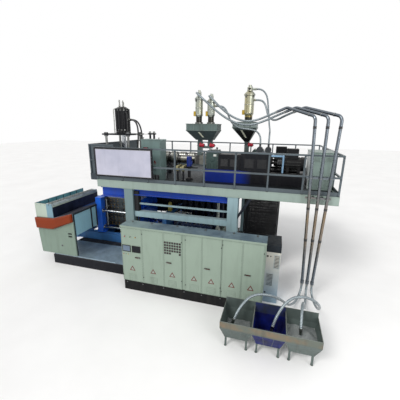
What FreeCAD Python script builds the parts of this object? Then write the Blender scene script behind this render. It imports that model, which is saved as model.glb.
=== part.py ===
import FreeCAD, Part
import Sketcher
import math
import os

# Blow moulding machine with an accumulator head.
# Frame: origin on the floor under the head's axis, +X along the machine to the right,
# +Y to the back, +Z up, millimetres.

SIZES = [
    # machine base and tread plate
    ("base_left", -1650), ("base_right", 4600), ("base_front", -2240), ("base_back", 2200),
    ("base_height", 338), ("base_bevel", 20), ("tread_thick", 6), ("tread_depth", 1150),
    # clamp: frame, bars, platens, moulds
    ("bed_half_length", 1960), ("bed_half_width", 760), ("bed_beam_width", 180), ("bed_height", 300),
    ("rail_width", 60), ("rail_height", 45), ("end_plate_thick", 150), ("end_plate_top", 1650),
    ("bar_radius", 45), ("bar_half_width", 690), ("bar_low", 880), ("bar_high", 1530),
    ("bar_play", 0.5), ("platen_thick", 240), ("platen_gap_half", 640), ("platen_half_width", 800),
    ("platen_top", 2050), ("platen_foot", 8), ("platen_web", 60), ("platen_skin", 90),
    ("mould_half_width", 480), ("mould_low", 900), ("mould_high", 2010), ("mould_part_gap", 2),
    ("mould_back_plate", 60), ("cavity_radius", 230), ("cavity_neck", 60), ("cavity_low", 1010),
    ("cavity_high", 1750), ("ram_bore", 70), ("cylinder_radius", 150), ("cylinder_length", 620),
    ("rod_radius", 69.95), ("rod_travel", 400), ("clamp_axis_height", 1200), ("slide_play", 0.3),
    # hydraulic unit
    ("tank_gap", 190), ("tank_length", 1700), ("tank_front", -700), ("tank_depth", 1100),
    ("tank_height", 760), ("pump_radius", 210), ("pump_length", 620),
    # guard at the left end
    ("guard_left", -2150), ("guard_right", -680), ("guard_low", 370), ("guard_wall", 40),
    ("guard_tray_low", 1650), ("guard_tray_high", 2120), ("tray_wall", 25), ("tray_right", -1690),
    ("beam_right", -1450), ("tray_back", 100), ("side_back", -850), ("hood_reach", 90),
    ("hood_taper", -40), ("hood_low", 1250),
    ("hood_left_top", 1620), ("hood_right_top", 1880), ("hood_right_low", 1600), ("cover_thick", 8),
    ("screen_low", 1070), ("screen_back", -1000), ("screen_thick", 12),
    ("screen_post", 50), ("gate_travel", 1450), ("gate_play", 2), ("gate_rail_width", 30),
    # deck and what carries it
    ("column_side", 300), ("column_left", 870), ("column_right", 4530), ("column_front", -1600),
    ("column_back", 2150), ("deck_left", -89), ("deck_right", 7120), ("deck_front", -1619),
    ("deck_back", 2832), ("wing_left", -1050), ("wing_front", -700), ("deck_low", 2702),
    ("deck_top", 2940), ("fascia_thick", 60), ("joist_width", 80), ("joist_height", 160),
    ("plate_thick", 8), ("well_half", 520), ("girder_height", 210), ("girder_width", 180),
    ("girder_flange", 22), ("girder_web", 16), ("cross_height", 180), ("cross_top", 1960),
    ("brace_foot", 2040), ("brace_reach", 400), ("brace_depth", 90), ("brace_thick", 40),
    ("post_side", 45), ("rail_top", 3990), ("rail_mid", 3444), ("toe_height", 110), ("toe_thick", 6),
    # sign board
    ("sign_left", -90), ("sign_right", 1920), ("sign_low", 3060), ("sign_high", 3970),
    ("sign_thick", 50), ("sign_border", 45),
    # accumulator head
    ("die_radius", 250), ("die_low", 2210), ("head_radius", 340), ("head_shoulder", 2450),
    ("head_above", 215), ("head_plate_half", 560), ("head_plate_thick", 50), ("head_bore", 80),
    ("head_bore_low", 2980), ("manifold_width", 1060), ("manifold_height", 260), ("manifold_left", 500),
    ("manifold_right", 700),
    ("neck_half_width", 380), ("stand_left", 1100), ("stand_pitch", 150), ("stand_height", 1500),
    ("frame_plate_half", 540), ("frame_plate_thick", 50), ("frame_gap", 510),
    ("frame_rod_radius", 42), ("frame_rod_reach", 440), ("jack_radius", 225), ("jack_height", 970),
    ("jack_wall", 45), ("jack_rib", 34), ("jack_rib_count", 12), ("jack_port", 70), ("jack_port_drop", 440),
    ("ram_radius", 79.95), ("ram_low", 3060), ("piston_thick", 90), ("fitting_height", 230),
    ("head_band_pitch", 240), ("head_band_height", 160),
    # extruders
    ("screw_height", 3585), ("screw_a_y", -400), ("screw_b_y", 400), ("barrel_radius", 130),
    ("barrel_bore", 60), ("screw_radius", 59.95), ("barrel_a_right", 3320), ("barrel_b_right", 4680),
    ("gearbox_length", 400), ("gearbox_half_width", 260), ("gearbox_below", 255), ("gearbox_above", 285),
    ("housing_step", 720), ("housing_right", 5330), ("skid_left", 3260), ("skid_right", 6300),
    ("skid_half_width", 330), ("frame_bar", 45), ("gap_frame_above", 265), ("band_radius", 150),
    ("band_length", 220), ("band_pitch", 330),
    ("motor_a_left", 5720), ("motor_b_left", 5400), ("motor_length", 560), ("motor_radius", 200),
    ("motor_box_above", 445), ("coupling_radius", 100), ("coupling_length", 150), ("shaft_radius", 40),
    ("feed_half", 150), ("feed_rise", 150), ("chute_height", 295),
    # hoppers, gates and loaders
    ("twin_left", 2670), ("twin_right", 3660), ("twin_low_left", 2950), ("twin_low_right", 3490),
    ("twin_half_depth", 300), ("twin_low_half", 110), ("twin_taper_height", 290), ("twin_rim_height", 210),
    ("valve_a_height", 100), ("single_left", 4010), ("single_right", 4770), ("single_axis", 4470),
    ("single_half_depth", 380), ("single_taper_height", 460), ("single_rim_height", 190),
    ("valve_b_height", 120), ("throat_half", 60), ("hopper_wall", 6), ("throat_a_left", 3050),
    ("throat_a_right", 3390), ("valve_border", 15), ("neck_length", 90), ("gate_plate", 12),
    ("gate_plate_play", 0.4), ("grip_radius", 22), ("grip_length", 110),
    ("loader_left_x", 3000), ("loader_mid_x", 3390), ("loader_radius", 120), ("loader_left_height", 1000),
    ("loader_mid_height", 890), ("loader_right_height", 1140), ("loader_big", 1.3), ("loader_small", 0.98),
    ("stub_length", 50),
    # conveying pipes and hoses
    ("pipe_radius", 38), ("pipe_y", -1800), ("pipe_low_x", 6460), ("pipe_low_pitch", 130),
    ("pipe_low", 480), ("pipe_top_x", 6290), ("pipe_top_pitch", 290), ("pipe_top", 4900),
    ("pipe_bend", 150), ("crest_x", 5640), ("crest_pitch", 230), ("crest_y", -900), ("crest_z", 5165),
    ("crest_end_x", -240), ("crest_end_y", 80), ("crest_end_z", -100), ("clamp_rail", 30),
    ("pump_case_radius", 95), ("pump_y", -380), ("pump_left", 4860), ("pump_stub_height", 280),
    ("hose_radius", 30), ("vacuum_hose_radius", 26), ("head_hose_radius", 28),
    # deck boxes, chiller, mesh guard
    ("box_left", 1390), ("box_right", 2050), ("box_front", -1300), ("box_depth", 420),
    ("box_low", 3150), ("box_high", 4220), ("deck_cabinet_left", 6400),
    ("deck_cabinet_right", 7040), ("deck_cabinet_front", -900), ("deck_cabinet_depth", 1000),
    ("deck_cabinet_high", 3980), ("chiller_left", 5430), ("chiller_right", 5810),
    ("chiller_front", -2300), ("chiller_depth", 700), ("chiller_body", 1500), ("chiller_high", 1700),
    ("mesh_left", 4600), ("mesh_right", 5700), ("mesh_front", -500), ("mesh_high", 2420),
    ("mesh_tube", 40), ("mesh_wire", 8), ("mesh_pitch", 120),
    # granule bins
    ("bin_left", 4640), ("bin_width", 665), ("bin_front", -4310), ("bin_back", -3560),
    ("bin_front_top", 740), ("bin_lip", 150), ("bin_low", 230), ("bin_wall", 8), ("bin_taper", 90),
    ("bin_leg", 40),
    # electrical cabinet
    ("cabinet_left", 1500), ("cabinet_front", -2900), ("cabinet_depth", 446), ("cabinet_height", 2000),
    ("plinth_height", 312), ("door_wide", 640), ("door_narrow", 520), ("door_small", 460),
    ("post_width", 90), ("side_border", 28), ("door_thick", 22), ("door_gap", 4),
    ("door_skin", 4), ("door_border", 28), ("hinge_radius", 2.4), ("hinge_reach", 4),
    ("hinge_offset", 1), ("hinge_length", 30), ("hinge_play", 0.4), ("hinge_flap", 20),
    ("hinge_flap_thick", 3), ("hinge_web", 1.5), ("unit_gap", 10),
    ("foot_inset", 900), ("foot_pitch", 1400), ("foot_length", 120), ("foot_half", 90),
    ("pull_inset", 90), ("pull_length", 160), ("pull_drop", 260), ("pull_height", 35), ("pull_reach", 30),
    ("leaf_inset", 14), ("leaf_thick", 14), ("leaf_gap", 8), ("leaf_foot", 60), ("panel_left", 2800),
    ("panel_top", 1640), ("panel_pitch_x", 70), ("panel_pitch_z", 76), ("panel_key", 48),
    ("canopy_thick", 50), ("canopy_reach", 22),
    ("shell_wall", 20), ("handle_height", 1080), ("handle_length", 150),
    ("handle_width", 26), ("handle_thick", 14), ("handle_inset", 95), ("duct_left", 2600),
    ("duct_width", 400), ("duct_height", 200),
]


class Size:
    """A driving dimension, or a sum worked out from some: its value and its expression."""

    def __init__(self, value, text):
        self.value = float(value)
        self.text = text

    def __add__(self, other):
        other = as_size(other)
        return Size(self.value + other.value, f"({self.text} + {other.text})")

    def __sub__(self, other):
        other = as_size(other)
        return Size(self.value - other.value, f"({self.text} - {other.text})")

    def __mul__(self, other):
        other = as_size(other)
        return Size(self.value * other.value, f"({self.text} * {other.text})")

    def __truediv__(self, other):
        other = as_size(other)
        return Size(self.value / other.value, f"({self.text} / {other.text})")

    def __neg__(self):
        return Size(-self.value, f"(0 - {self.text})")

    def __radd__(self, other):
        return as_size(other) + self

    def __rsub__(self, other):
        return as_size(other) - self

    def __rmul__(self, other):
        return as_size(other) * self

    def __float__(self):
        return self.value


def as_size(amount):
    """The same amount as a Size, so that plain numbers can stand in a sum."""
    if isinstance(amount, Size):
        return amount
    return Size(amount, f"({amount})" if amount < 0 else f"{amount}")


class Words:
    """Holds one Size for each word of the sheet."""


doc = FreeCAD.newDocument("blow_moulding_machine")
sheet = doc.addObject("Spreadsheet::Sheet", "Sizes")
S = Words()
for row, (word, number) in enumerate(SIZES, start=1):
    sheet.set(f"A{row}", word)
    sheet.set(f"B{row}", str(number))
    sheet.setAlias(f"B{row}", word)
    setattr(S, word, Size(number, f"Sizes.{word}"))
doc.recompute()

# places that follow from others: each stands on, hangs from or clears the one before it
S.tank_left = S.bed_half_length + S.tank_gap
S.tank_right = S.tank_left + S.tank_length
S.gearbox_low = S.screw_height - S.gearbox_below
S.gearbox_high = S.screw_height + S.gearbox_above
S.frame_top = S.screw_height + S.gap_frame_above
S.motor_box_top = S.screw_height + S.motor_box_above
S.pump_stub_top = S.gearbox_high + S.pump_stub_height
S.head_top = S.screw_height + S.head_above
S.frame_plate_low = S.head_top + S.frame_gap
S.jack_top = S.frame_plate_low + S.jack_height
S.fitting_top = S.jack_top + S.fitting_height
S.feed_top = S.screw_height + S.feed_rise + S.chute_height
S.twin_throat = S.feed_top + S.valve_a_height + S.neck_length
S.twin_rim_low = S.twin_throat + S.twin_taper_height
S.twin_rim_high = S.twin_rim_low + S.twin_rim_height
S.single_throat = S.feed_top + S.valve_b_height
S.single_rim_low = S.single_throat + S.single_taper_height
S.single_rim_high = S.single_rim_low + S.single_rim_height
S.loader_left_top = S.twin_rim_high + S.loader_left_height
S.loader_mid_top = S.twin_rim_high + S.loader_mid_height
S.loader_right_top = S.single_rim_high + S.loader_right_height

NODES = []
TURNS = {
    "X": FreeCAD.Rotation(FreeCAD.Vector(0, 1, 0), 90),
    "Y": FreeCAD.Rotation(FreeCAD.Vector(1, 0, 0), -90),
    "Z": FreeCAD.Rotation(),
}


# ---------------------------------------------------------------- helpers
def bind(item, prop, amount):
    """Ties a property to the sheet through the amount's expression."""
    item.setExpression(prop, as_size(amount).text)


def place(item, x, y, z):
    """Ties an object's position to the sheet."""
    bind(item, "Placement.Base.x", x)
    bind(item, "Placement.Base.y", y)
    bind(item, "Placement.Base.z", z)


def block(label, x, y, z, length, width, height):
    """A box from its lowest corner."""
    item = doc.addObject("Part::Box", label)
    item.Label = label
    bind(item, "Length", length)
    bind(item, "Width", width)
    bind(item, "Height", height)
    place(item, x, y, z)
    return item


def span(label, left, right, front, back, low, high):
    """A box between six faces."""
    return block(label, left, front, low, right - left, back - front, high - low)


def rod(label, axis, x, y, z, radius, length):
    """A round bar that starts at a point and runs along an axis."""
    item = doc.addObject("Part::Cylinder", label)
    item.Label = label
    item.Placement = FreeCAD.Placement(FreeCAD.Vector(), TURNS[axis])
    bind(item, "Radius", radius)
    bind(item, "Height", length)
    place(item, x, y, z)
    return item


def frustum(label, low, high, bottom, top):
    """A square taper: rectangles (left, right, front, back) at the heights bottom and top."""
    item = doc.addObject("Part::Wedge", label)
    item.Label = label
    item.Placement = FreeCAD.Placement(FreeCAD.Vector(), FreeCAD.Rotation(FreeCAD.Vector(1, 0, 0), 90))
    bind(item, "Ymin", bottom)
    bind(item, "Ymax", top)
    bind(item, "Xmin", low[0])
    bind(item, "Xmax", low[1])
    bind(item, "Zmin", -low[3])
    bind(item, "Zmax", -low[2])
    bind(item, "X2min", high[0])
    bind(item, "X2max", high[1])
    bind(item, "Z2min", -high[3])
    bind(item, "Z2max", -high[2])
    return item


def join(label, items):
    """Welded pieces as one solid."""
    item = doc.addObject("Part::MultiFuse", label)
    item.Label = label
    item.Shapes = items
    item.Refine = True
    return item


def carve(label, base, tools):
    """The base with the tools cut out of it."""
    tool = tools[0] if len(tools) == 1 else join(f"{label}_tools", tools)
    item = doc.addObject("Part::Cut", label)
    item.Label = label
    item.Base = base
    item.Tool = tool
    item.Refine = True
    return item


def group(label, items):
    """Separate solids that share one node."""
    item = doc.addObject("Part::Compound", label)
    item.Label = label
    item.Links = items
    return item


def keep(item, name):
    """Names an object as a sub-part of the machine."""
    item.Label = name
    NODES.append(item)
    return item


def new_body(label, x=0, y=0, z=0, axis="Z"):
    """An empty body at a point, with its own Z along the axis given."""
    body = doc.addObject("PartDesign::Body", label)
    body.Label = label
    body.Placement = FreeCAD.Placement(FreeCAD.Vector(), TURNS[axis])
    place(body, x, y, z)
    return body


def sketch_on(body, name, role, lift=0):
    """A sketch on one of the body's own origin planes."""
    sketch = body.newObject("Sketcher::SketchObject", name)
    plane = [item for item in body.Origin.OriginFeatures if item.Role == role][0]
    sketch.AttachmentSupport = [(plane, "")]
    sketch.MapMode = "FlatFace"
    bind(sketch, "AttachmentOffset.Base.z", lift)
    return sketch


def outline(sketch, corners):
    """A closed outline of straight edges whose corners are tied to the sheet."""
    points = [FreeCAD.Vector(float(x), float(y), 0) for x, y in corners]
    first = sketch.GeometryCount
    count = len(points)
    edges = [Part.LineSegment(points[i], points[(i + 1) % count]) for i in range(count)]
    sketch.addGeometry(edges, False)
    for i in range(count):
        sketch.addConstraint(Sketcher.Constraint("Coincident", first + i, 2, first + (i + 1) % count, 1))
    for i, (x, y) in enumerate(corners):
        across = sketch.addConstraint(Sketcher.Constraint("DistanceX", -1, 1, first + i, 1, float(x)))
        bind(sketch, f"Constraints[{across}]", x)
        upward = sketch.addConstraint(Sketcher.Constraint("DistanceY", -1, 1, first + i, 1, float(y)))
        bind(sketch, f"Constraints[{upward}]", y)


def pad(body, sketch, length, both_ways=False):
    """Thickens a sketch."""
    feature = body.newObject("PartDesign::Pad", f"{body.Name}_pad")
    feature.Profile = sketch
    bind(feature, "Length", length)
    feature.Midplane = both_ways
    sketch.Visibility = False
    return feature


def pocket(body, sketch, depth, backwards=False):
    """Cuts a sketch into the body."""
    feature = body.newObject("PartDesign::Pocket", f"{body.Name}_pocket")
    feature.Profile = sketch
    bind(feature, "Length", depth)
    feature.Reversed = backwards
    return feature


def turned(label, axis, x, y, z, corners):
    """A turned body: corners are (radius, distance along the axis)."""
    body = new_body(label, x, y, z, axis)
    sketch = sketch_on(body, f"{label}_profile", "XZ_Plane")
    outline(sketch, corners)
    feature = body.newObject("PartDesign::Revolution", f"{label}_turned")
    feature.Profile = sketch
    feature.ReferenceAxis = (sketch, ["V_Axis"])
    feature.Angle = 360
    return body


def path_wire(points, bend=None):
    """Straight runs joined by tangent arcs; prints the smallest radius of the route."""
    spots = [FreeCAD.Vector(*[float(c) for c in point]) for point in points]
    edges = []
    start = spots[0]
    radii = []
    for before, corner, after in zip(spots, spots[1:], spots[2:]):
        to_before = before - corner
        to_after = after - corner
        turn = math.pi - to_before.getAngle(to_after)
        reach = 0.45 * min(to_before.Length, to_after.Length)
        radius = reach / math.tan(turn / 2)
        if bend is not None and float(bend) < radius:
            radius = float(bend)
            reach = radius * math.tan(turn / 2)
        radii.append(radius)
        to_before.normalize()
        to_after.normalize()
        arc_start = corner + to_before * reach
        arc_end = corner + to_after * reach
        inward = to_before + to_after
        inward.normalize()
        middle = corner + inward * (radius / math.cos(turn / 2) - radius)
        edges.append(Part.LineSegment(start, arc_start).toShape())
        edges.append(Part.Arc(arc_start, middle, arc_end).toShape())
        start = arc_end
    edges.append(Part.LineSegment(start, spots[-1]).toShape())
    return Part.Wire(edges), radii


def tube(label, points, radius, bend=None):
    """A round tube along a route."""
    route, radii = path_wire(points, bend)
    first = route.Edges[0]
    heading = first.tangentAt(first.FirstParameter)
    section = Part.Circle(first.valueAt(first.FirstParameter), heading, float(radius))
    solid = route.makePipeShell([Part.Wire([section.toShape()])], True, False)
    expected = math.pi * float(radius) ** 2 * route.Length
    print(f"{label}: length {route.Length:.0f} mm, least radius {min(radii):.0f} mm, "
          f"volume ratio {solid.Volume / expected:.4f}")
    item = doc.addObject("Part::Feature", label)
    item.Label = label
    item.Shape = solid
    item.Placement = FreeCAD.Placement()
    return item


# ---------------------------------------------------------------- machine base
def make_base():
    body = new_body("machine_base", S.base_left, S.base_front, 0)
    sketch = sketch_on(body, "base_outline", "XY_Plane")
    length = S.base_right - S.base_left
    width = S.base_back - S.base_front
    outline(sketch, [(0, 0), (length, 0), (length, width), (0, width)])
    slab = pad(body, sketch, S.base_height)
    doc.recompute()
    bevel = body.newObject("PartDesign::Chamfer", "base_bevel_edges")
    bevel.Base = (slab, ["Face6"])
    bind(bevel, "Size", S.base_bevel)
    keep(body, "machine_base")
    tread_top = S.base_height + S.tread_thick
    sheet = span("tread_sheet", S.base_left + S.base_bevel, S.base_right - S.base_bevel,
                 S.base_front + S.base_bevel, S.base_front + S.base_bevel + S.tread_depth,
                 S.base_height, tread_top)
    rail = span("gate_rail", S.base_left + S.base_bevel, S.guard_right + S.gate_travel,
                S.base_front + S.base_bevel, S.base_front + S.base_bevel + S.gate_rail_width,
                tread_top, S.guard_low - S.slide_play)
    keep(join("tread_whole", [sheet, rail]), "tread_plate")


# ---------------------------------------------------------------- clamp
def bed_low():
    return S.base_height


def bed_top():
    return S.base_height + S.bed_height


def rail_top():
    return bed_top() + S.rail_height


def make_clamp_frame():
    beams = []
    for side, front in (("front", -S.bed_half_width), ("back", S.bed_half_width - S.bed_beam_width)):
        beams.append(span(f"bed_beam_{side}", -S.bed_half_length, S.bed_half_length,
                          front, front + S.bed_beam_width, bed_low(), bed_top()))
        middle = front + S.bed_beam_width / 2
        beams.append(span(f"bed_rail_{side}", -S.bed_half_length + S.end_plate_thick,
                          S.bed_half_length - S.end_plate_thick, middle - S.rail_width / 2,
                          middle + S.rail_width / 2, bed_top(), rail_top()))
    for index in range(5):
        centre = (S.bed_half_length - S.bed_beam_width / 2) * (index / 2 - 1)
        beams.append(span(f"bed_tie_{index}", centre - S.bed_beam_width / 2, centre + S.bed_beam_width / 2,
                          -S.bed_half_width, S.bed_half_width, bed_low(), bed_top() - 40))
    for side, left in (("left", -S.bed_half_length), ("right", S.bed_half_length - S.end_plate_thick)):
        plate = span(f"end_plate_{side}", left, left + S.end_plate_thick,
                     -S.platen_half_width, S.platen_half_width, bed_low(), S.end_plate_top)
        holes = bar_holes(f"end_{side}", left - 1, S.end_plate_thick + 2, 0.01)
        holes.append(rod(f"end_{side}_bore", "X", left - 1, 0, S.clamp_axis_height,
                         S.cylinder_radius + 0.01, S.end_plate_thick + 2))
        beams.append(carve(f"end_plate_{side}_bored", plate, holes))
    keep(join("clamp_weldment", beams), "clamp_frame")


def bar_places():
    return [(-S.bar_half_width, S.bar_low), (S.bar_half_width, S.bar_low),
            (-S.bar_half_width, S.bar_high), (S.bar_half_width, S.bar_high)]


def bar_holes(label, left, length, play):
    return [rod(f"{label}_hole_{index}", "X", left, y, z, S.bar_radius + play, length)
            for index, (y, z) in enumerate(bar_places())]


def make_tie_bars():
    bars = []
    for index, (y, z) in enumerate(bar_places()):
        shank = rod(f"bar_{index}", "X", -S.bed_half_length - 60, y, z, S.bar_radius,
                    S.bed_half_length * 2 + 120)
        nuts = [rod(f"bar_nut_{index}_left", "X", -S.bed_half_length - 70, y, z, S.bar_radius * 1.6, 70),
                rod(f"bar_nut_{index}_right", "X", S.bed_half_length, y, z, S.bar_radius * 1.6, 70)]
        bars.append(join(f"tie_bar_{index}", [shank] + nuts))
    keep(group("tie_bar_set", bars), "tie_bars")


def make_platen(side, sign):
    """A cast platen: pocketed back, four bar bores and a shoe on each guide rail."""
    inner = S.platen_gap_half
    outer = S.platen_gap_half + S.platen_thick
    left = inner if sign > 0 else -outer
    low = rail_top() + S.platen_foot
    slab = span(f"platen_{side}_slab", left, left + S.platen_thick, -S.platen_half_width,
                S.platen_half_width, low, S.platen_top)
    cells = []
    cell_depth = S.platen_thick - S.platen_skin
    cell_left = left + S.platen_skin if sign > 0 else left - 1
    rows = 3
    columns = 4
    cell_width = (S.platen_half_width * 2 - S.platen_web * (columns + 1)) / columns
    cell_height = (S.platen_top - low - S.platen_web * (rows + 1)) / rows
    for row in range(rows):
        for column in range(columns):
            if column in (0, 3) and row in (0, 1):
                continue
            if column in (1, 2) and row == 1:
                continue
            front = -S.platen_half_width + S.platen_web + (cell_width + S.platen_web) * column
            bottom = low + S.platen_web + (cell_height + S.platen_web) * row
            cells.append(block(f"platen_{side}_cell_{row}{column}", cell_left, front, bottom,
                               cell_depth + 1, cell_width, cell_height))
    holes = bar_holes(f"platen_{side}", left - 1, S.platen_thick + 2, S.bar_play)
    body = carve(f"platen_{side}_cast", slab, cells + holes)
    shoes = []
    for index, centre in enumerate((-S.bed_half_width + S.bed_beam_width / 2,
                                    S.bed_half_width - S.bed_beam_width / 2)):
        shoes.append(span(f"platen_{side}_shoe_{index}", left - 60, left + S.platen_thick + 60,
                          centre - S.rail_width, centre + S.rail_width, rail_top() + S.slide_play, low + 60))
    keep(join(f"platen_{side}_whole", [body] + shoes), f"platen_{side}")


def make_mould(side, sign):
    """One mould half: back plate, block with a drum-shaped cavity, and a tail lug."""
    gap = S.mould_part_gap / 2
    if sign > 0:
        left, right = gap, S.platen_gap_half
    else:
        left, right = -S.platen_gap_half, -gap
    core_left = left if sign > 0 else left + S.mould_back_plate
    core_right = right - S.mould_back_plate if sign > 0 else right
    core = span(f"mould_{side}_core", core_left, core_right, -S.mould_half_width, S.mould_half_width,
                S.mould_low, S.mould_high)
    plate_left = right - S.mould_back_plate if sign > 0 else left
    plate = span(f"mould_{side}_plate", plate_left, plate_left + S.mould_back_plate,
                 -S.mould_half_width - 90, S.mould_half_width + 90, S.mould_low - 40, S.mould_high)
    slots = [span(f"mould_{side}_slot_{index}", core_left - 1, core_right + 1,
                  -S.mould_half_width - 1, -S.mould_half_width + 40,
                  S.mould_low + 150 + 240 * index, S.mould_low + 210 + 240 * index) for index in range(4)]
    cavity = turned(f"mould_{side}_cavity", "Z", 0, 0, 0, [
        (0, S.cavity_low), (S.cavity_radius - 50, S.cavity_low), (S.cavity_radius, S.cavity_low + 50),
        (S.cavity_radius, S.cavity_high - 120), (S.cavity_neck, S.cavity_high),
        (S.cavity_neck, S.mould_high + 1), (0, S.mould_high + 1)])
    keep(carve(f"mould_{side}_cut", join(f"mould_{side}_body", [core, plate]), slots + [cavity]),
         f"mould_half_{side}")


def make_clamp_drive():
    """Cylinders fixed in the end plates, each with a rod that pushes its platen."""
    outer = S.platen_gap_half + S.platen_thick
    barrels = []
    mouth = outer + S.rod_travel + 60
    for side, sign in (("left", -1), ("right", 1)):
        left = mouth if sign > 0 else -mouth - S.cylinder_length
        barrel = rod(f"barrel_{side}", "X", left, 0, S.clamp_axis_height, S.cylinder_radius,
                     S.cylinder_length)
        flange_left = S.bed_half_length if sign > 0 else -S.bed_half_length - 40
        flange = rod(f"barrel_flange_{side}", "X", flange_left, 0, S.clamp_axis_height,
                     S.cylinder_radius * 1.4, 40)
        bore_left = left - 1 if sign > 0 else left + 60
        bore = rod(f"barrel_bore_{side}", "X", bore_left, 0, S.clamp_axis_height, S.ram_bore,
                   S.cylinder_length - 59)
        barrels.append(carve(f"barrel_{side}_bored", join(f"barrel_{side}_whole", [barrel, flange]), [bore]))
        rod_length = mouth - outer + S.cylinder_length - 60 - S.rod_travel - 40
        rod_left = outer if sign > 0 else -outer - rod_length
        keep(rod(f"rod_{side}", "X", rod_left, 0, S.clamp_axis_height, S.rod_radius, rod_length),
             f"clamp_rod_{side}")
    keep(group("clamp_cylinder_pair", barrels), "clamp_cylinders")


def make_hydraulic_unit():
    tank = span("tank", S.tank_left, S.tank_right, S.tank_front, S.tank_front + S.tank_depth,
                S.base_height, S.base_height + S.tank_height)
    top = S.base_height + S.tank_height
    parts = [tank]
    for index in range(2):
        x = S.tank_left + 150 + 800 * index
        y = S.tank_front + S.tank_depth / 2
        parts.append(rod(f"pump_motor_{index}", "X", x, y, top + S.pump_radius, S.pump_radius, S.pump_length))
        parts.append(span(f"pump_foot_{index}", x + 60, x + S.pump_length - 60, y - 120, y + 120,
                          top, top + S.pump_radius))
    parts.append(span("valve_block", S.tank_left + 300, S.tank_right - 300, S.tank_front + 60,
                      S.tank_front + 260, top, top + 260))
    keep(join("hydraulic_weldment", parts), "hydraulic_unit")


# ---------------------------------------------------------------- guard
def make_guard():
    """The gate slides to the right along the front; the screens and the tray above it are fixed."""
    wall_back = S.base_front + S.guard_wall
    panel = new_body("gate_panel", 0, wall_back, 0)
    sketch = sketch_on(panel, "gate_panel_outline", "XZ_Plane")
    outline(sketch, [(S.guard_left + 50, S.guard_low), (S.guard_right, S.guard_low),
                     (S.guard_right, S.hood_right_low), (S.beam_right, S.hood_low + 20),
                     (S.guard_left, S.hood_low + 20)])
    pad(panel, sketch, S.guard_wall)
    upper = span("gate_upper", S.guard_left, S.beam_right, S.base_front + S.gate_play, wall_back,
                 S.hood_low + 20, S.guard_tray_low - S.gate_play)
    slots = [span(f"gate_slot_{index}", S.guard_right - 245, S.guard_right - 110, S.base_front - 1,
                  S.base_front + 22, 1045 + 95 * index, 1085 + 95 * index) for index in range(2)]
    keep(carve("gate_slotted", join("gate_whole", [panel, upper]), slots), "safety_gate")

    hood = new_body("hood", 0, S.base_front, 0)
    for name, lift, taper in (("root", 0, 0), ("lip", S.hood_reach / 2, S.hood_taper)):
        face = sketch_on(hood, f"hood_{name}_outline", "XZ_Plane", lift)
        outline(face, [(S.guard_left, S.hood_low), (S.beam_right - 50, S.hood_low + 20),
                       (S.guard_right, S.hood_right_low), (S.guard_right, S.hood_right_top),
                       (S.beam_right, S.hood_left_top + 30), (S.guard_left - 30, S.hood_left_top)])
        layer = pad(hood, face, S.hood_reach / 2)
        bind(layer, "TaperAngle", taper)
    keep(hood, "safety_gate_hood")

    front = S.base_front + S.gate_play
    tray = new_body("tray", 0, front, 0, "Y")
    section = sketch_on(tray, "tray_section", "XY_Plane")
    floor_top = S.guard_tray_low + S.tray_wall
    outline(section, [(S.guard_left, -S.guard_tray_low), (S.tray_right, -S.guard_tray_low),
                      (S.tray_right, -S.guard_tray_high), (S.tray_right - S.tray_wall, -S.guard_tray_high),
                      (S.tray_right - S.tray_wall, -floor_top), (S.guard_left + S.tray_wall, -floor_top),
                      (S.guard_left + S.tray_wall, -S.guard_tray_high), (S.guard_left, -S.guard_tray_high)])
    pad(tray, section, S.tray_back - front)
    end_wall = span("tray_end", S.guard_left, S.tray_right, front, front + S.tray_wall,
                    S.guard_tray_low, S.guard_tray_high)
    beam = span("beam", S.tray_right, S.beam_right, front, S.tray_back, S.guard_tray_low,
                S.guard_tray_high - 60)
    lights = [span(f"beam_rail_{index}", S.tray_right + 20 + 120 * index, S.tray_right + 100 + 120 * index,
                   front, S.tray_back, S.guard_tray_high - 60, S.guard_tray_high)
              for index in range(2)]
    cover = new_body("cover", 0, S.screen_back, 0)
    slope = sketch_on(cover, "cover_section", "XZ_Plane")
    outline(slope, [(S.beam_right, S.guard_tray_low), (S.guard_right, S.hood_right_top - S.cover_thick),
                    (S.guard_right, S.hood_right_top), (S.beam_right, S.guard_tray_low + S.cover_thick)])
    pad(cover, slope, S.screen_back - front)
    wall_left = S.guard_left + 50
    side = span("guard_side", wall_left, wall_left + S.guard_wall, wall_back + 10, S.side_back,
                S.guard_low + 400, S.guard_tray_low + 1)
    keep(join("guard_top", [tray, end_wall, beam, cover, side] + lights), "guard_tray")

    # the fixed screen closes the side between the gate and the clamp
    post = S.screen_post
    right = S.guard_right - 10
    left = right - post
    top = S.hood_right_top - S.cover_thick - 18
    parts = [span("screen_post_front", left, right, wall_back + 10, wall_back + 10 + post,
                  S.base_height + S.tread_thick, top),
             span("screen_post_back", left, right, S.screen_back - post, S.screen_back,
                  S.screen_low - 30, top),
             span("screen_post_mid", left, right, S.screen_back - 330, S.screen_back - 330 + post,
                  S.screen_low - 30, top),
             span("screen_sheet", left + 20, left + 20 + S.screen_thick, wall_back + 10, S.screen_back,
                  S.screen_low, top),
             span("screen_rail", left, right + 20, wall_back + 10, S.screen_back, top - 40, top)]
    keep(join("screen_whole", parts), "guard_screen")


# ---------------------------------------------------------------- deck
def column_places():
    return [("front_left", S.column_left, S.column_front),
            ("front_right", S.column_right - S.column_side, S.column_front),
            ("back_left", S.column_left, S.column_back - S.column_side),
            ("back_right", S.column_right - S.column_side, S.column_back - S.column_side)]


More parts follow.
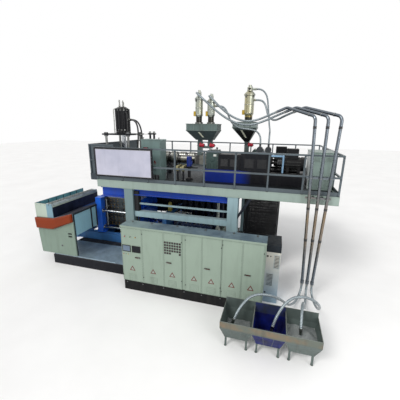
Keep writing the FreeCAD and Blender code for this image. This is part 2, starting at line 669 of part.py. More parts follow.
def make_columns():
    columns = []
    for name, left, front in column_places():
        low = S.base_height + S.tread_thick if name.startswith("front") else S.base_height
        shaft = span(f"column_{name}_shaft", left, left + S.column_side, front, front + S.column_side,
                     low + 20, S.deck_low - 20)
        foot = span(f"column_{name}_foot", left - 50, left + S.column_side + 50, front - 50,
                    front + S.column_side + 50, low, low + 20)
        head = span(f"column_{name}_head", left - 50, left + S.column_side + 50, front,
                    front + S.column_side, S.deck_low - 20, S.deck_low)
        parts = [shaft, foot, head]
        if name.endswith("right"):
            side = left + S.column_side
            knee = new_body(f"knee_{name}", 0, front + S.brace_thick, 0)
            sketch = sketch_on(knee, f"knee_{name}_outline", "XZ_Plane")
            outline(sketch, [(side - 5, S.brace_foot), (side + S.brace_reach, S.deck_low),
                             (side + S.brace_reach - S.brace_depth, S.deck_low),
                             (side - 5, S.brace_foot + S.brace_depth * 1.5)])
            pad(knee, sketch, S.brace_thick)
            parts.append(knee)
        columns.append(join(f"column_{name}", parts))
    keep(group("column_set", columns), "deck_columns")


def i_girder(label, left, right, front, low, high):
    """A rolled girder along X: two flanges on a web."""
    half_web = S.girder_web / 2
    middle = front + S.girder_width / 2
    return join(label, [
        span(f"{label}_low", left, right, front, front + S.girder_width, low, low + S.girder_flange),
        span(f"{label}_high", left, right, front, front + S.girder_width, high - S.girder_flange, high),
        span(f"{label}_web", left, right, middle - half_web, middle + half_web, low, high)])


def make_girders():
    left = S.column_left + S.column_side
    right = S.column_right - S.column_side
    low = S.deck_low - S.girder_height
    inset = (S.column_side - S.girder_width) / 2
    front_edge = S.column_front + inset
    back_edge = S.column_back - S.column_side + inset
    girders = [i_girder("girder_front", left, right, front_edge, low, S.deck_low - 20),
               i_girder("girder_back", left, right, back_edge, low, S.deck_low - 20),
               i_girder("girder_left", S.deck_left + S.fascia_thick, S.column_left, front_edge,
                        S.deck_low - S.girder_height * 1.6, S.deck_low - 20)]
    for name, front in (("front", front_edge), ("back", back_edge)):
        girders.append(span(f"cross_{name}", left, right, front, front + S.girder_width,
                            S.cross_top - S.cross_height, S.cross_top))
    keep(group("girder_set", girders), "cross_girders")


def make_deck_frame():
    top = S.deck_top - S.plate_thick
    edge = S.fascia_thick
    parts = [
        span("fascia_front", S.deck_left, S.deck_right, S.deck_front, S.deck_front + edge,
             S.deck_low, S.deck_top),
        span("fascia_back", S.wing_left, S.deck_right, S.deck_back - edge, S.deck_back,
             S.deck_low, S.deck_top),
        span("fascia_right", S.deck_right - edge, S.deck_right, S.deck_front, S.deck_back,
             S.deck_low, S.deck_top),
        span("fascia_left", S.deck_left, S.deck_left + edge, S.deck_front, S.wing_front + edge,
             S.deck_low, S.deck_top),
        span("wing_fascia_front", S.wing_left, S.deck_left + edge, S.wing_front, S.wing_front + edge,
             S.deck_low, S.deck_top),
        span("wing_fascia_left", S.wing_left, S.wing_left + edge, S.wing_front, S.deck_back,
             S.deck_low, S.deck_top)]
    joists = 7
    pitch = (S.deck_right - S.column_left) / joists
    for index in range(joists):
        left = S.column_left + pitch * index
        parts.append(span(f"joist_{index}", left, left + S.joist_width, S.deck_front, S.deck_back,
                          S.deck_low, top))
    for side, front in (("front", -S.well_half - S.joist_width), ("back", S.well_half)):
        parts.append(span(f"well_{side}", S.wing_left, S.column_left + S.joist_width, front,
                          front + S.joist_width, S.deck_low, top))
    for side, left in (("left", -S.well_half - S.joist_width), ("right", S.well_half)):
        parts.append(span(f"well_side_{side}", left, left + S.joist_width, S.wing_front, S.deck_back,
                          S.deck_low, top))
    keep(join("deck_weldment", parts), "deck_frame")
    edge_inner = S.deck_right - edge
    sheet_main = span("plate_main", S.deck_left + edge, edge_inner, S.deck_front + edge, S.deck_back - edge,
                      top, S.deck_top)
    sheet_wing = span("plate_wing", S.wing_left + edge, S.deck_left + edge, S.wing_front + edge,
                      S.deck_back - edge, top, S.deck_top)
    well = span("plate_well", -S.well_half, S.well_half, -S.well_half, S.well_half, top - 1, S.deck_top + 1)
    keep(carve("plate_cut", join("plate_sheets", [sheet_main, sheet_wing]), [well]), "deck_plate")


def railing(label, start, end, posts):
    """Posts, top rail, middle rail and toe board between two points of the deck's edge."""
    x0, y0 = start
    x1, y1 = end
    side = S.post_side
    parts = []
    along_x = abs(float(y1 - y0)) < 1
    for index in range(posts):
        share = index / (posts - 1)
        x = x0 + (x1 - x0) * share
        y = y0 + (y1 - y0) * share
        parts.append(block(f"{label}_post_{index}", x, y, S.deck_top, side, side, S.rail_top - S.deck_top))
    length = x1 - x0 + side if along_x else side
    width = side if along_x else y1 - y0 + side
    for name, low, height in (("top", S.rail_top - side, side), ("mid", S.rail_mid - side, side)):
        parts.append(block(f"{label}_{name}", x0, y0, low, length, width, height))
    toe_length = x1 - x0 if along_x else S.toe_thick
    toe_width = S.toe_thick if along_x else y1 - y0
    parts.append(block(f"{label}_toe", x0 + side / 2, y0 + side / 2, S.deck_top, toe_length, toe_width,
                       S.toe_height))
    return parts


def make_railings():
    side = S.post_side
    front = S.deck_front + 8
    right = S.deck_right - side - 8
    back = S.deck_back - side - 8
    wing_left = S.wing_left + 8
    parts = railing("rail_front", (S.deck_left + 8, front), (right, front), 9)
    parts += railing("rail_right", (right, front), (right, back), 6)
    parts += railing("rail_back", (wing_left, back), (right, back), 10)
    parts += railing("rail_wing", (wing_left, S.wing_front + 8), (wing_left, back), 4)
    parts += railing("rail_step", (wing_left, S.wing_front + 8), (S.deck_left + 8, S.wing_front + 8), 2)
    parts.append(span("wing_sheet", wing_left + side / 2, wing_left + side / 2 + 4, S.wing_front + 8, back,
                      S.deck_top, S.rail_top))
    parts.append(span("wing_front_sheet", wing_left, S.deck_left + 8, S.wing_front + 8 + side / 2,
                      S.wing_front + 12 + side / 2, S.deck_top, S.rail_top))
    keep(join("railing_weldment", parts), "deck_railings")

    board = new_body("sign", S.sign_left, S.deck_front + 8, S.sign_low)
    face = sketch_on(board, "sign_outline", "XZ_Plane")
    width = S.sign_right - S.sign_left
    height = S.sign_high - S.sign_low
    outline(face, [(0, 0), (width, 0), (width, height), (0, height)])
    pad(board, face, S.sign_thick)
    inner = sketch_on(board, "sign_field", "XZ_Plane", S.sign_thick)
    edge = S.sign_border
    outline(inner, [(edge, edge), (width - edge, edge), (width - edge, height - edge), (edge, height - edge)])
    pocket(board, inner, 12)
    keep(board, "sign_board")


# ---------------------------------------------------------------- accumulator head
def make_head():
    body = turned("head_core", "Z", 0, 0, 0, [
        (0, S.die_low), (S.die_radius * 0.5, S.die_low), (S.die_radius, S.die_low + 60),
        (S.die_radius, S.head_shoulder - 90), (S.head_radius, S.head_shoulder),
        (S.head_radius, S.head_top - 60), (S.head_radius - 60, S.head_top), (0, S.head_top)])
    plate = span("head_plate", -S.head_plate_half, S.head_plate_half, -S.head_plate_half, S.head_plate_half,
                 S.deck_top, S.deck_top + S.head_plate_thick)
    low = S.screw_height - S.manifold_height / 2
    high = S.screw_height + S.manifold_height / 2
    manifold = span("manifold", S.manifold_left, S.manifold_right, -S.manifold_width / 2,
                    S.manifold_width / 2, low, high)
    neck = span("manifold_neck", S.head_radius - 60, S.manifold_left + 1,
                -S.neck_half_width, S.neck_half_width, low, high)
    count = int((float(S.head_top) - float(S.head_shoulder) - 100) / float(S.head_band_pitch))
    bands = [rod(f"head_band_{index}", "Z", 0, 0, S.head_shoulder + 100 + S.head_band_pitch * index,
                 S.head_radius + 18, S.head_band_height) for index in range(count)]
    ports = [rod(f"manifold_port_{index}", "Z", S.manifold_right - 60, y, S.screw_height,
                 40, S.manifold_height / 2 + 60) for index, y in enumerate((-150, 150))]
    bore = rod("head_ram_bore", "Z", 0, 0, S.head_bore_low, S.head_bore, S.head_top - S.head_bore_low + 1)
    whole = join("head_whole", [body, plate, manifold, neck] + bands + ports)
    keep(carve("head_bored", whole, [bore]), "head_body")

    low = S.deck_top + S.head_plate_thick
    top_plate = span("frame_plate", -S.frame_plate_half, S.frame_plate_half, -S.frame_plate_half,
                     S.frame_plate_half, S.frame_plate_low, S.frame_plate_low + S.frame_plate_thick)
    hole = rod("frame_plate_hole", "Z", 0, 0, S.frame_plate_low - 1, S.head_bore + 20,
               S.frame_plate_thick + 2)
    parts = [carve("frame_plate_cut", top_plate, [hole])]
    for x in (-1, 1):
        for y in (-1, 1):
            name = f"frame_rod_{(x + 1) // 2}{(y + 1) // 2}"
            parts.append(rod(name, "Z", S.frame_rod_reach * x, S.frame_rod_reach * y, low, S.frame_rod_radius,
                             S.frame_plate_low + S.frame_plate_thick + 45 - low))
    stand = [rod(f"valve_post_{index}", "Z", S.stand_left + S.stand_pitch * index, -60, S.deck_top, 36,
                 S.stand_height) for index in range(2)]
    for name, lift, height in (("cross", S.stand_height - 100, 50), ("shelf", 0, 20)):
        stand.append(span(f"valve_{name}", S.stand_left - 60, S.stand_left + S.stand_pitch + 60, -110, -10,
                          S.deck_top + lift, S.deck_top + lift + height))
    keep(group("head_frame_set", [join("head_frame_whole", parts), join("valve_stand", stand)]), "head_frame")

    base = S.frame_plate_low + S.frame_plate_thick
    inside = base + 60
    shell = turned("jack_shell", "Z", 0, 0, 0, [
        (S.head_bore, base), (S.jack_radius + 40, base), (S.jack_radius + 40, base + 50),
        (S.jack_radius, base + 50), (S.jack_radius, S.jack_top - 60), (S.jack_radius * 0.6, S.jack_top),
        (0, S.jack_top), (0, S.jack_top - 80), (S.jack_radius - S.jack_wall, S.jack_top - 80),
        (S.jack_radius - S.jack_wall, inside), (S.head_bore, inside)])
    ribs = [shell]
    for index in range(int(float(S.jack_rib_count))):
        angle = 2 * math.pi * index / float(S.jack_rib_count)
        ribs.append(rod(f"jack_rib_{index}", "Z", S.jack_radius * round(math.cos(angle), 5),
                        S.jack_radius * round(math.sin(angle), 5), base + 70, S.jack_rib,
                        S.jack_top - 140 - base))
    fittings = [("fitting_a", -60, -60, 22, 0), ("fitting_b", 30, 40, 28, -60),
                ("fitting_c", 70, -50, 18, -20)]
    for name, x, y, radius, drop in fittings:
        ribs.append(rod(name, "Z", x, y, S.jack_top - 60, radius, S.fitting_top - S.jack_top + 60 + drop))
    port_left = S.jack_radius - S.jack_wall + 5
    for index, y in enumerate((-60, 60)):
        ribs.append(rod(f"fitting_port_{index}", "X", port_left, y, S.jack_top - S.jack_port_drop, 40,
                        S.jack_radius + S.jack_port - port_left))
    keep(join("jack_whole", ribs), "head_cylinder")

    piston_low = inside
    ram = turned("ram_turned", "Z", 0, 0, 0, [
        (0, S.ram_low), (S.ram_radius, S.ram_low), (S.ram_radius, piston_low),
        (S.jack_radius - S.jack_wall - 0.05, piston_low),
        (S.jack_radius - S.jack_wall - 0.05, piston_low + S.piston_thick), (0, piston_low + S.piston_thick)])
    keep(ram, "head_ram")


# ---------------------------------------------------------------- extruders
def make_extruders():
    skid_low = S.deck_top
    skid_top = S.gearbox_low
    skids = []
    for name, y, left, right in (("a", S.screw_a_y, S.skid_left, S.skid_right),
                                 ("b", S.screw_b_y, S.barrel_b_right - 60, S.skid_right)):
        front = y - S.skid_half_width
        back = y + S.skid_half_width
        frame = [span(f"skid_{name}_{side}", left, right, edge, edge + 90, skid_low, skid_top)
                 for side, edge in (("front", front), ("back", back - 90))]
        count = 4
        for index in range(count):
            x = left + (right - left - 120) * (index / (count - 1))
            frame.append(span(f"skid_{name}_tie_{index}", x, x + 120, front, back, skid_low, skid_top))
        if name == "a":
            bar = S.frame_bar
            right_side = S.motor_a_left - 20
            for side, edge in (("front", front), ("back", back - bar)):
                frame.append(span(f"gap_{side}_top", S.housing_right, right_side, edge, edge + bar,
                                  S.frame_top - bar, S.frame_top))
                frame.append(span(f"gap_{side}_post", right_side - bar, right_side, edge, edge + bar,
                                  skid_top - 1, S.frame_top))
            frame.append(span("gap_cross", right_side - bar, right_side, front, back,
                              S.frame_top - bar, S.frame_top))
        skids.append(join(f"skid_{name}", frame))
    first_stand = S.manifold_right + S.foot_inset
    for name, y, x in (("a", S.screw_a_y, first_stand), ("b", S.screw_b_y, first_stand),
                       ("c", S.screw_b_y, first_stand + S.foot_pitch)):
        skids.append(span(f"barrel_stand_{name}", x, x + S.foot_length, y - S.foot_half, y + S.foot_half,
                          skid_low, S.screw_height - S.band_radius))
    keep(group("skid_set", skids), "extruder_base")

    barrels = []
    gearboxes = []
    housings = []
    for name, y, right in (("a", S.screw_a_y, S.barrel_a_right), ("b", S.screw_b_y, S.barrel_b_right)):
        length = right - S.manifold_right
        shell = [rod(f"barrel_{name}", "X", S.manifold_right, y, S.screw_height, S.barrel_radius, length)]
        for index in range(int((float(length) - 700) / float(S.band_pitch))):
            shell.append(rod(f"band_{name}_{index}", "X", S.manifold_right + 60 + S.band_pitch * index, y,
                             S.screw_height, S.band_radius, S.band_length))
        throat_x = S.throat_a_left if name == "a" else S.single_axis
        feed_right = right if name == "a" else throat_x + S.feed_half
        shell.append(span(f"feed_{name}", throat_x - S.feed_half, feed_right, y - S.feed_half,
                          y + S.feed_half, S.screw_height - 140, S.screw_height + S.feed_rise))
        half = S.throat_half + S.valve_border
        shell.append(span(f"chute_{name}", throat_x - half, throat_x + half, y - half, y + half,
                          S.screw_height + S.feed_rise, S.feed_top))
        if name == "a":
            shell.append(span("chute_bridge", throat_x - half, S.throat_a_right + half, y - half, y + half,
                              S.feed_top - 70, S.feed_top))
        bore = rod(f"barrel_bore_{name}", "X", S.manifold_right - 1, y, S.screw_height, S.barrel_bore,
                   length + 2)
        barrels.append(carve(f"barrel_{name}_bored", join(f"barrel_{name}_shell", shell), [bore]))
        box = span(f"gearbox_{name}", right, right + S.gearbox_length, y - S.gearbox_half_width,
                   y + S.gearbox_half_width, S.gearbox_low, S.gearbox_high)
        lid = span(f"gearbox_lid_{name}", right + 30, right + S.gearbox_length - 30,
                   y - S.gearbox_half_width + 30, y + S.gearbox_half_width - 30, S.gearbox_high,
                   S.gearbox_high + 40)
        shank = rod(f"gearbox_bore_{name}", "X", right - 1, y, S.screw_height, S.barrel_bore, 201)
        gearboxes.append(carve(f"gearbox_{name}_bored", join(f"gearbox_{name}_cast", [box, lid]), [shank]))
    keep(group("barrel_pair", barrels), "extruder_barrels")
    keep(group("gearbox_pair", gearboxes), "gearboxes")

    left = S.barrel_a_right + S.gearbox_length
    y = S.screw_a_y
    step = left + S.housing_step
    housings.append(join("housing_a", [
        span("housing_a_low", left, step, y - S.gearbox_half_width, y + S.gearbox_half_width,
             S.gearbox_low, S.gearbox_high - 60),
        span("housing_a_high", step, S.housing_right, y - S.skid_half_width, y + S.skid_half_width,
             S.gearbox_low, S.gearbox_high)]))
    keep(group("housing_set", housings), "drive_housings")

    motors = []
    gearbox_b_right = S.barrel_b_right + S.gearbox_length
    for name, y, left, shaft_left in (("a", S.screw_a_y, S.motor_a_left, S.housing_right),
                                      ("b", S.screw_b_y, S.motor_b_left, gearbox_b_right)):
        motors.append(motor(f"motor_{name}", y, left, shaft_left))
    keep(group("motor_pair", motors), "extruder_motors")

    for name, y, right in (("a", S.screw_a_y, S.barrel_a_right), ("b", S.screw_b_y, S.barrel_b_right)):
        length = right - S.manifold_right + 150
        screw = turned(f"screw_{name}", "X", S.manifold_right + 20, y, S.screw_height, [
            (0, 0), (S.screw_radius, 90), (S.screw_radius, length), (0, length)])
        keep(screw, f"extruder_screw_{name}")


def motor(label, y, left, shaft_left):
    """A finned motor with terminal box, feet, cowl, shaft and coupling."""
    right = left + S.motor_length
    parts = [rod(f"{label}_case", "X", left, y, S.screw_height, S.motor_radius, S.motor_length - 90),
             rod(f"{label}_cowl", "X", right - 90, y, S.screw_height, S.motor_radius + 14, 90),
             span(f"{label}_box", left + 40, left + 380, y - 150, y + 110,
                  S.screw_height + S.motor_radius - 40, S.motor_box_top),
             rod(f"{label}_shaft", "X", shaft_left, y, S.screw_height, S.shaft_radius,
                 left - shaft_left + 20),
             rod(f"{label}_coupling", "X", left - S.coupling_length - 50, y, S.screw_height,
                 S.coupling_radius, S.coupling_length)]
    for index in range(9):
        parts.append(rod(f"{label}_fin_{index}", "X", left + 40 + 46 * index, y, S.screw_height,
                         S.motor_radius + 14, 16))
    for index in range(2):
        parts.append(span(f"{label}_foot_{index}", left + 60 + 320 * index, left + 140 + 320 * index,
                          y - 190, y + 190, S.gearbox_low, S.screw_height - 60))
    return join(label, parts)


# ---------------------------------------------------------------- hoppers and loaders
def make_hoppers():
    wall = S.hopper_wall
    y = S.screw_a_y
    rim = (S.twin_left, S.twin_right, y - S.twin_half_depth, y + S.twin_half_depth)
    foot = (S.twin_low_left, S.twin_low_right, y - S.twin_low_half, y + S.twin_low_half)
    outer = [span("twin_rim", rim[0], rim[1], rim[2], rim[3], S.twin_rim_low, S.twin_rim_high),
             frustum("twin_taper", foot, rim, S.twin_throat, S.twin_rim_low)]
    small_rim = (rim[0] + wall, rim[1] - wall, rim[2] + wall, rim[3] - wall)
    small_foot = (foot[0] + wall, foot[1] - wall, foot[2] + wall, foot[3] - wall)
    inner = [span("twin_rim_in", *small_rim, S.twin_rim_low, S.twin_rim_high - wall),
             frustum("twin_taper_in", small_foot, small_rim, S.twin_throat + wall, S.twin_rim_low)]
    mouths = []
    outlets = []
    neck_low = S.twin_throat - S.neck_length
    for index, x in enumerate((S.throat_a_left, S.throat_a_right)):
        half = S.throat_half
        outlets.append(span(f"twin_neck_{index}", x - half - wall, x + half + wall, y - half - wall,
                            y + half + wall, neck_low, S.twin_throat + wall))
        mouths.append(span(f"twin_mouth_{index}", x - half, x + half, y - half, y + half, neck_low - 1,
                           S.twin_throat + wall * 2))
    twin = carve("twin_hollow", join("twin_outer", outer + outlets), inner + mouths)
    divider = span("twin_divider", (S.twin_left + S.twin_right) / 2, (S.twin_left + S.twin_right) / 2 + wall,
                   y - S.twin_low_half, y + S.twin_low_half, S.twin_throat + wall, S.twin_rim_high - wall)
    twin_whole = join("twin_hopper", [twin, divider])

    y = S.screw_b_y
    half = S.throat_half
    rim = (S.single_left, S.single_right, y - S.single_half_depth, y + S.single_half_depth)
    foot = (S.single_axis - half - wall, S.single_axis + half + wall, y - half - wall, y + half + wall)
    small_rim = (rim[0] + wall, rim[1] - wall, rim[2] + wall, rim[3] - wall)
    small_foot = (foot[0] + wall, foot[1] - wall, foot[2] + wall, foot[3] - wall)
    outer = [span("single_rim", *rim, S.single_rim_low, S.single_rim_high),
             frustum("single_taper", foot, rim, S.single_throat, S.single_rim_low)]
    inner = [span("single_rim_in", *small_rim, S.single_rim_low, S.single_rim_high - wall),
             frustum("single_taper_in", small_foot, small_rim, S.single_throat - 0.5, S.single_rim_low)]
    single = carve("single_hollow", join("single_outer", outer), inner)
    # each throat stands on a slotted valve box; its red plate slides out to the right
    valves = [valve("1", S.throat_a_left, S.screw_a_y, neck_low),
              valve("2", S.throat_a_right, S.screw_a_y, neck_low),
              valve("3", S.single_axis, S.screw_b_y, S.single_throat)]
    keep(group("hopper_set", [twin_whole, single] + valves), "hoppers")


def valve(name, x, y, top):
    """A valve box under a throat, with the slide plate kept as a node of its own."""
    half = S.throat_half + S.valve_border
    play = S.gate_plate_play
    cover = S.valve_border / 3
    plate_low = top - 60
    box = span(f"valve_box_{name}", x - half, x + half, y - half, y + half, S.feed_top, top)
    mouth = span(f"valve_mouth_{name}", x - S.throat_half, x + S.throat_half, y - S.throat_half,
                 y + S.throat_half, S.feed_top - 1, top + 1)
    slot = span(f"valve_slot_{name}", x - half + cover, x + half + 1, y - half + cover, y + half - cover,
                plate_low, plate_low + S.gate_plate + play)
    plate = span(f"slide_plate_{name}", x - half + cover + play, x + half + 40, y - half + cover + play,
                 y + half - cover - play, plate_low, plate_low + S.gate_plate)
    stem = span(f"slide_stem_{name}", x + half + 20, x + half + 60, y - 30, y + 30, plate_low - 20,
                plate_low + S.gate_plate + 24)
    grip = rod(f"slide_grip_{name}", "Y", x + half + 40, y - S.grip_length / 2, plate_low + S.gate_plate / 2,
               S.grip_radius, S.grip_length)
    keep(join(f"slide_gate_whole_{name}", [plate, stem, grip]), f"slide_gate_{name}")
    return carve(f"valve_{name}", box, [mouth, slot])


LOW_PORT = 0.6
HIGH_PORT = 0.89


def loader(label, x, y, low, top, size, ports):
    """A vacuum loader: dark cone, steel tube, flanged lid, and its hose stubs."""
    radius = S.loader_radius * size
    stem = S.loader_radius * 0.55 * size
    body = turned(label, "Z", x, y, low, [
        (0, 0), (radius * 1.05, 0), (radius * 1.05, 40), (radius * 0.8, 60), (radius * 0.8, 200),
        (radius, 260), (radius, (top - low) * 0.72), (radius * 1.15, (top - low) * 0.72),
        (radius * 1.15, (top - low) * 0.76), (radius * 0.9, (top - low) * 0.8),
        (stem, (top - low) * 0.84), (stem, (top - low) * 0.94), (stem * 0.6, (top - low) * 0.94),
        (stem * 0.6, top - low), (0, top - low)])
    parts = [body, span(f"{label}_box", x - radius * 1.35, x - radius * 0.8, y - 60, y + 40,
                        low + 230, low + 380)]
    for facing, share in ports:
        height = low + (top - low) * share
        start = y - radius - S.stub_length if facing == "Y" else y
        parts.append(rod(f"{label}_port_{facing}_{len(parts)}", facing, x, start, height, S.hose_radius + 6,
                         radius + S.stub_length))
    return join(f"{label}_whole", parts)


def loader_seats():
    """Where each loader stands: middle, foot and top heights, size, and its stubs."""
    small = S.loader_small
    return {
        "left": (S.loader_left_x, S.screw_a_y, S.twin_rim_high, S.loader_left_top, small, [("Y", HIGH_PORT)]),
        "mid": (S.loader_mid_x, S.screw_a_y, S.twin_rim_high, S.loader_mid_top, small,
                [("Y", HIGH_PORT), ("X", LOW_PORT)]),
        "right": (S.single_axis, S.screw_b_y, S.single_rim_high, S.loader_right_top, S.loader_big,
                  [("X", LOW_PORT), ("X", HIGH_PORT)]),
    }


def make_loaders():
    loaders = [loader(f"loader_{name}", *seat) for name, seat in loader_seats().items()]
    keep(group("loader_set", loaders), "hopper_loaders")


# ---------------------------------------------------------------- pipes and hoses
def make_pipes():
    pipes = []
    for index in range(3):
        bottom = (S.pipe_low_x + S.pipe_low_pitch * index, S.pipe_y, S.pipe_low)
        corner = (S.pipe_top_x + S.pipe_top_pitch * index, S.pipe_y, S.pipe_top)
        crest = (S.crest_x + S.crest_pitch * index, S.crest_y, S.crest_z)
        end = (crest[0] + S.crest_end_x, crest[1] + S.crest_end_y, crest[2] + S.crest_end_z)
        pipes.append(tube(f"pipe_{index}", [bottom, corner, crest, end], S.pipe_radius, S.pipe_bend))
        pipes.append(rod(f"pipe_sleeve_{index}", "Z", bottom[0], S.pipe_y, S.pipe_low - 20,
                         S.pipe_radius + 10, 90))
    welded = [join(f"pipe_run_{index}", pipes[index * 2:index * 2 + 2]) for index in range(3)]
    rails = []
    for name, z in (("low", S.deck_top - 60), ("high", S.rail_mid - S.post_side)):
        share = (float(z) - float(S.pipe_low)) / (float(S.pipe_top) - float(S.pipe_low))
        left = S.pipe_low_x + (S.pipe_top_x - S.pipe_low_x) * share
        pitch = S.pipe_low_pitch + (S.pipe_top_pitch - S.pipe_low_pitch) * share
        rails.append(block(f"pipe_rail_{name}", left - 90, S.pipe_y + S.pipe_radius - 6, z,
                           pitch * 2 + 180, S.clamp_rail, S.post_side))
        for side, x in (("left", left + pitch / 2), ("right", left + pitch * 1.5)):
            rails.append(span(f"pipe_arm_{name}_{side}", x - 25, x + 25, S.pipe_y + S.pipe_radius + 20,
                              S.deck_front + (8 if name == "high" else 0), z, z + S.post_side))
    keep(join("pipe_set", welded + rails), "conveying_pipes")


def beyond_pipe(index, share):
    """A point on the line of a conveying pipe's last run, past its end by a share of that run."""
    x = S.crest_x + S.crest_pitch * index + S.crest_end_x * (1 + share)
    return (x, S.crest_y + S.crest_end_y * (1 + share), S.crest_z + S.crest_end_z * (1 + share))


def port(seat, facing, share):
    """The mouth of a loader's stub."""
    x, y, low, top, size = seat[:5]
    reach = S.loader_radius * size + S.stub_length
    height = low + (top - low) * share
    return (x + reach, y, height) if facing == "X" else (x, y - reach, height)


def make_hoses():
    seats = loader_seats()
    left_port = port(seats["left"], "Y", HIGH_PORT)
    mid_port = port(seats["mid"], "Y", HIGH_PORT)
    mid_vent = port(seats["mid"], "X", LOW_PORT)
    right_port = port(seats["right"], "X", LOW_PORT)
    right_vent = port(seats["right"], "X", HIGH_PORT)
    stub = S.pump_stub_top
    routes = {
        "loader_hose_1": (S.hose_radius, [
            beyond_pipe(0, 0), beyond_pipe(0, 1), (4840, -610, 4835), (4500, -580, 4800), (4230, -630, 4870),
            (4010, -730, 4990), (3840, -840, 5130), (3700, -910, 5260), (3590, -925, 5370), (3490, -880, 5460),
            (3420, -795, 5505), (3390, -680, mid_port[2]), mid_port]),
        "loader_hose_2": (S.hose_radius, [
            beyond_pipe(1, 0), beyond_pipe(1, 1), (5000, -640, 4790), (4650, -610, 4690), (4330, -650, 4720),
            (4040, -740, 4830), (3800, -830, 4980), (3590, -910, 5150), (3390, -960, 5320), (3230, -950, 5450),
            (3110, -905, 5545), (3035, -815, 5598), (3000, -690, left_port[2]), left_port]),
        "loader_hose_3": (S.hose_radius, [
            beyond_pipe(2, 0), beyond_pipe(2, 1), (5410, -400, 4860), (5290, -190, 4850), (5180, 10, 4910),
            (5100, 180, 5010), (5055, 300, 5140), (5010, 375, 5290), (4940, 400, 5415),
            (4830, 400, right_port[2]),
            right_port]),
        "vacuum_hose_1": (S.vacuum_hose_radius, [
            right_vent, (4790, 400, right_vent[2]), (4905, 405, 5755), (4995, 425, 5650), (5045, 445, 5500),
            (5075, 450, 5320), (5100, 435, 5130), (5125, 395, 4950), (5150, 320, 4790), (5175, 210, 4660),
            (5195, 60, 4580), (5210, -110, 4535), (5214, -245, 4475), (5215, -335, 4385),
            (5215, S.pump_y, 4270), (5215, S.pump_y, stub)]),
        "vacuum_hose_2": (S.vacuum_hose_radius, [
            mid_vent, (3690, -400, mid_vent[2]), (3795, -395, 5215), (3870, -370, 5120), (3920, -315, 4995),
            (3965, -245, 4865), (4035, -170, 4745), (4150, -110, 4655), (4300, -80, 4600), (4470, -85, 4580),
            (4640, -130, 4565), (4780, -205, 4530), (4880, -285, 4465), (4940, -350, 4370),
            (4965, S.pump_y, 4265), (4965, S.pump_y, stub)]),
    }
    hoses = [tube(name, points, radius) for name, (radius, points) in routes.items()]
    keep(group("loader_hose_set", hoses), "loader_hoses")

    low = S.pipe_low - 20
    first = S.pipe_low_x
    step = S.pipe_low_pitch
    y = S.pipe_y
    suction = {
        "suction_hose_1": [
            (first, y, low), (first, y, 350), (6440, -1850, 220), (6380, -2000, 120), (6290, -2230, 100),
            (6180, -2500, 190), (6060, -2780, 360), (5950, -3040, 600), (5830, -3260, 810),
            (5640, -3400, 950), (5400, -3470, 1000), (5180, -3600, 980), (5020, -3780, 850), (4910, -3930, 660),
            (4860, -4010, 480)],
        "suction_hose_2": [
            (first + step, y, low), (first + step, y, 340), (6585, -1870, 200), (6565, -2050, 110),
            (6540, -2290, 110), (6500, -2570, 210), (6450, -2840, 390), (6400, -3080, 620), (6350, -3290, 840),
            (6300, -3500, 970), (6270, -3720, 930), (6260, -3900, 760), (6260, -4000, 560)],
        "suction_hose_3": [
            (first + step * 2, y, low), (first + step * 2, y, 350), (6730, -1870, 210), (6760, -2050, 130),
            (6790, -2290, 140), (6800, -2570, 250), (6780, -2840, 440), (6730, -3100, 680), (6640, -3330, 900),
            (6500, -3480, 1080), (6310, -3570, 1180), (6100, -3630, 1170), (5920, -3720, 1040),
            (5800, -3830, 850), (5720, -3930, 650), (5680, -4000, 480)],
    }
    hoses = [tube(name, points, S.hose_radius) for name, points in suction.items()]
    keep(group("suction_hose_set", hoses), "suction_hoses")

    port_x = S.manifold_right - 60
    port_top = S.screw_height + S.manifold_height / 2 + 60
    hoses = []
    for name, side in (("1", -1), ("2", 1)):
        start = (S.jack_radius + S.jack_port, 60 * side, S.jack_top - S.jack_port_drop)
        points = [start, (420, 60 * side, S.jack_top - S.jack_port_drop),
                  (530, 72 * side, 4790), (605, 88 * side, 4690),
                  (648, 108 * side, 4550), (668, 128 * side, 4390), (669, 142 * side, 4220),
                  (655, 149 * side, 4060), (port_x, 150 * side, 3915), (port_x, 150 * side, port_top)]
        hoses.append(tube(f"head_hose_{name}", points, S.head_hose_radius))
    keep(group("head_hose_set", hoses), "head_hoses")


def make_pumps():
    """Two side-channel blowers on the drive housing, with hose stubs and a silencer."""
    parts = []
    low = S.gearbox_high
    for index in range(2):
        x = S.pump_left + 250 * index
        height = low + S.pump_case_radius + 10
        parts.append(rod(f"blower_{index}", "Y", x + 105, S.pump_y - 150, height, S.pump_case_radius, 160))
        parts.append(rod(f"blower_motor_{index}", "Y", x + 105, S.pump_y + 10, height, 70, 190))
        parts.append(span(f"blower_foot_{index}", x + 30, x + 180, S.pump_y - 140, S.pump_y + 170, low,
                          height - 50))
        parts.append(rod(f"blower_stub_{index}", "Z", x + 105, S.pump_y, height, S.vacuum_hose_radius + 6,
                         S.pump_stub_top - height))
    parts.append(span("blower_rail", S.pump_left, S.pump_left + 470, S.pump_y - 100, S.pump_y + 100,
                      low, low + 30))
    keep(join("blower_set", parts), "vacuum_pumps")


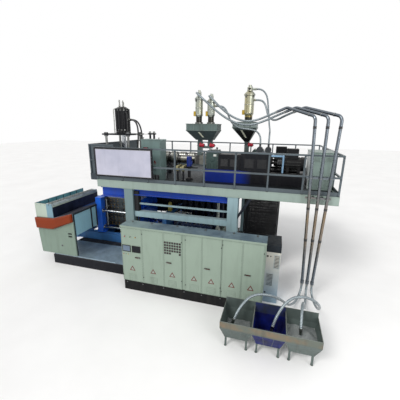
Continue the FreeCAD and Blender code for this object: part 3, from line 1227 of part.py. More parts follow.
# ---------------------------------------------------------------- deck boxes, chiller, mesh
def make_deck_boxes():
    case = span("control_case", S.box_left, S.box_right, S.box_front, S.box_front + S.box_depth,
                S.box_low, S.box_high)
    legs = [span(f"control_leg_{index}", x, x + 60, S.box_front + 20, S.box_front + S.box_depth - 20,
                 S.deck_top, S.box_low)
            for index, x in enumerate((S.box_left + 20, S.box_right - 80))]
    cap = span("control_cap", S.box_left - 12, S.box_right + 12, S.box_front - 12,
               S.box_front + S.box_depth + 12, S.box_high, S.box_high + 16)
    door = span("control_door", S.box_left + S.leaf_inset, S.box_right - S.leaf_inset,
                S.box_front - S.leaf_thick, S.box_front, S.box_low + S.leaf_inset, S.box_high - S.leaf_inset)
    grip = span("control_grip", S.box_left + S.pull_inset, S.box_left + S.pull_inset + S.pull_length,
                S.box_front - S.leaf_thick - S.pull_reach, S.box_front - S.leaf_thick,
                S.box_high - S.pull_drop, S.box_high - S.pull_drop + S.pull_height)
    control = join("control_box", [case, cap, door, grip] + legs)
    case = span("cabinet_case", S.deck_cabinet_left, S.deck_cabinet_right, S.deck_cabinet_front,
                S.deck_cabinet_front + S.deck_cabinet_depth, S.deck_top, S.deck_cabinet_high)
    leaf = (S.deck_cabinet_right - S.deck_cabinet_left - S.leaf_inset * 2 - S.leaf_gap) / 2
    doors = []
    for index in range(2):
        left = S.deck_cabinet_left + S.leaf_inset + (leaf + S.leaf_gap) * index
        doors.append(span(f"cabinet_leaf_{index}", left, left + leaf, S.deck_cabinet_front - S.leaf_thick,
                          S.deck_cabinet_front, S.deck_top + S.leaf_foot,
                          S.deck_cabinet_high - S.leaf_inset * 2))
    keep(group("deck_box_pair", [control, join("cabinet_box", [case] + doors)]), "deck_cabinets")


def make_chiller():
    body = span("chiller_body", S.chiller_left, S.chiller_right, S.chiller_front,
                S.chiller_front + S.chiller_depth, 0, S.chiller_body)
    top = span("chiller_top", S.chiller_left, S.chiller_right, S.chiller_front,
               S.chiller_front + S.chiller_depth, S.chiller_body, S.chiller_high)
    slots = []
    for index in range(9):
        low = 1060 + 40 * index
        slots.append(span(f"chiller_slot_high_{index}", S.chiller_left + 230, S.chiller_right - 30,
                          S.chiller_front - 1, S.chiller_front + 25, low, low + 22))
    for index in range(9):
        low = 520 + 40 * index
        slots.append(span(f"chiller_slot_low_{index}", S.chiller_left + 60, S.chiller_left + 220,
                          S.chiller_front - 1, S.chiller_front + 25, low, low + 22))
    keep(carve("chiller_case", join("chiller_box", [body, top]), slots), "chiller")


def make_mesh_guard():
    side = S.mesh_tube
    y = S.mesh_front
    parts = [span("mesh_post_left", S.mesh_left, S.mesh_left + side, y, y + side, 0, S.mesh_high),
             span("mesh_post_right", S.mesh_right - side, S.mesh_right, y, y + side, 0, S.mesh_high),
             span("mesh_bar_top", S.mesh_left, S.mesh_right, y, y + side, S.mesh_high - side, S.mesh_high),
             span("mesh_bar_mid", S.mesh_left, S.mesh_right, y, y + side, S.mesh_high / 2,
                  S.mesh_high / 2 + side),
             span("mesh_bar_low", S.mesh_left, S.mesh_right, y, y + side, 100, 100 + side)]
    middle = y + side / 2
    half = S.mesh_wire / 2
    uprights = int((float(S.mesh_right) - float(S.mesh_left)) / float(S.mesh_pitch))
    for index in range(1, uprights):
        x = S.mesh_left + S.mesh_pitch * index
        parts.append(span(f"mesh_upright_{index}", x - half, x + half, middle - half, middle + half,
                          100, S.mesh_high - side / 2))
    levels = int((float(S.mesh_high) - 100) / float(S.mesh_pitch))
    for index in range(1, levels):
        z = 100 + S.mesh_pitch * index
        parts.append(span(f"mesh_level_{index}", S.mesh_left + side / 2, S.mesh_right - side / 2,
                          middle - half, middle + half, z - half, z + half))
    return parts


# ---------------------------------------------------------------- granule bins
def make_bins():
    bins = []
    wall = S.bin_wall
    for index in range(3):
        left = S.bin_left + S.bin_width * index
        right = left + S.bin_width
        rim_low = S.bin_front_top - S.bin_lip
        foot = (left + S.bin_taper, right - S.bin_taper, S.bin_front + S.bin_taper * 2,
                S.bin_back - S.bin_taper)
        rim = (left, right, S.bin_front, S.bin_back)
        outer = [frustum(f"bin_{index}_taper", foot, rim, S.bin_low, rim_low),
                 span(f"bin_{index}_lip", *rim, rim_low, S.bin_front_top)]
        small_foot = (foot[0] + wall, foot[1] - wall, foot[2] + wall, foot[3] - wall)
        small_rim = (left + wall, right - wall, S.bin_front + wall, S.bin_back - wall)
        inner = [frustum(f"bin_{index}_taper_in", small_foot, small_rim, S.bin_low + wall, rim_low),
                 span(f"bin_{index}_lip_in", *small_rim, rim_low, S.bin_front_top + 200)]
        back = span(f"bin_{index}_back", left, right, S.bin_back - wall, S.bin_back, S.bin_front_top,
                    S.bin_front_top + 100)
        legs = []
        for side, x in (("left", foot[0]), ("right", foot[1] - S.bin_leg)):
            for end, y in (("front", foot[2]), ("back", foot[3] - S.bin_leg)):
                legs.append(span(f"bin_{index}_leg_{side}_{end}", x, x + S.bin_leg, y, y + S.bin_leg, 0,
                                 S.bin_low + 2))
        hollow = carve(f"bin_{index}_hollow", join(f"bin_{index}_outer", outer), inner)
        bins.append(join(f"bin_{index}", [hollow, back] + legs))
    keep(group("bin_set", bins), "granule_bins")


# ---------------------------------------------------------------- electrical cabinet
UNITS = ((0, 3), (3, 5), (5, 7))
HINGE_LEFT = (True, True, False, True, False, True, False)
WITH_HANDLE = (0, 2, 4, 6)


def door_spans():
    """Left edge and width of each door, from left to right."""
    beside_gap = S.door_narrow - S.unit_gap / 2
    widths = [S.door_wide] * 2 + [S.door_narrow, S.door_small] + [beside_gap] * 2 + [S.door_narrow]
    spans = []
    left = S.cabinet_left
    for index, width in enumerate(widths):
        if index == 3:
            left = left + S.post_width
        if index == 5:
            left = left + S.unit_gap
        spans.append((left, width))
        left = left + width
    return spans


def make_cabinet():
    shell_front = S.cabinet_front + S.door_thick
    back = S.cabinet_front + S.cabinet_depth
    top = S.cabinet_height - S.canopy_thick
    spans = door_spans()
    right = spans[-1][0] + spans[-1][1] + S.side_border
    case = span("case", S.cabinet_left, right, shell_front, back, S.plinth_height, top)
    rooms = []
    for index, (first, last) in enumerate(UNITS):
        left_side = spans[first][0]
        right_side = spans[last - 1][0] + spans[last - 1][1]
        rooms.append(span(f"bay_{index}", left_side + S.shell_wall, right_side - S.shell_wall,
                          shell_front - 1, back - S.shell_wall, S.plinth_height + S.shell_wall,
                          top - S.shell_wall))
    canopy = span("canopy", S.cabinet_left - 6, right + 6, S.cabinet_front - S.canopy_reach, back + 4,
                  top + 2, S.cabinet_height)
    neck = span("canopy_neck", S.cabinet_left + 4, right - 4, shell_front, back - 4, top - 1, top + 3)
    brackets = []
    for index, (left, width) in enumerate(spans):
        brackets += hinge_half(index, left + S.door_gap / 2, left + width - S.door_gap / 2, top, False)
    keep(join("cabinet_whole", [carve("case_hollow", case, rooms), canopy, neck] + brackets), "cabinet_shell")
    plinth = span("plinth", S.cabinet_left + 8, right - 8, S.cabinet_front + S.door_thick, back - 8, 0,
                  S.plinth_height)
    duct = span("cable_duct", S.duct_left, S.duct_left + S.duct_width, back - 9, S.base_front, 0,
                S.duct_height)
    keep(join("plinth_whole", [plinth, duct]), "cabinet_plinth")

    for index, (left, width) in enumerate(spans):
        make_door(index, left + S.door_gap / 2, left + width - S.door_gap / 2, top)


def hinge_half(index, left, right, top, on_leaf):
    """The round knuckles of a door's two hinges: the leaf's upper halves, or the case's lower ones."""
    turn = 1 if HINGE_LEFT[index] else -1
    x = (left if HINGE_LEFT[index] else right) - S.hinge_offset * turn
    y = S.cabinet_front - S.hinge_reach
    inset = 160 if HINGE_LEFT[index] else 250
    parts = []
    for end, middle in (("low", S.plinth_height + inset), ("high", top - inset)):
        label = f"hinge_{index}_{end}_{'leaf' if on_leaf else 'case'}"
        bottom = middle if on_leaf else middle - S.hinge_play - S.hinge_length
        parts.append(rod(f"{label}_knuckle", "Z", x, y, bottom, S.hinge_radius, S.hinge_length))
        if on_leaf:
            reach = x + S.hinge_flap * turn
            left_side, right_side = (x, reach) if HINGE_LEFT[index] else (reach, x)
            parts.append(span(f"{label}_flap", left_side, right_side, S.cabinet_front - S.hinge_flap_thick,
                              S.cabinet_front, bottom, bottom + S.hinge_length))
        else:
            left_side = x - S.hinge_offset if HINGE_LEFT[index] else x + S.hinge_offset - S.hinge_web
            parts.append(span(f"{label}_web", left_side, left_side + S.hinge_web, y,
                              S.cabinet_front + S.door_thick + 1, bottom, bottom + S.hinge_length))
    return parts


def make_door(index, left, right, top):
    """A folded pan door; some carry a swing handle, screens or controllers."""
    low = S.plinth_height + S.door_gap
    high = top - S.door_gap
    front = S.cabinet_front
    back = front + S.door_thick
    slab = span(f"door_{index}_slab", left, right, front, back, low, high)
    recess = span(f"door_{index}_recess", left + S.door_border, right - S.door_border, front + S.door_skin,
                  back + 1, low + S.door_border, high - S.door_border)
    pan = join(f"door_{index}_pan", [carve(f"door_{index}_folded", slab, [recess])]
               + hinge_half(index, left, right, top, True))
    fitted = []
    if index == 0:
        for number, x in enumerate((1530, 1830)):
            fitted.append(span(f"screen_{number}", as_size(x), as_size(x) + 255, front - 12, front,
                               as_size(1230), as_size(1425)))
        for number, x in enumerate((1620, 1790, 1950)):
            fitted.append(rod(f"button_{number}", "Y", x, front - 22, 1685, 15, 22))
        for number in range(4):
            fitted.append(rod(f"lamp_{number}", "Y", 1560 + 70 * number, front - 8, 1150, 10, 8))
    if index == 2:
        for row in range(5):
            for column in range(7):
                if row == 4 and column in (3, 4, 5):
                    continue
                x = S.panel_left + S.panel_pitch_x * column
                z = S.panel_top - S.panel_pitch_z * row
                fitted.append(span(f"controller_{row}{column}", x, x + S.panel_key, front - 8, front, z,
                                   z + S.panel_key))
    if index in WITH_HANDLE:
        x = right - S.handle_inset if HINGE_LEFT[index] else left + S.handle_inset
        fitted.append(rod(f"door_{index}_lock", "Y", x, front - 10, S.handle_height, 16, 10))
        length = S.handle_length
        start = x - length + 25 if HINGE_LEFT[index] else x - 25
        face = front - 10.3
        grip = span(f"door_{index}_grip", start, start + length, face - S.handle_thick, face,
                    S.handle_height - S.handle_width / 2, S.handle_height + S.handle_width / 2)
        keep(grip, f"door_handle_{index + 1}")
    keep(group(f"door_{index}_set", [pan] + fitted), f"cabinet_door_{index + 1}")


# ---------------------------------------------------------------- assembly
make_base()
make_clamp_frame()
make_tie_bars()
for platen_side, platen_sign in (("left", -1), ("right", 1)):
    make_platen(platen_side, platen_sign)
    make_mould(platen_side, platen_sign)
make_clamp_drive()
make_hydraulic_unit()
make_guard()
make_columns()
make_girders()
make_deck_frame()
make_railings()
make_head()
make_extruders()
make_hoppers()
make_loaders()
make_pipes()
make_hoses()
make_pumps()
make_deck_boxes()
make_chiller()
keep(join("mesh_whole", make_mesh_guard()), "mesh_guard")
make_bins()
make_cabinet()

doc.recompute()
broken = [item.Label for item in doc.Objects if "Invalid" in item.State or "Error" in item.State]
if broken:
    raise RuntimeError(f"failed objects: {broken}")
for item in NODES:
    if item.Shape.isNull() or not item.Shape.isValid():
        raise RuntimeError(f"bad shape: {item.Label}")

os.makedirs("parts", exist_ok=True)
for item in NODES:
    item.Shape.exportStep(f"parts/{item.Label}.step")
print(f"{len(NODES)} sub-parts, {sum(len(item.Shape.Solids) for item in NODES)} solids")
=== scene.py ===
import itertools
import math
import bmesh
import bpy
from mathutils import Matrix, Vector

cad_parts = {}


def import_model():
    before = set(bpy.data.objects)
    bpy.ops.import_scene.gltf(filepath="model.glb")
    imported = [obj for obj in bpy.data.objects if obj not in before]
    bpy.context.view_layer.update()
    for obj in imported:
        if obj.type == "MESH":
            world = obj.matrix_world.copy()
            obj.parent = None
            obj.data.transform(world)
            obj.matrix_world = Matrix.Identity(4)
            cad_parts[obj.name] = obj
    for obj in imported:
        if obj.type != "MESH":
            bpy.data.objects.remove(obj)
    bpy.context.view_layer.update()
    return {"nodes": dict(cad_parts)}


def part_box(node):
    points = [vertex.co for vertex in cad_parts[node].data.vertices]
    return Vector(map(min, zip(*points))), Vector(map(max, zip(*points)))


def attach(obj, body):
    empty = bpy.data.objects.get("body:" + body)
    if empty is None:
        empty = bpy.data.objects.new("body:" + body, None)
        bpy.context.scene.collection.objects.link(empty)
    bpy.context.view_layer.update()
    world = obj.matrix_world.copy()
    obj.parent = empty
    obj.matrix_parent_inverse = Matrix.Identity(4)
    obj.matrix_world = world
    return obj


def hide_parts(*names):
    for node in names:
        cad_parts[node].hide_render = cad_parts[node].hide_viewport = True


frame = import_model()
NODES = frame["nodes"]
scene = bpy.context.scene
LEFT, RIGHT, FRONT, BACK, DOWN, UP = (-1, 0, 0), (1, 0, 0), (0, -1, 0), (0, 1, 0), (0, 0, -1), (0, 0, 1)


# ---------------------------------------------------------------- colour and material helpers
def rgb(*parts):
    """Screen colour, 0 to 255, as a linear colour."""
    values = [part / 255 for part in parts]
    return (*(part / 12.92 if part <= 0.04045 else ((part + 0.055) / 1.055) ** 2.4 for part in values), 1.0)


class Finish:
    """A material being built from nodes around one Principled shader."""

    def __init__(self, name):
        self.material = bpy.data.materials.new(name)
        self.material.use_nodes = True
        self.tree = self.material.node_tree
        self.shader = self.tree.nodes["Principled BSDF"]
        place = self.tree.nodes.new("ShaderNodeTexCoord")
        self.place, self.facing, self.uv = (place.outputs[kind] for kind in ("Object", "Normal", "UV"))

    def put(self, socket, value):
        if isinstance(value, bpy.types.NodeSocket):
            self.tree.links.new(value, socket)
        else:
            socket.default_value = value

    def set(self, name, value):
        self.put(self.shader.inputs[name], value)

    def node(self, kind, inputs, **settings):
        """A new node with its settings and inputs; gives back its outputs."""
        node = self.tree.nodes.new(f"ShaderNode{kind}")
        for name, value in settings.items():
            setattr(node, name, value)
        for key, value in inputs.items():
            self.put(node.inputs[key], value)
        return node.outputs

    def noise(self, scale, detail=4.0, roughness=0.55, stretch=(1, 1, 1)):
        place = self.node("Mapping", {"Vector": self.place, "Scale": stretch})["Vector"]
        return self.node("TexNoise",
                         {"Vector": place, "Scale": scale, "Detail": detail, "Roughness": roughness})["Fac"]

    def spread(self, source, low, high, out_low=0.0, out_high=1.0):
        return self.node("MapRange", {"Value": source, "From Min": low, "From Max": high, "To Min": out_low,
                                      "To Max": out_high}, clamp=True)["Result"]

    def mix(self, share, first, second):
        return self.node("Mix", {0: share, 6: first, 7: second}, data_type="RGBA")[2]

    def cloud(self, noise, low, high, first, second, most=1.0):
        """The first colour with clouds of the second one."""
        return self.mix(self.spread(self.noise(*noise), low, high, 0.0, most), first, second)

    def sum(self, kind, first, second):
        return self.node("Math", {0: first, 1: second}, operation=kind)[0]

    def along(self, axis, source=None):
        return self.node("SeparateXYZ", {0: source or self.place})["XYZ".index(axis)]

    def past(self, axis, value, soft=0.002):
        """1 where the place is beyond a value along an axis, 0 before it."""
        return self.spread(self.along(axis), value - soft, value + soft)

    def before(self, axis, value, soft=0.002):
        return self.spread(self.along(axis), value - soft, value + soft, 1.0, 0.0)

    def both(self, *shares):
        result = shares[0]
        for share in shares[1:]:
            result = self.sum("MULTIPLY", result, share)
        return result

    def bump(self, height, strength=0.2, distance=0.002):
        self.set("Normal",
                 self.node("Bump", {"Height": height, "Strength": strength, "Distance": distance})["Normal"])


def darker(colour, share):
    return (*(part * share for part in colour[:3]), 1.0)


def painted(name, colour, rough=0.42, shade=0.86, grime=0.3, dust=0.25, peel=0.12, extra=None, metallic=0.0,
            grime_colour=(0.05, 0.045, 0.04, 1.0)):
    """Sprayed sheet metal: broad shade changes, run-down grime, dust on level faces, orange peel."""
    f = Finish(name)
    deep = darker(colour, shade)
    tint = f.cloud((26, 5), 0.55, 0.8, f.cloud((1.1, 3), 0.35, 0.68, colour, deep), deep, 0.22)
    if extra:
        tint = extra(f, tint)
    tint = f.cloud((7, 5, 0.6, (1, 1, 0.14)), 0.5, 0.78, tint, grime_colour, grime)
    level = f.spread(f.along("Z", f.facing), 0.6, 0.9, 0.0, dust)
    f.set("Base Color", f.mix(f.both(level, f.spread(f.noise(11, 4), 0.3, 0.7)), tint, (0.34, 0.32, 0.29, 1.0)))
    f.set("Metallic", metallic)
    f.set("Specular IOR Level", 0.22)
    f.set("Roughness", f.spread(f.noise(18, 4), 0.3, 0.75, rough - 0.07, rough + 0.16))
    f.bump(f.noise(260, 2), peel, 0.0006)
    return f


def metal(name, colour, rough=0.3, stretch=(1, 1, 30), stain=0.25, stain_colour=(0.06, 0.05, 0.04, 1.0), extra=None,
          metallic=1.0, grain=60):
    """Bare or plated metal with a drawn grain, stains and uneven shine."""
    f = Finish(name)
    lines = f.noise(grain, 3, 0.6, stretch)
    tint = f.mix(f.spread(lines, 0.35, 0.7), colour, darker(colour, 0.72))
    if extra:
        tint = extra(f, tint)
    f.set("Base Color", f.cloud((4.5, 5), 0.52, 0.78, tint, stain_colour, stain))
    f.set("Metallic", metallic)
    f.set("Roughness", f.spread(f.noise(14, 4), 0.3, 0.75, rough - 0.08, rough + 0.18))
    f.bump(lines, 0.1, 0.0006)
    return f


def past(*test):
    return lambda f: f.past(*test)


def before(*test):
    return lambda f: f.before(*test)


def zones(*entries):
    """Repaints parts of a node: each entry is a colour and the tests that a place has to pass."""
    def change(f, tint):
        for colour, *tests in entries:
            tint = f.mix(f.both(*(test(f) for test in tests)), tint, colour)
        return tint
    return change


# ---------------------------------------------------------------- geometry helpers
def spots(xs, ys, zs):
    """Every place that the given values of x, y and z make; each is one number or a list."""
    return itertools.product(*(values if isinstance(values, (tuple, list)) else (values,) for values in (xs, ys, zs)))


def steps(start, pitch, count):
    return [start + pitch * index for index in range(count)]


def circle(count, radius, phase=0.0):
    """Offsets of a bolt circle; the phase is a share of the pitch."""
    angles = [2 * math.pi * (index + phase) / count for index in range(count)]
    return [(radius * math.cos(angle), radius * math.sin(angle)) for angle in angles]


def heading(angle):
    """Level direction at an angle in degrees."""
    angle = math.radians(angle)
    return Vector((math.cos(angle), math.sin(angle), 0))


def across(out):
    return Vector((-out.y, out.x, 0))


def each(maker, bm, places, *rest):
    """Runs one maker at every place."""
    for place in places:
        maker(bm, place, *rest)


def slab(bm, left, right, front, back, low, high):
    """A box between six faces."""
    corners = [bm.verts.new((x, y, z)) for z in (low, high) for y in (front, back) for x in (left, right)]
    for face in ((0, 2, 3, 1), (4, 5, 7, 6), (0, 1, 5, 4), (1, 3, 7, 5), (3, 2, 6, 7), (2, 0, 4, 6)):
        bm.faces.new([corners[index] for index in face])


def slabs(bm, *boxes):
    for box in boxes:
        slab(bm, *box)


def side_slab(bm, turn, first, second, *rest):
    """A box whose X faces lie on the left where turn is -1."""
    slab(bm, *sorted((first * turn, second * turn)), *rest)


def border(bm, left, right, low, high, rim, front, back):
    """Four strips just inside an outline that looks to the front."""
    slabs(bm, (left, right, front, back, low, low + rim), (left, right, front, back, high - rim, high),
          (left, left + rim, front, back, low + rim, high - rim),
          (right - rim, right, front, back, low + rim, high - rim))


def edge_band(bm, box, low, high, out):
    """Four strips laid around the outside of a rectangle."""
    left, right, front, back = box
    slabs(bm, (left - out, right + out, front - out, front, low, high),
          (left - out, right + out, back, back + out, low, high),
          (left - out, left, front, back, low, high), (right, right + out, front, back, low, high))


def turn_to(direction):
    return Vector(direction).to_track_quat("Z", "Y").to_matrix().to_4x4()


def bar(bm, start, end, radius, sides=14):
    """A round bar between two points."""
    start = Vector(start)
    end = Vector(end)
    run = end - start
    bmesh.ops.create_cone(bm, cap_ends=True, segments=sides, radius1=radius, radius2=radius, depth=run.length,
                          matrix=Matrix.Translation((start + end) / 2) @ turn_to(run))


def pipe_run(bm, points, radius, sides=12):
    """Rigid tube through a list of corners, with a ball at each bend."""
    for start, end in zip(points, points[1:]):
        bar(bm, start, end, radius, sides)
    for corner in points[1:-1]:
        bmesh.ops.create_uvsphere(bm, u_segments=sides, v_segments=8, radius=radius * 1.02,
                                  matrix=Matrix.Translation(corner))


def lathe(bm, base, direction, profile, sides=28):
    """A turned skin: profile is (radius, distance along the direction)."""
    place = Matrix.Translation(Vector(base)) @ turn_to(direction)
    rings = [[bm.verts.new(place @ Vector((x, y, distance))) for x, y in circle(sides, radius)]
             for radius, distance in profile]
    for lower, upper in zip(rings, rings[1:]):
        for k in range(sides):
            bm.faces.new((lower[k], lower[(k + 1) % sides], upper[(k + 1) % sides], upper[k]))


def band(bm, base, direction, radius, proud, lip, width, sides=28):
    """A ring round a tube, its edges sloped over the width of the lip."""
    lathe(bm, base, direction, [(radius, 0), (radius + proud, lip), (radius + proud, width - lip), (radius, width)],
          sides)


def cap(bm, base, direction, foot, height, top, shoulder, sides):
    """A low head such as a rivet's: foot and top are radii."""
    lathe(bm, base, direction, [(0, height), (top, shoulder), (foot, 0), (0, 0)], sides)


def hexagon(bm, base, direction, radius, height):
    start = Vector(base)
    bar(bm, start, start + Vector(direction).normalized() * height, radius, 6)


def plate(bm, corners, thickness, direction):
    """A flat polygon thickened along a direction."""
    shift = Vector(direction).normalized() * thickness
    first = [bm.verts.new(corner) for corner in corners]
    second = [bm.verts.new(Vector(corner) + shift) for corner in corners]
    bm.faces.new(first)
    bm.faces.new(list(reversed(second)))
    count = len(corners)
    for k in range(count):
        bm.faces.new((first[k], second[k], second[(k + 1) % count], first[(k + 1) % count]))


def piece(name, bm, material, bevel=0.0, body="root", smooth=True):
    """Turns the working mesh into a piece that rides on a body."""
    bmesh.ops.recalc_face_normals(bm, faces=bm.faces)
    data = bpy.data.meshes.new(name)
    bm.to_mesh(data)
    bm.free()
    data.materials.append(material.material)
    if smooth:
        data.polygons.foreach_set("use_smooth", [True] * len(data.polygons))
        data.set_sharp_from_angle(angle=math.radians(38))
    obj = bpy.data.objects.new(name, data)
    scene.collection.objects.link(obj)
    if bevel:
        edge = obj.modifiers.new("edge", "BEVEL")
        edge.width = bevel
        edge.segments = 2
        edge.limit_method = "ANGLE"
    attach(obj, body)
    return obj


def repaint(finish, *nodes):
    """Gives CAD nodes a better material."""
    for node in nodes:
        for slot in NODES[node].material_slots:
            slot.material = finish.material


# ---------------------------------------------------------------- camera, light, floor
YAW, PITCH, ROLL = -0.278, 0.27, 0.013
forward = Vector((math.sin(YAW) * math.cos(PITCH), math.cos(YAW) * math.cos(PITCH), -math.sin(PITCH)))
level = Vector((math.cos(YAW), -math.sin(YAW), 0))
rise = level.cross(forward)
sideways = level * math.cos(ROLL) + rise * math.sin(ROLL)
upward = -level * math.sin(ROLL) + rise * math.cos(ROLL)
camera_data = bpy.data.cameras.new("camera")
camera_data.lens = 23.91
camera_data.sensor_width = 36
camera_data.clip_end = 200
camera = bpy.data.objects.new("camera", camera_data)
camera.matrix_world = Matrix(((sideways.x, upward.x, -forward.x, 5.49), (sideways.y, upward.y, -forward.y, -8.894),
                              (sideways.z, upward.z, -forward.z, 4.638), (0, 0, 0, 1)))
scene.collection.objects.link(camera)
scene.camera = camera

# the camera and clear reflections see the sky brighter than the diffuse light does
world = bpy.data.worlds.new("world")
world.use_nodes = True
tree = world.node_tree
sky = tree.nodes["Background"]
sky.inputs["Color"].default_value = (1.0, 1.0, 1.0, 1.0)
seen = tree.nodes.new("ShaderNodeLightPath")
seen_share = seen.outputs["Is Camera Ray"]
for kind in ("Is Glossy Ray", "Is Transmission Ray"):
    most = tree.nodes.new("ShaderNodeMath")
    most.operation = "MAXIMUM"
    tree.links.new(seen_share, most.inputs[0])
    tree.links.new(seen.outputs[kind], most.inputs[1])
    seen_share = most.outputs[0]
strength = tree.nodes.new("ShaderNodeMapRange")
tree.links.new(seen_share, strength.inputs["Value"])
strength.inputs["To Min"].default_value = 0.72
strength.inputs["To Max"].default_value = 1.0
tree.links.new(strength.outputs["Result"], sky.inputs["Strength"])
scene.world = world
scene.view_settings.view_transform = "Standard"


def lamp(name, kind, place, target, energy, size, colour=(1, 1, 1)):
    data = bpy.data.lights.new(name, kind)
    data.energy = energy
    data.color = colour
    if kind == "AREA":
        data.shape = "SQUARE"
        data.size = size
    else:
        data.angle = size
    obj = bpy.data.objects.new(name, data)
    obj.matrix_world = Matrix.Translation(Vector(place)) @ turn_to(Vector(place) - Vector(target))
    scene.collection.objects.link(obj)


lamp("sun", "SUN", (-5, -12, 14), (2, 0, 1.5), 1.45, 0.35, (1.0, 0.98, 0.95))
lamp("fill", "AREA", (12, -10, 6), (3, 0, 2), 350, 6)

ground = Finish("floor_pale")
ground.set("Base Color", ground.cloud((0.6, 4), 0.3, 0.7, (0.93, 0.93, 0.93, 1), (0.88, 0.88, 0.88, 1)))
ground.set("Roughness", ground.spread(ground.noise(3, 3), 0.3, 0.7, 0.75, 0.9))
bm = bmesh.new()
slab(bm, -60, 60, -60, 60, -0.02, 0)
floor_data = bpy.data.meshes.new("floor")
bm.to_mesh(floor_data)
bm.free()
floor_data.materials.append(ground.material)
floor = bpy.data.objects.new("floor", floor_data)
scene.collection.objects.link(floor)

# ---------------------------------------------------------------- hoses
clear_hose = Finish("hose_clear")
# The lighter colour on the rib bands is a painted highlight along the ribs.
ribs = clear_hose.node("TexWave", {"Vector": clear_hose.uv, "Scale": 40}, bands_direction="X")["Fac"]
clear_hose.set("Base Color", clear_hose.mix(
    clear_hose.spread(ribs, 0.25, 0.8), clear_hose.cloud((5, 3), 0.35, 0.7, rgb(108, 120, 126), rgb(74, 84, 92)),
    rgb(156, 166, 170)))
clear_hose.set("Roughness", clear_hose.spread(clear_hose.noise(30, 3), 0.3, 0.7, 0.18, 0.34))
clear_hose.set("Metallic", 0.35)
clear_hose.bump(ribs, 0.5, 0.002)

black_hose = Finish("hose_black")
black_hose.set("Base Color", black_hose.cloud((9, 4), 0.4, 0.75, (0.016, 0.016, 0.018, 1), (0.06, 0.06, 0.062, 1)))
black_hose.set("Roughness", black_hose.spread(black_hose.noise(30, 3), 0.3, 0.7, 0.38, 0.6))
black_hose.bump(black_hose.noise(160, 3), 0.3, 0.001)

PORT = 0.1676
LOADER_HOSES = {
    "loader_hose_1": (0.03, 2.617, "object", [
        (5.4, -0.82, 5.065), (5.16, -0.74, 4.965), (4.84, -0.61, 4.835), (4.5, -0.58, 4.8), (4.23, -0.63, 4.87),
        (4.01, -0.73, 4.99), (3.84, -0.84, 5.13), (3.7, -0.91, 5.26), (3.59, -0.925, 5.37), (3.49, -0.88, 5.46),
        (3.42, -0.795, 5.505), (3.39, -0.68, 5.5121), (3.39, -0.4 - PORT, 5.5121)]),
    "loader_hose_2": (0.03, 3.3, "object", [
        (5.63, -0.82, 5.065), (5.39, -0.74, 4.965), (5, -0.64, 4.79), (4.65, -0.61, 4.69), (4.33, -0.65, 4.72),
        (4.04, -0.74, 4.83), (3.8, -0.83, 4.98), (3.59, -0.91, 5.15), (3.39, -0.96, 5.32), (3.23, -0.95, 5.45),
        (3.11, -0.905, 5.545), (3.035, -0.815, 5.598), (3, -0.69, 5.61), (3, -0.4 - PORT, 5.61)]),
    "loader_hose_3": (0.03, 2.14, "object", [
        (5.86, -0.82, 5.065), (5.62, -0.74, 4.965), (5.41, -0.4, 4.86), (5.29, -0.19, 4.85), (5.18, 0.01, 4.91),
        (5.1, 0.18, 5.01), (5.055, 0.3, 5.14), (5.01, 0.375, 5.29), (4.94, 0.4, 5.415), (4.83, 0.4, 5.484),
        (4.676, 0.4, 5.484)]),
    "vacuum_hose_1": (0.026, 2.306, "object", [
        (4.676, 0.4, 5.8146), (4.79, 0.4, 5.8146), (4.905, 0.405, 5.755), (4.995, 0.425, 5.65), (5.045, 0.445, 5.5),
        (5.075, 0.45, 5.32), (5.1, 0.435, 5.13), (5.125, 0.395, 4.95), (5.15, 0.32, 4.79), (5.175, 0.21, 4.66),
        (5.195, 0.06, 4.58), (5.21, -0.11, 4.535), (5.214, -0.245, 4.475), (5.215, -0.335, 4.385),
        (5.215, -0.38, 4.27), (5.215, -0.38, 4.15)]),
    "vacuum_hose_2": (0.026, 2.141, "object", [
        (3.39 + PORT, -0.4, 5.254), (3.69, -0.4, 5.254), (3.795, -0.395, 5.215), (3.87, -0.37, 5.12),
        (3.92, -0.315, 4.995), (3.965, -0.245, 4.865), (4.035, -0.17, 4.745), (4.15, -0.11, 4.655), (4.3, -0.08, 4.6),
        (4.47, -0.085, 4.58), (4.64, -0.13, 4.565), (4.78, -0.205, 4.53), (4.88, -0.285, 4.465), (4.94, -0.35, 4.37),
        (4.965, -0.38, 4.265), (4.965, -0.38, 4.15)]),
}
SUCTION_HOSES = {
    "suction_hose_1": (0.03, 3.537, "tool", [
        (6.46, -1.8, 0.46), (6.46, -1.8, 0.35), (6.44, -1.85, 0.22), (6.38, -2, 0.12), (6.29, -2.23, 0.1),
        (6.18, -2.5, 0.19), (6.06, -2.78, 0.36), (5.95, -3.04, 0.6), (5.83, -3.26, 0.81), (5.64, -3.4, 0.95),
        (5.4, -3.47, 1), (5.18, -3.6, 0.98), (5.02, -3.78, 0.85), (4.91, -3.93, 0.66), (4.86, -4.01, 0.48)]),
    "suction_hose_2": (0.03, 2.909, "tool", [
        (6.59, -1.8, 0.46), (6.59, -1.8, 0.34), (6.585, -1.87, 0.2), (6.565, -2.05, 0.11), (6.54, -2.29, 0.11),
        (6.5, -2.57, 0.21), (6.45, -2.84, 0.39), (6.4, -3.08, 0.62), (6.35, -3.29, 0.84), (6.3, -3.5, 0.97),
        (6.27, -3.72, 0.93), (6.26, -3.9, 0.76), (6.26, -4, 0.56)]),
    "suction_hose_3": (0.03, 3.635, "tool", [
        (6.72, -1.8, 0.46), (6.72, -1.8, 0.35), (6.73, -1.87, 0.21), (6.76, -2.05, 0.13), (6.79, -2.29, 0.14),
        (6.8, -2.57, 0.25), (6.78, -2.84, 0.44), (6.73, -3.1, 0.68), (6.64, -3.33, 0.9), (6.5, -3.48, 1.08),
        (6.31, -3.57, 1.18), (6.1, -3.63, 1.17), (5.92, -3.72, 1.04), (5.8, -3.83, 0.85), (5.72, -3.93, 0.65),
        (5.68, -4, 0.48)]),
}
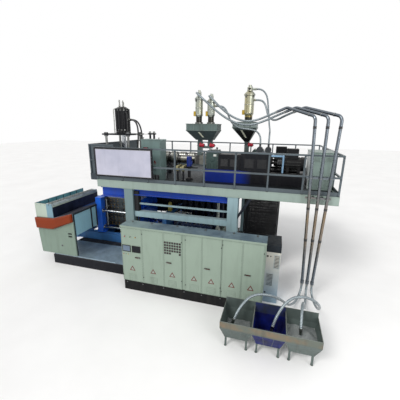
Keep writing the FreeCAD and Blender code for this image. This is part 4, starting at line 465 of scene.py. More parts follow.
HEAD_HOSES = {
    f"head_hose_{name}": (0.028, 1.294, "object", [
        (0.295, 0.06 * side, 4.84), (0.42, 0.06 * side, 4.84), (0.53, 0.072 * side, 4.79),
        (0.605, 0.088 * side, 4.69), (0.648, 0.108 * side, 4.55), (0.668, 0.128 * side, 4.39),
        (0.669, 0.142 * side, 4.22), (0.655, 0.149 * side, 4.06), (0.64, 0.15 * side, 3.915),
        (0.64, 0.15 * side, 3.775)])
    for name, side in (("1", -1), ("2", 1))
}


def hose(name, radius, points, finish):
    curve = bpy.data.curves.new(name, "CURVE")
    curve.dimensions = "3D"
    curve.bevel_depth = radius
    curve.bevel_resolution = 5
    curve.resolution_u = 10
    curve.use_fill_caps = True
    spline = curve.splines.new("NURBS")
    spline.points.add(len(points) - 1)
    for spot, place in zip(spline.points, points):
        spot.co = (*place, 1)
    spline.order_u = 3
    spline.use_endpoint_u = True
    curve.materials.append(finish.material)
    obj = bpy.data.objects.new(name, curve)
    scene.collection.objects.link(obj)
    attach(obj, "root")
    return obj


steel_lance = metal("lance_steel", rgb(170, 172, 168), 0.25, (1, 1, 8), 0.3)
for node, routes, finish in (("loader_hoses", LOADER_HOSES, clear_hose), ("suction_hoses", SUCTION_HOSES, clear_hose),
                             ("head_hoses", HEAD_HOSES, black_hose)):
    for name, (radius, length, far_end, points) in routes.items():
        obj = hose(name, radius, points, finish)
        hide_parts(node)
        if far_end == "tool":
            tip = Vector(points[-1])
            bm = bmesh.new()
            lathe(bm, tip, (Vector(points[-2]) - tip).normalized(),
                  [(0, 0), (0.022, 0), (0.026, 0), (0.033, 0.012), (0.033, 0.1), (0.036, 0.104), (0.036, 0.13),
                   (0.031, 0.134)])
            piece(f"{name}_nozzle", bm, steel_lance)
        bm = bmesh.new()
        start = Vector(points[0])
        way = (Vector(points[1]) - start).normalized()
        each(band, bm, (start + way * 0.012, start + way * 0.036), way, radius, 0.006, 0, 0.014, 24)
        spot = start + way * 0.019
        out = way.orthogonal().normalized()
        bar(bm, spot + out * (radius + 0.004), spot + out * (radius + 0.022), 0.007, 8)
        piece(f"{name}_clamp", bm, steel_lance)

# ---------------------------------------------------------------- finishes of the CAD nodes
SAGE = rgb(142, 158, 145)
PALE = rgb(144, 170, 177)
sage_paint = painted("paint_sage", SAGE, 0.4, 0.9, 0.16, 0.3)
dark_paint = painted("paint_dark", rgb(34, 36, 40), 0.4, 0.7, 0.2, 0.35, grime_colour=(0.08, 0.07, 0.06, 1))
black_plastic = painted("plastic_black", rgb(26, 26, 28), 0.45, 0.8, 0.1, 0.2, 0.25)
bright_steel = metal("steel_bright", rgb(176, 178, 174), 0.26, (1, 1, 24), 0.2)
worn_steel = metal("steel_worn", rgb(140, 142, 140), 0.38, (1, 1, 12), 0.45)
bolt_steel = metal("steel_bolts", rgb(120, 122, 124), 0.35, (6, 6, 6), 0.5)
door_paint = painted("paint_doors", SAGE, 0.36, 0.93, 0.12, 0.2, 0.1,
                     zones((rgb(36, 38, 42), before("Y", -2.9004, 0.0003))))
repaint(door_paint, *(f"cabinet_door_{number}" for number in range(1, 8)))


def canopy_zone(f, tint):
    top = f.both(f.past("Z", 1.9985), f.spread(f.along("Z", f.facing), 0.5, 0.8))
    # The top is a darker blue-grey than the sage front: partly its own tone, partly painted shade. Towards the left
    # end, below X 2.6, it is lightened as a painted highlight.
    top_tone_and_shade = f.cloud((2.4, 6, 0.62), 0.36, 0.66, rgb(62, 80, 98), rgb(104, 122, 134))
    top_tone_and_shade = f.mix(f.spread(f.along("X"), 2.0, 2.6, 0.7, 0.0), top_tone_and_shade, rgb(132, 152, 152))
    return f.mix(top, tint, f.cloud((9, 5, 0.6, (0.35, 1, 1)), 0.55, 0.75, top_tone_and_shade, rgb(38, 48, 62), 0.7))


def tray_zone(f, tint):
    inside = f.both(f.past("X", -2.127), f.before("X", -1.713), f.past("Y", -2.215), f.past("Z", 1.672))
    tint = f.mix(inside, tint, f.cloud((3, 5), 0.35, 0.7, rgb(120, 176, 186), rgb(74, 128, 142)))
    tint = f.mix(f.both(f.past("Z", 2.1185), f.before("X", -1.685)), tint, rgb(58, 62, 70))
    # The beam's pale upper part is partly the colour of its silver rail, partly a painted highlight on its lit top. Its
    # side facing +X is darkened below Z 2.01 as painted shade.
    beam = f.both(f.past("X", -1.685), f.past("Z", 2.058))
    tint = f.mix(beam, tint, f.cloud((5, 4), 0.4, 0.7, rgb(192, 204, 206), rgb(142, 158, 164)))
    shaded_flank = f.both(f.past("X", -1.4545, 0.001), f.before("Z", 2.01, 0.004))
    tint = f.mix(shaded_flank, tint, f.cloud((4, 4), 0.4, 0.7, rgb(30, 38, 58), rgb(16, 20, 32)))
    return f.mix(f.both(f.past("X", -1.69), f.before("Y", -2.2195, 0.001)), tint, rgb(120, 152, 166))


def sign_zone(f, tint):
    field = f.both(f.past("X", -0.044), f.before("X", 1.874), f.past("Z", 3.106), f.before("Z", 3.924))
    face = f.cloud((1.6, 4), 0.35, 0.7, rgb(190, 190, 206), rgb(170, 172, 190))
    face = f.cloud((6, 6, 0.65, (1, 1, 0.2)), 0.58, 0.8, face, rgb(120, 122, 134), 0.25)
    return f.mix(f.both(field, f.before("Y", -1.6)), tint, face)


def barrel_zone(f, tint):
    """Heater bands between bare lengths, which repeat along the barrels; the feed chutes stand above them."""
    tint = f.mix(f.past("Z", 3.737), tint, rgb(92, 104, 102))
    phase = f.sum("FRACT", f.sum("DIVIDE", f.sum("SUBTRACT", f.along("X"), 0.76), 0.33), 0.0)
    heater = f.both(f.before("Z", 3.737), f.spread(phase, 0.66, 0.67, 1, 0))
    return f.mix(f.both(heater, f.before("X", 4.3)), tint, rgb(118, 118, 112))


def loader_zone(f, tint):
    tint = f.mix(f.both(f.before("Z", 4.93), f.before("X", 3.8)), tint, rgb(58, 58, 54))
    tint = f.mix(f.both(f.before("Z", 5.01), f.past("X", 3.8)), tint, rgb(62, 62, 56))
    # The gold clouds on the upper steel are a painted reflection, not a colour of the steel.
    gold_reflection = f.spread(f.noise(2.2, 3, 0.5, (1, 1, 0.4)), 0.47, 0.64, 0, 0.42)
    return f.mix(f.both(gold_reflection, f.past("Z", 4.95)), tint, rgb(196, 176, 104))


def pipe_zone(f, tint):
    tan = f.both(f.spread(f.along("Z"), 1.0, 1.9), f.spread(f.along("Z"), 2.4, 3.3, 1, 0))
    return f.mix(f.both(tan, f.spread(f.noise(1.7, 3), 0.3, 0.6, 0.4, 0.9)), tint, rgb(142, 124, 100))


def bin_zone(f, tint):
    lining = f.both(f.past("X", 5.311), f.before("X", 5.964), f.past("Y", -4.304), f.before("Y", -3.567),
                    f.past("Z", 0.236))
    tint = f.mix(lining, tint, f.cloud((3, 4), 0.4, 0.65, rgb(18, 30, 110), rgb(10, 14, 62)))
    strip = f.both(f.before("Y", -4.3095, 0.0004), f.past("Z", 0.6, 0.03))
    return f.mix(strip, tint, f.cloud((3.5, 5, 0.6), 0.4, 0.65, rgb(104, 110, 102), rgb(128, 112, 92)))


repaint(painted("paint_cabinet", SAGE, 0.4, 0.9, 0.14, 0.0, 0.12, canopy_zone), "cabinet_shell")
repaint(painted("paint_plinth", rgb(12, 12, 15), 0.5, 0.7, 0.15, 0.06, grime_colour=(0.1, 0.09, 0.075, 1)),
        "cabinet_plinth")
repaint(painted("plastic_handle", rgb(22, 22, 24), 0.32, 0.7, 0.1, 0.2, 0.2),
        *(f"door_handle_{number}" for number in (1, 3, 5, 7)))
repaint(painted("paint_base", rgb(17, 19, 27), 0.5, 0.65, 0.3, 0.2, grime_colour=(0.02, 0.02, 0.022, 1)),
        "machine_base")
tread = metal("tread_aluminium", rgb(156, 178, 192), 0.36, (1, 1, 1), 0.3, (0.1, 0.11, 0.13, 1), grain=4,
              metallic=0.4)
studs, studs_across = (tread.node("TexWave", {"Vector": tread.place, "Scale": scale}, bands_direction=way)["Fac"]
                       for scale, way in ((9, "DIAGONAL"), (16, "X")))
tread.bump(tread.both(studs, studs_across), 0.7, 0.003)
repaint(tread, "tread_plate")
repaint(painted("paint_bed", rgb(72, 130, 196), 0.45, 0.6, 0.35, 0.15), "clamp_frame")
repaint(metal("chrome_bars", rgb(196, 200, 204), 0.14, (30, 1, 1), 0.15, (0.09, 0.075, 0.05, 1)),
        "tie_bars", "clamp_rod_left", "clamp_rod_right", "head_ram", "extruder_screw_a", "extruder_screw_b")
repaint(painted("paint_platens", rgb(38, 108, 228), 0.35, 0.75, 0.2, 0.12), "platen_left", "platen_right")
repaint(painted("paint_cylinders", rgb(30, 60, 140), 0.35, 0.7, 0.35, 0.3), "clamp_cylinders")
repaint(metal("mould_metal", rgb(112, 116, 118), 0.34, (1, 40, 1), 0.5, (0.03, 0.03, 0.035, 1)),
        "mould_half_left", "mould_half_right")
repaint(painted("paint_hydraulics", rgb(126, 142, 130), 0.42, 0.75, 0.4, 0.3, 0.12,
                zones((rgb(44, 56, 84), past("Z", 1.103)))), "hydraulic_unit")
repaint(painted("paint_gate", rgb(126, 144, 132), 0.4, 0.9, 0.2, 0.15), "safety_gate")
repaint(painted("paint_hood", rgb(128, 46, 4), 0.42, 0.8, 0.2, 0.06, grime_colour=(0.16, 0.05, 0.015, 1)),
        "safety_gate_hood")
repaint(painted("paint_tray", rgb(176, 190, 178), 0.38, 0.88, 0.2, 0.12, 0.1, tray_zone), "guard_tray")
repaint(painted("paint_screen", rgb(50, 54, 60), 0.3, 0.7, 0.2, 0.2, 0.1, zones(
    (rgb(146, 190, 204), past("X", -0.7212, 0.0004), before("X", -0.7068, 0.0004)))), "guard_screen")
repaint(painted("paint_columns", PALE, 0.42, 0.85, 0.3, 0.15, 0.12, zones(
    (rgb(116, 136, 138), before("X", 1.6, 0.2)), (rgb(24, 30, 40), past("X", 4.532), past("Z", 2.0)))),
    "deck_columns")
repaint(painted("paint_girders", rgb(30, 70, 170), 0.4, 0.72, 0.25, 0.3, 0.12, zones((PALE, before("Z", 2.2)))),
        "cross_girders")
repaint(painted("paint_deck_frame", rgb(148, 164, 157), 0.42, 0.9, 0.18, 0.2, 0.12, zones(
    (rgb(66, 74, 82), past("Y", -1.557), before("X", 7.058), before("Y", 2.77)))), "deck_frame")
deck_sheet = metal("deck_chequer", rgb(62, 68, 72), 0.5, (1, 1, 1), 0.5, (0.02, 0.02, 0.02, 1), grain=5)
lozenge = deck_sheet.node("TexVoronoi", {"Vector": deck_sheet.place, "Scale": 34, "Randomness": 0.15})["Distance"]
deck_sheet.bump(deck_sheet.spread(lozenge, 0.1, 0.3, 1, 0), 0.6, 0.003)
repaint(deck_sheet, "deck_plate")
repaint(painted("paint_railings", rgb(92, 102, 108), 0.36, 0.75, 0.2, 0.3, metallic=0.25, extra=zones(
    (rgb(54, 65, 73), before("X", -0.95), past("Y", -0.68)))), "deck_railings")
repaint(painted("paint_sign", rgb(30, 30, 36), 0.32, 0.85, 0.08, 0.2, 0.08, sign_zone), "sign_board")
repaint(metal("head_steel", rgb(138, 138, 134), 0.36, (1, 1, 14), 0.5, extra=zones(
    (rgb(50, 52, 56), past("Z", 2.935), before("Z", 2.995)), (rgb(92, 90, 86), before("Z", 2.36)))), "head_body")
repaint(metal("head_rods", rgb(150, 152, 150), 0.3, (1, 1, 24), 0.35, extra=zones(
    (rgb(40, 42, 46), past("Z", 4.306), before("Z", 4.364)), (rgb(44, 46, 50), past("X", 1.0)))), "head_frame")
repaint(painted("paint_jack", rgb(30, 31, 35), 0.32, 0.65, 0.25, 0.35, metallic=0.2, extra=zones(
    (rgb(150, 150, 146), past("Z", 5.285)))), "head_cylinder")
# Past X 4.62 the blue skids are painted near black as painted shade; the light-blue gap frame above it is its own
# colour.
repaint(painted("paint_skids", rgb(15, 44, 140), 0.38, 0.72, 0.3, 0.15, 0.12, zones(
    (rgb(18, 19, 24), past("X", 4.62, 0.16)), (rgb(128, 164, 194), past("Z", 3.333), past("X", 5.3)),
    (rgb(30, 34, 40), before("X", 3.2)))), "extruder_base")
repaint(metal("barrel_steel", rgb(82, 82, 82), 0.34, (10, 1, 1), 0.45, extra=barrel_zone), "extruder_barrels")
repaint(painted("paint_gearboxes", rgb(62, 80, 78), 0.4, 0.75, 0.35, 0.2), "gearboxes")
repaint(painted("paint_housings", rgb(15, 18, 25), 0.42, 0.7, 0.25, 0.12), "drive_housings")
repaint(painted("paint_motors", rgb(17, 18, 21), 0.42, 0.7, 0.25, 0.15), "extruder_motors")
repaint(painted("paint_pumps", rgb(58, 62, 66), 0.4, 0.7, 0.3, 0.4, extra=zones(
    (rgb(30, 76, 150), past("Y", -0.37), before("Z", 4.06)))), "vacuum_pumps")
repaint(painted("paint_hoppers", rgb(98, 114, 112), 0.46, 0.72, 0.4, 0.2, 0.2, zones(
    (rgb(60, 72, 74), before("Z", 4.512, 0.02)), (rgb(26, 29, 31), past("X", 3.8), before("Z", 4.56, 0.05)),
    (rgb(128, 140, 138), past("X", 3.8), past("Z", 4.61)), (rgb(70, 78, 80), before("Z", 4.128))), metallic=0.25),
        "hoppers")
gate_red = painted("paint_gate_red", rgb(168, 34, 52), 0.35, 0.75, 0.2, 0.2)
repaint(gate_red, "slide_gate_1", "slide_gate_2", "slide_gate_3")
repaint(metal("loader_steel", rgb(172, 178, 168), 0.26, (1, 1, 16), 0.25, extra=loader_zone), "hopper_loaders")
repaint(metal("pipe_steel", rgb(118, 126, 134), 0.24, (1, 1, 10), 0.3, extra=pipe_zone), "conveying_pipes")
# The control box's side facing +X is painted lighter than its front as a painted highlight; the other zones are the
# cabinets' own colours.
repaint(painted("paint_deck_boxes", rgb(112, 134, 132), 0.4, 0.82, 0.3, 0.25, 0.12, zones(
    (rgb(126, 144, 138), past("X", 6.0)), (rgb(214, 222, 222), past("X", 6.0), before("X", 6.4006, 0.0004)),
    (rgb(168, 196, 192), past("X", 2.0596, 0.0004), before("X", 3)),
    (rgb(26, 28, 30), before("Y", -1.3145, 0.0004), before("X", 3)))), "deck_cabinets")
repaint(painted("paint_chiller", rgb(214, 212, 202), 0.36, 0.92, 0.14, 0.1, 0.1, zones(
    (rgb(140, 164, 182), before("Z", 0.775, 0.575)), (rgb(34, 40, 46), past("Z", 1.5)))), "chiller")
repaint(painted("paint_mesh", rgb(24, 25, 28), 0.4, 0.8, 0.2, 0.2), "mesh_guard")
repaint(painted("paint_bins", rgb(98, 110, 107), 0.42, 0.7, 0.5, 0.2, 0.2, bin_zone, metallic=0.3), "granule_bins")

# ---------------------------------------------------------------- electrical cabinet
FACE = -2.9
DOORS = ((1.5, 0.64, 1.81), (2.14, 0.64, 2.45), (2.78, 0.52, 3.02), (3.39, 0.46, 3.64), (3.85, 0.515, 4.11),
         (4.375, 0.515, 4.65), (4.89, 0.52, 5.13))
plate_paint = painted("paint_blank_plates", rgb(104, 30, 30), 0.35, 0.8, 0.1, 0.1)
plate_field = painted("paint_plate_fields", rgb(150, 160, 152), 0.35, 0.9, 0.1, 0.05)
vent_shade = painted("paint_vent_backing", rgb(112, 126, 118), 0.5, 0.85, 0.3, 0.1)
glass_grey = painted("glass_screen_grey", rgb(104, 120, 138), 0.12, 0.85, 0.05, 0.1, 0.02)
glass_dark = painted("glass_screen_dark", rgb(20, 24, 30), 0.1, 0.7, 0.05, 0.1, 0.02)
meter_face = painted("plastic_meter_faces", rgb(62, 66, 74), 0.25, 0.8, 0.05, 0.1, 0.05)
meter_glow = painted("plastic_meter_bars", rgb(104, 66, 56), 0.25, 0.8, 0.05, 0.1, 0.05)


def louvre(name, left, width, low, height, face, paint, blades=8, body="root", backing=black_plastic):
    """A vent: backing sheet, folded frame and sloping blades on a face that looks to the front; the backing, darker
    than the blades, is painted shade for the inside seen between them.
    """
    right_side = left + width
    rim = 0.01
    bm = bmesh.new()
    slab(bm, left, right_side, face - 0.0015, face + 0.0005, low, low + height)
    piece(f"{name}_backing", bm, backing, body=body)
    bm = bmesh.new()
    border(bm, left - rim, right_side + rim, low - rim, low + height + rim, rim, face - 0.007, face)
    pitch = height / blades
    for z in steps(low + pitch / 2, pitch, blades):
        top, foot = z + pitch * 0.36, z - pitch * 0.22
        plate(bm, [(left, face - 0.0015, top), (right_side, face - 0.0015, top), (right_side, face - 0.0065, foot),
                   (left, face - 0.0065, foot)], 0.0014, (0, -0.6, -0.8))
    piece(f"{name}_blades", bm, paint, body=body)


for number, (left, width, middle) in enumerate(DOORS, 1):
    body = f"door_{number}"
    louvre(f"door_louvre_{number}", middle - 0.11, 0.22, 0.37, 0.16, FACE, sage_paint, body=body,
           backing=vent_shade)
    for label, half, tall, proud, paint in (("rim", 0.086, 0.148, 0.0025, plate_paint),
                                            ("field", 0.054, 0.093, 0.0034, plate_field)):
        low = 0.705 - tall / 3
        bm = bmesh.new()
        plate(bm, [(middle - half, FACE, low), (middle + half, FACE, low), (middle, FACE, low + tall)], proud, FRONT)
        piece(f"door_blank_plate_{label}_{number}", bm, paint, 0.0006, body)
    bm = bmesh.new()
    border(bm, left + 0.018, left + width - 0.018, 0.332, 1.93, 0.002, FACE - 0.0012, FACE)
    piece(f"door_fold_line_{number}", bm, door_paint, body=body)

face = FACE - 0.012
for number, (left, glass) in enumerate(((1.53, glass_grey), (1.83, glass_dark)), 1):
    bm = bmesh.new()
    slab(bm, left + 0.016, left + 0.239, face - 0.001, face + 0.001, 1.25, 1.41)
    piece(f"screen_glass_{number}", bm, glass, body="door_1")
    bm = bmesh.new()
    for start, end, low, high in ((0, 0.255, 1.41, 1.425), (0, 0.255, 1.23, 1.25), (0, 0.016, 1.25, 1.41),
                                  (0.239, 0.255, 1.25, 1.41)):
        slab(bm, left + start, left + end, face - 0.004, face, low, high)
    for x in steps(left + 0.03, 0.034, 6):
        slab(bm, x, x + 0.022, face - 0.0055, face - 0.004, 1.235, 1.245)
    piece(f"screen_bezel_{number}", bm, black_plastic, 0.001, "door_1")
for number, (x, tone) in enumerate(((1.62, rgb(176, 40, 32)), (1.79, rgb(60, 130, 70)), (1.95, rgb(196, 160, 40))),
                                   1):
    bm = bmesh.new()
    lathe(bm, (x, FACE - 0.022, 1.685), FRONT, [(0, 0.006), (0.01, 0.006), (0.013, 0.003), (0.014, 0), (0, 0)], 24)
    piece(f"button_cap_{number}", bm, painted(f"plastic_button_{number}", tone, 0.3, 0.8, 0.05, 0.1),
          body="door_1")
    bm = bmesh.new()
    lathe(bm, (x, FACE, 1.685), FRONT, [(0.0152, 0), (0.023, 0), (0.023, 0.005), (0.0152, 0.007)])
    piece(f"button_collar_{number}", bm, bright_steel, body="door_1")
for number, tone in enumerate((rgb(196, 44, 32), rgb(54, 132, 64), rgb(206, 170, 50), rgb(196, 198, 196)), 1):
    bm = bmesh.new()
    lathe(bm, (1.49 + 0.07 * number, FACE - 0.008, 1.15), FRONT,
          [(0, 0.007), (0.006, 0.006), (0.009, 0.003), (0.0095, 0), (0, 0)], 20)
    piece(f"lamp_lens_{number}", bm, painted(f"plastic_lamp_{number}", tone, 0.2, 0.85, 0.04, 0.1),
          body="door_1")
faces, bars, frames = bmesh.new(), bmesh.new(), bmesh.new()
face = FACE - 0.008
for level, column in itertools.product(range(5), range(7)):
    if level == 4 and column in (3, 4, 5):
        continue
    x = 2.8 + 0.07 * column
    z = 1.64 - 0.076 * level
    slab(faces, x + 0.005, x + 0.043, face - 0.0008, face + 0.0005, z + 0.016, z + 0.043)
    slab(bars, x + 0.009, x + 0.034, face - 0.0014, face - 0.0008, z + 0.031, z + 0.039)
    slab(bars, x + 0.009, x + 0.028, face - 0.0014, face - 0.0008, z + 0.02, z + 0.026)
    for start, end, low, high in ((0, 0.048, 0.043, 0.048), (0, 0.048, 0, 0.016), (0, 0.005, 0.016, 0.043),
                                  (0.043, 0.048, 0.016, 0.043)):
        slab(frames, x + start, x + end, face - 0.003, face, z + low, z + high)
    for key in steps(x + 0.008, 0.012, 3):
        slab(frames, key, key + 0.008, face - 0.004, face - 0.003, z + 0.005, z + 0.011)
piece("controller_faces", faces, meter_face, body="door_3")
piece("controller_bars", bars, meter_glow, body="door_3")
piece("controller_frames", frames, black_plastic, body="door_3")
for number in (1, 3, 5, 7):
    low, high = (Vector(corner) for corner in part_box(f"door_handle_{number}"))
    middle = (low.z + high.z) / 2
    bm = bmesh.new()
    slab(bm, low.x + 0.012, high.x - 0.012, low.y - 0.0012, low.y, middle - 0.005, middle + 0.005)
    piece(f"handle_inlay_{number}", bm, plate_paint, 0.0005, f"handle_{number}")
    bm = bmesh.new()
    lock_x = high.x - 0.025 if number == 1 else low.x + 0.025
    cap(bm, (lock_x, low.y, middle), FRONT, 0.011, 0.003, 0.009, 0.003, 24)
    piece(f"handle_cap_{number}", bm, bright_steel, body=f"handle_{number}")
bm = bmesh.new()
each(lathe, bm, spots((1.6, 2.74, 3.35, 4.36, 5.33), (-2.86, -2.5), 1.9995), UP,
     [(0, 0), (0.014, 0), (0.014, 0.004), (0.009, 0.004), (0.009, 0.009), (0, 0.009)], 18)
piece("canopy_screws", bm, bolt_steel)
for side, x, turn in (("left", 1.5, -1), ("right", 5.438, 1)):
    bm = bmesh.new()
    for z in steps(1.28, 0.028, 14):
        slab(bm, *sorted((x, x + 0.004 * turn)), -2.78, -2.56, z, z + 0.014)
    piece(f"cabinet_side_vent_{side}", bm, black_plastic)
    bm = bmesh.new()
    for strip in ((-2.8, -2.54, 1.255, 1.27), (-2.8, -2.54, 1.674, 1.689), (-2.8, -2.785, 1.27, 1.674),
                  (-2.555, -2.54, 1.27, 1.674)):
        slab(bm, *sorted((x, x + 0.005 * turn)), *strip)
    piece(f"cabinet_side_frame_{side}", bm, sage_paint)

# ---------------------------------------------------------------- sign board, rails and deck edge
SIGN_FACE = -1.661
FASCIA = -1.619
bm = bmesh.new()
each(cap, bm, [*spots((-0.067, 0.3, 0.915, 1.53, 1.897), SIGN_FACE, (3.0825, 3.9475)),
               *spots((-0.067, 1.897), SIGN_FACE, (3.3, 3.515, 3.73))], FRONT, 0.012, 0.006, 0.008, 0.005, 16)
piece("sign_screws", bm, bolt_steel)
bm = bmesh.new()
border(bm, -0.044, 1.874, 3.106, 3.924, 0.008, -1.652, -1.649)
piece("sign_bead", bm, bright_steel)

RAIL_SIDE = 0.045
FRONT_Y, BACK_Y, RIGHT_X = -1.611, 2.779, 7.067
WING_X, WING_Y = -1.042, -0.692
feet, bolts = bmesh.new(), bmesh.new()
for start, end, count in (((-0.081, FRONT_Y), (RIGHT_X, FRONT_Y), 9), ((RIGHT_X, FRONT_Y), (RIGHT_X, BACK_Y), 6),
                          ((WING_X, BACK_Y), (RIGHT_X, BACK_Y), 10), ((WING_X, WING_Y), (WING_X, BACK_Y), 4)):
    for index in range(count):
        share = index / (count - 1)
        x = start[0] + (end[0] - start[0]) * share
        y = start[1] + (end[1] - start[1]) * share
        for grow, low, high in ((0.004, 2.94, 2.955), (0.0035, 3.384, 3.392), (0.0035, 3.93, 3.938)):
            slab(feet, x - grow, x + RAIL_SIDE + grow, y - grow, y + RAIL_SIDE + grow, low, high)
        each(hexagon, bolts, spots((x + 0.011, x + 0.034), y + 0.011, 2.955), UP, 0.006, 0.006)
piece("rail_feet", feet, dark_paint, 0.001)
piece("rail_foot_bolts", bolts, bolt_steel)
bm = bmesh.new()
for x in (1.2, 2.5, 3.8, 5.1, 6.4):
    slab(bm, x - 0.003, x + 0.003, FASCIA - 0.0025, FASCIA, 2.706, 2.936)
for z in (2.722, 2.92):
    slab(bm, -0.089, 7.12, FASCIA - 0.0025, FASCIA, z - 0.002, z + 0.002)
piece("fascia_seams", bm, sage_paint)
bm = bmesh.new()
each(cap, bm, spots(steps(0.15, 0.55, 13), FASCIA, (2.745, 2.897)), FRONT, 0.0095, 0.0045, 0.007, 0.004, 12)
piece("fascia_rivets", bm, sage_paint)

# ---------------------------------------------------------------- accumulator head
head_cable = painted("cable_sleeve", rgb(40, 41, 44), 0.5, 0.75, 0.15, 0.2, 0.4)
terminal_paint = painted("paint_terminals", rgb(150, 152, 146), 0.38, 0.8, 0.3, 0.2, metallic=0.3)
boxes, straps, cables = bmesh.new(), bmesh.new(), bmesh.new()
for z in steps(2.55, 0.24, 5):
    for angle in (-100, -35, 150):
        out = heading(angle)
        if out.x > 0.6 and 3.4 < z + 0.16 < 3.75:
            continue
        spot = out * 0.356 + Vector((0, 0, z + 0.045))
        side = across(out) * 0.035
        rise = Vector((0, 0, 0.07))
        plate(boxes, [spot - side, spot + side, spot + side + rise, spot - side + rise], 0.045, out)
        start = spot + out * 0.022 + Vector((0, 0, 0.068))
        bar(cables, start, start + Vector((0, 0, 0.125)) + out * 0.012, 0.009, 10)
    each(band, straps, spots(0, 0, (z + 0.012, z + 0.136)), UP, 0.358, 0.004, 0, 0.012, 64)
    out = heading(-68)
    for lift in (0.018, 0.142):
        spot = out * 0.361 + Vector((0, 0, z + lift))
        bar(straps, spot - across(out) * 0.035, spot + across(out) * 0.035, 0.007, 8)
piece("head_heater_boxes", boxes, terminal_paint, 0.002)
piece("head_heater_straps", straps, bright_steel)
piece("head_heater_cables", cables, head_cable)

ROD = (-0.44, 0.44)
bm = bmesh.new()
for z, height in ((2.99, 0.045), (4.36, 0.04), (4.268, 0.04)):
    each(hexagon, bm, spots(ROD, ROD, z), UP, 0.072, height)
each(lathe, bm, spots(ROD, ROD, 3.035), UP, [(0.042, 0), (0.06, 0), (0.056, 0.008), (0.042, 0.008)], 24)
piece("head_rod_nuts", bm, bolt_steel, 0.002)
bm = bmesh.new()
each(hexagon, bm, [(x, y, 4.41) for x, y in circle(16, 0.246, 0.5)], UP, 0.014, 0.016)
each(hexagon, bm, [(x, y, 2.2755) for x, y in circle(12, 0.215)], DOWN, 0.011, 0.004)
each(hexagon, bm, [(x, y, 3.788) for x, y in circle(12, 0.298)], UP, 0.012, 0.014)
each(hexagon, bm, [*spots((-0.5, -0.25, 0, 0.25, 0.5), (-0.525, 0.525), 2.99),
                   *spots((-0.525, 0.525), (-0.3, -0.15, 0, 0.15, 0.3), 2.99)], UP, 0.016, 0.018)
piece("head_flange_bolts", bm, bolt_steel)
bm = bmesh.new()
each(cap, bm, [(x, y, 5.215) for x, y in circle(12, 0.222, 0.5)], UP, 0.013, 0.01, 0.01, 0.01, 10)
each(band, bm, spots(0, 0, (5.15, 4.47)), UP, 0.225, 0.007, 0.004, 0.024, 56)
piece("jack_rings", bm, bright_steel)

white_pipe = painted("pipe_white", rgb(214, 216, 212), 0.35, 0.85, 0.2, 0.15)
bm = bmesh.new()
bar(bm, (-0.3, -0.1, 4.36), (-0.3, -0.1, 5.19), 0.02, 16)
bar(bm, (-0.3, -0.1, 5.19), (-0.2, -0.07, 5.235), 0.02, 16)
each(band, bm, spots(-0.3, -0.1, (4.48, 4.8, 5.1)), UP, 0.02, 0.008, 0, 0.024, 16)
piece("jack_pipe_white", bm, white_pipe)
bm = bmesh.new()
for foot, bend, end, radius in (((-0.29, 0.06, 4.36), (-0.29, 0.06, 5.1), (-0.19, 0.04, 5.16), 0.026),
                                ((0.29, -0.19, 4.36), (0.29, -0.19, 5.04), (0.19, -0.12, 5.1), 0.022)):
    bar(bm, foot, bend, radius, 16)
    bar(bm, bend, end, radius, 16)
piece("jack_pipes_black", bm, black_hose)
bm = bmesh.new()
for x, y, top in ((-0.06, -0.06, 5.51), (0.03, 0.04, 5.45), (0.07, -0.05, 5.49)):
    hexagon(bm, (x, y, 5.3), UP, 0.036, 0.03)
    hexagon(bm, (x, y, top - 0.07), UP, 0.034, 0.026)
    band(bm, (x, y, 5.345), UP, 0.028, 0.006, 0.006, 0.024, 20)
each(hexagon, bm, spots(0.245, (-0.06, 0.06), 4.84), RIGHT, 0.052, 0.026)
each(hexagon, bm, spots(0.64, (-0.15, 0.15), 3.735), UP, 0.05, 0.024)
piece("hose_fittings", bm, bright_steel, 0.0012)

# valve stand beside the head
VALVE_Z = (3.2, 3.46, 3.74, 4.02)
bm = bmesh.new()
for z in VALVE_Z:
    slab(bm, 1.11, 1.24, -0.122, -0.02, z, z + 0.13)
    slab(bm, 1.085, 1.265, -0.1, -0.04, z + 0.13, z + 0.155)
piece("valve_stand_blocks", bm, painted("paint_valve_blocks", rgb(74, 78, 84), 0.35, 0.75, 0.3, 0.3, metallic=0.4),
      0.003)
bm = bmesh.new()
each(lathe, bm, spots((1.14, 1.21), -0.122, [z + 0.065 for z in VALVE_Z]), FRONT,
     [(0, 0.05), (0.02, 0.05), (0.022, 0.046), (0.022, 0.006), (0.016, 0), (0, 0)], 18)
piece("valve_stand_coils", bm, black_plastic)
bm = bmesh.new()
each(cap, bm, spots((1.1, 1.25), -0.06, 4.44), UP, 0.04, 0.012, 0.03, 0.01, 24)
each(hexagon, bm, spots((1.1, 1.25), -0.06, 4.395), UP, 0.05, 0.018)
piece("valve_stand_caps", bm, bright_steel)
bm = bmesh.new()
for y in (-0.09, -0.03):
    bar(bm, (0.54, y, 4.335), (1.06, y, 4.36), 0.011, 10)
piece("head_crossing_pipes", bm, bright_steel)

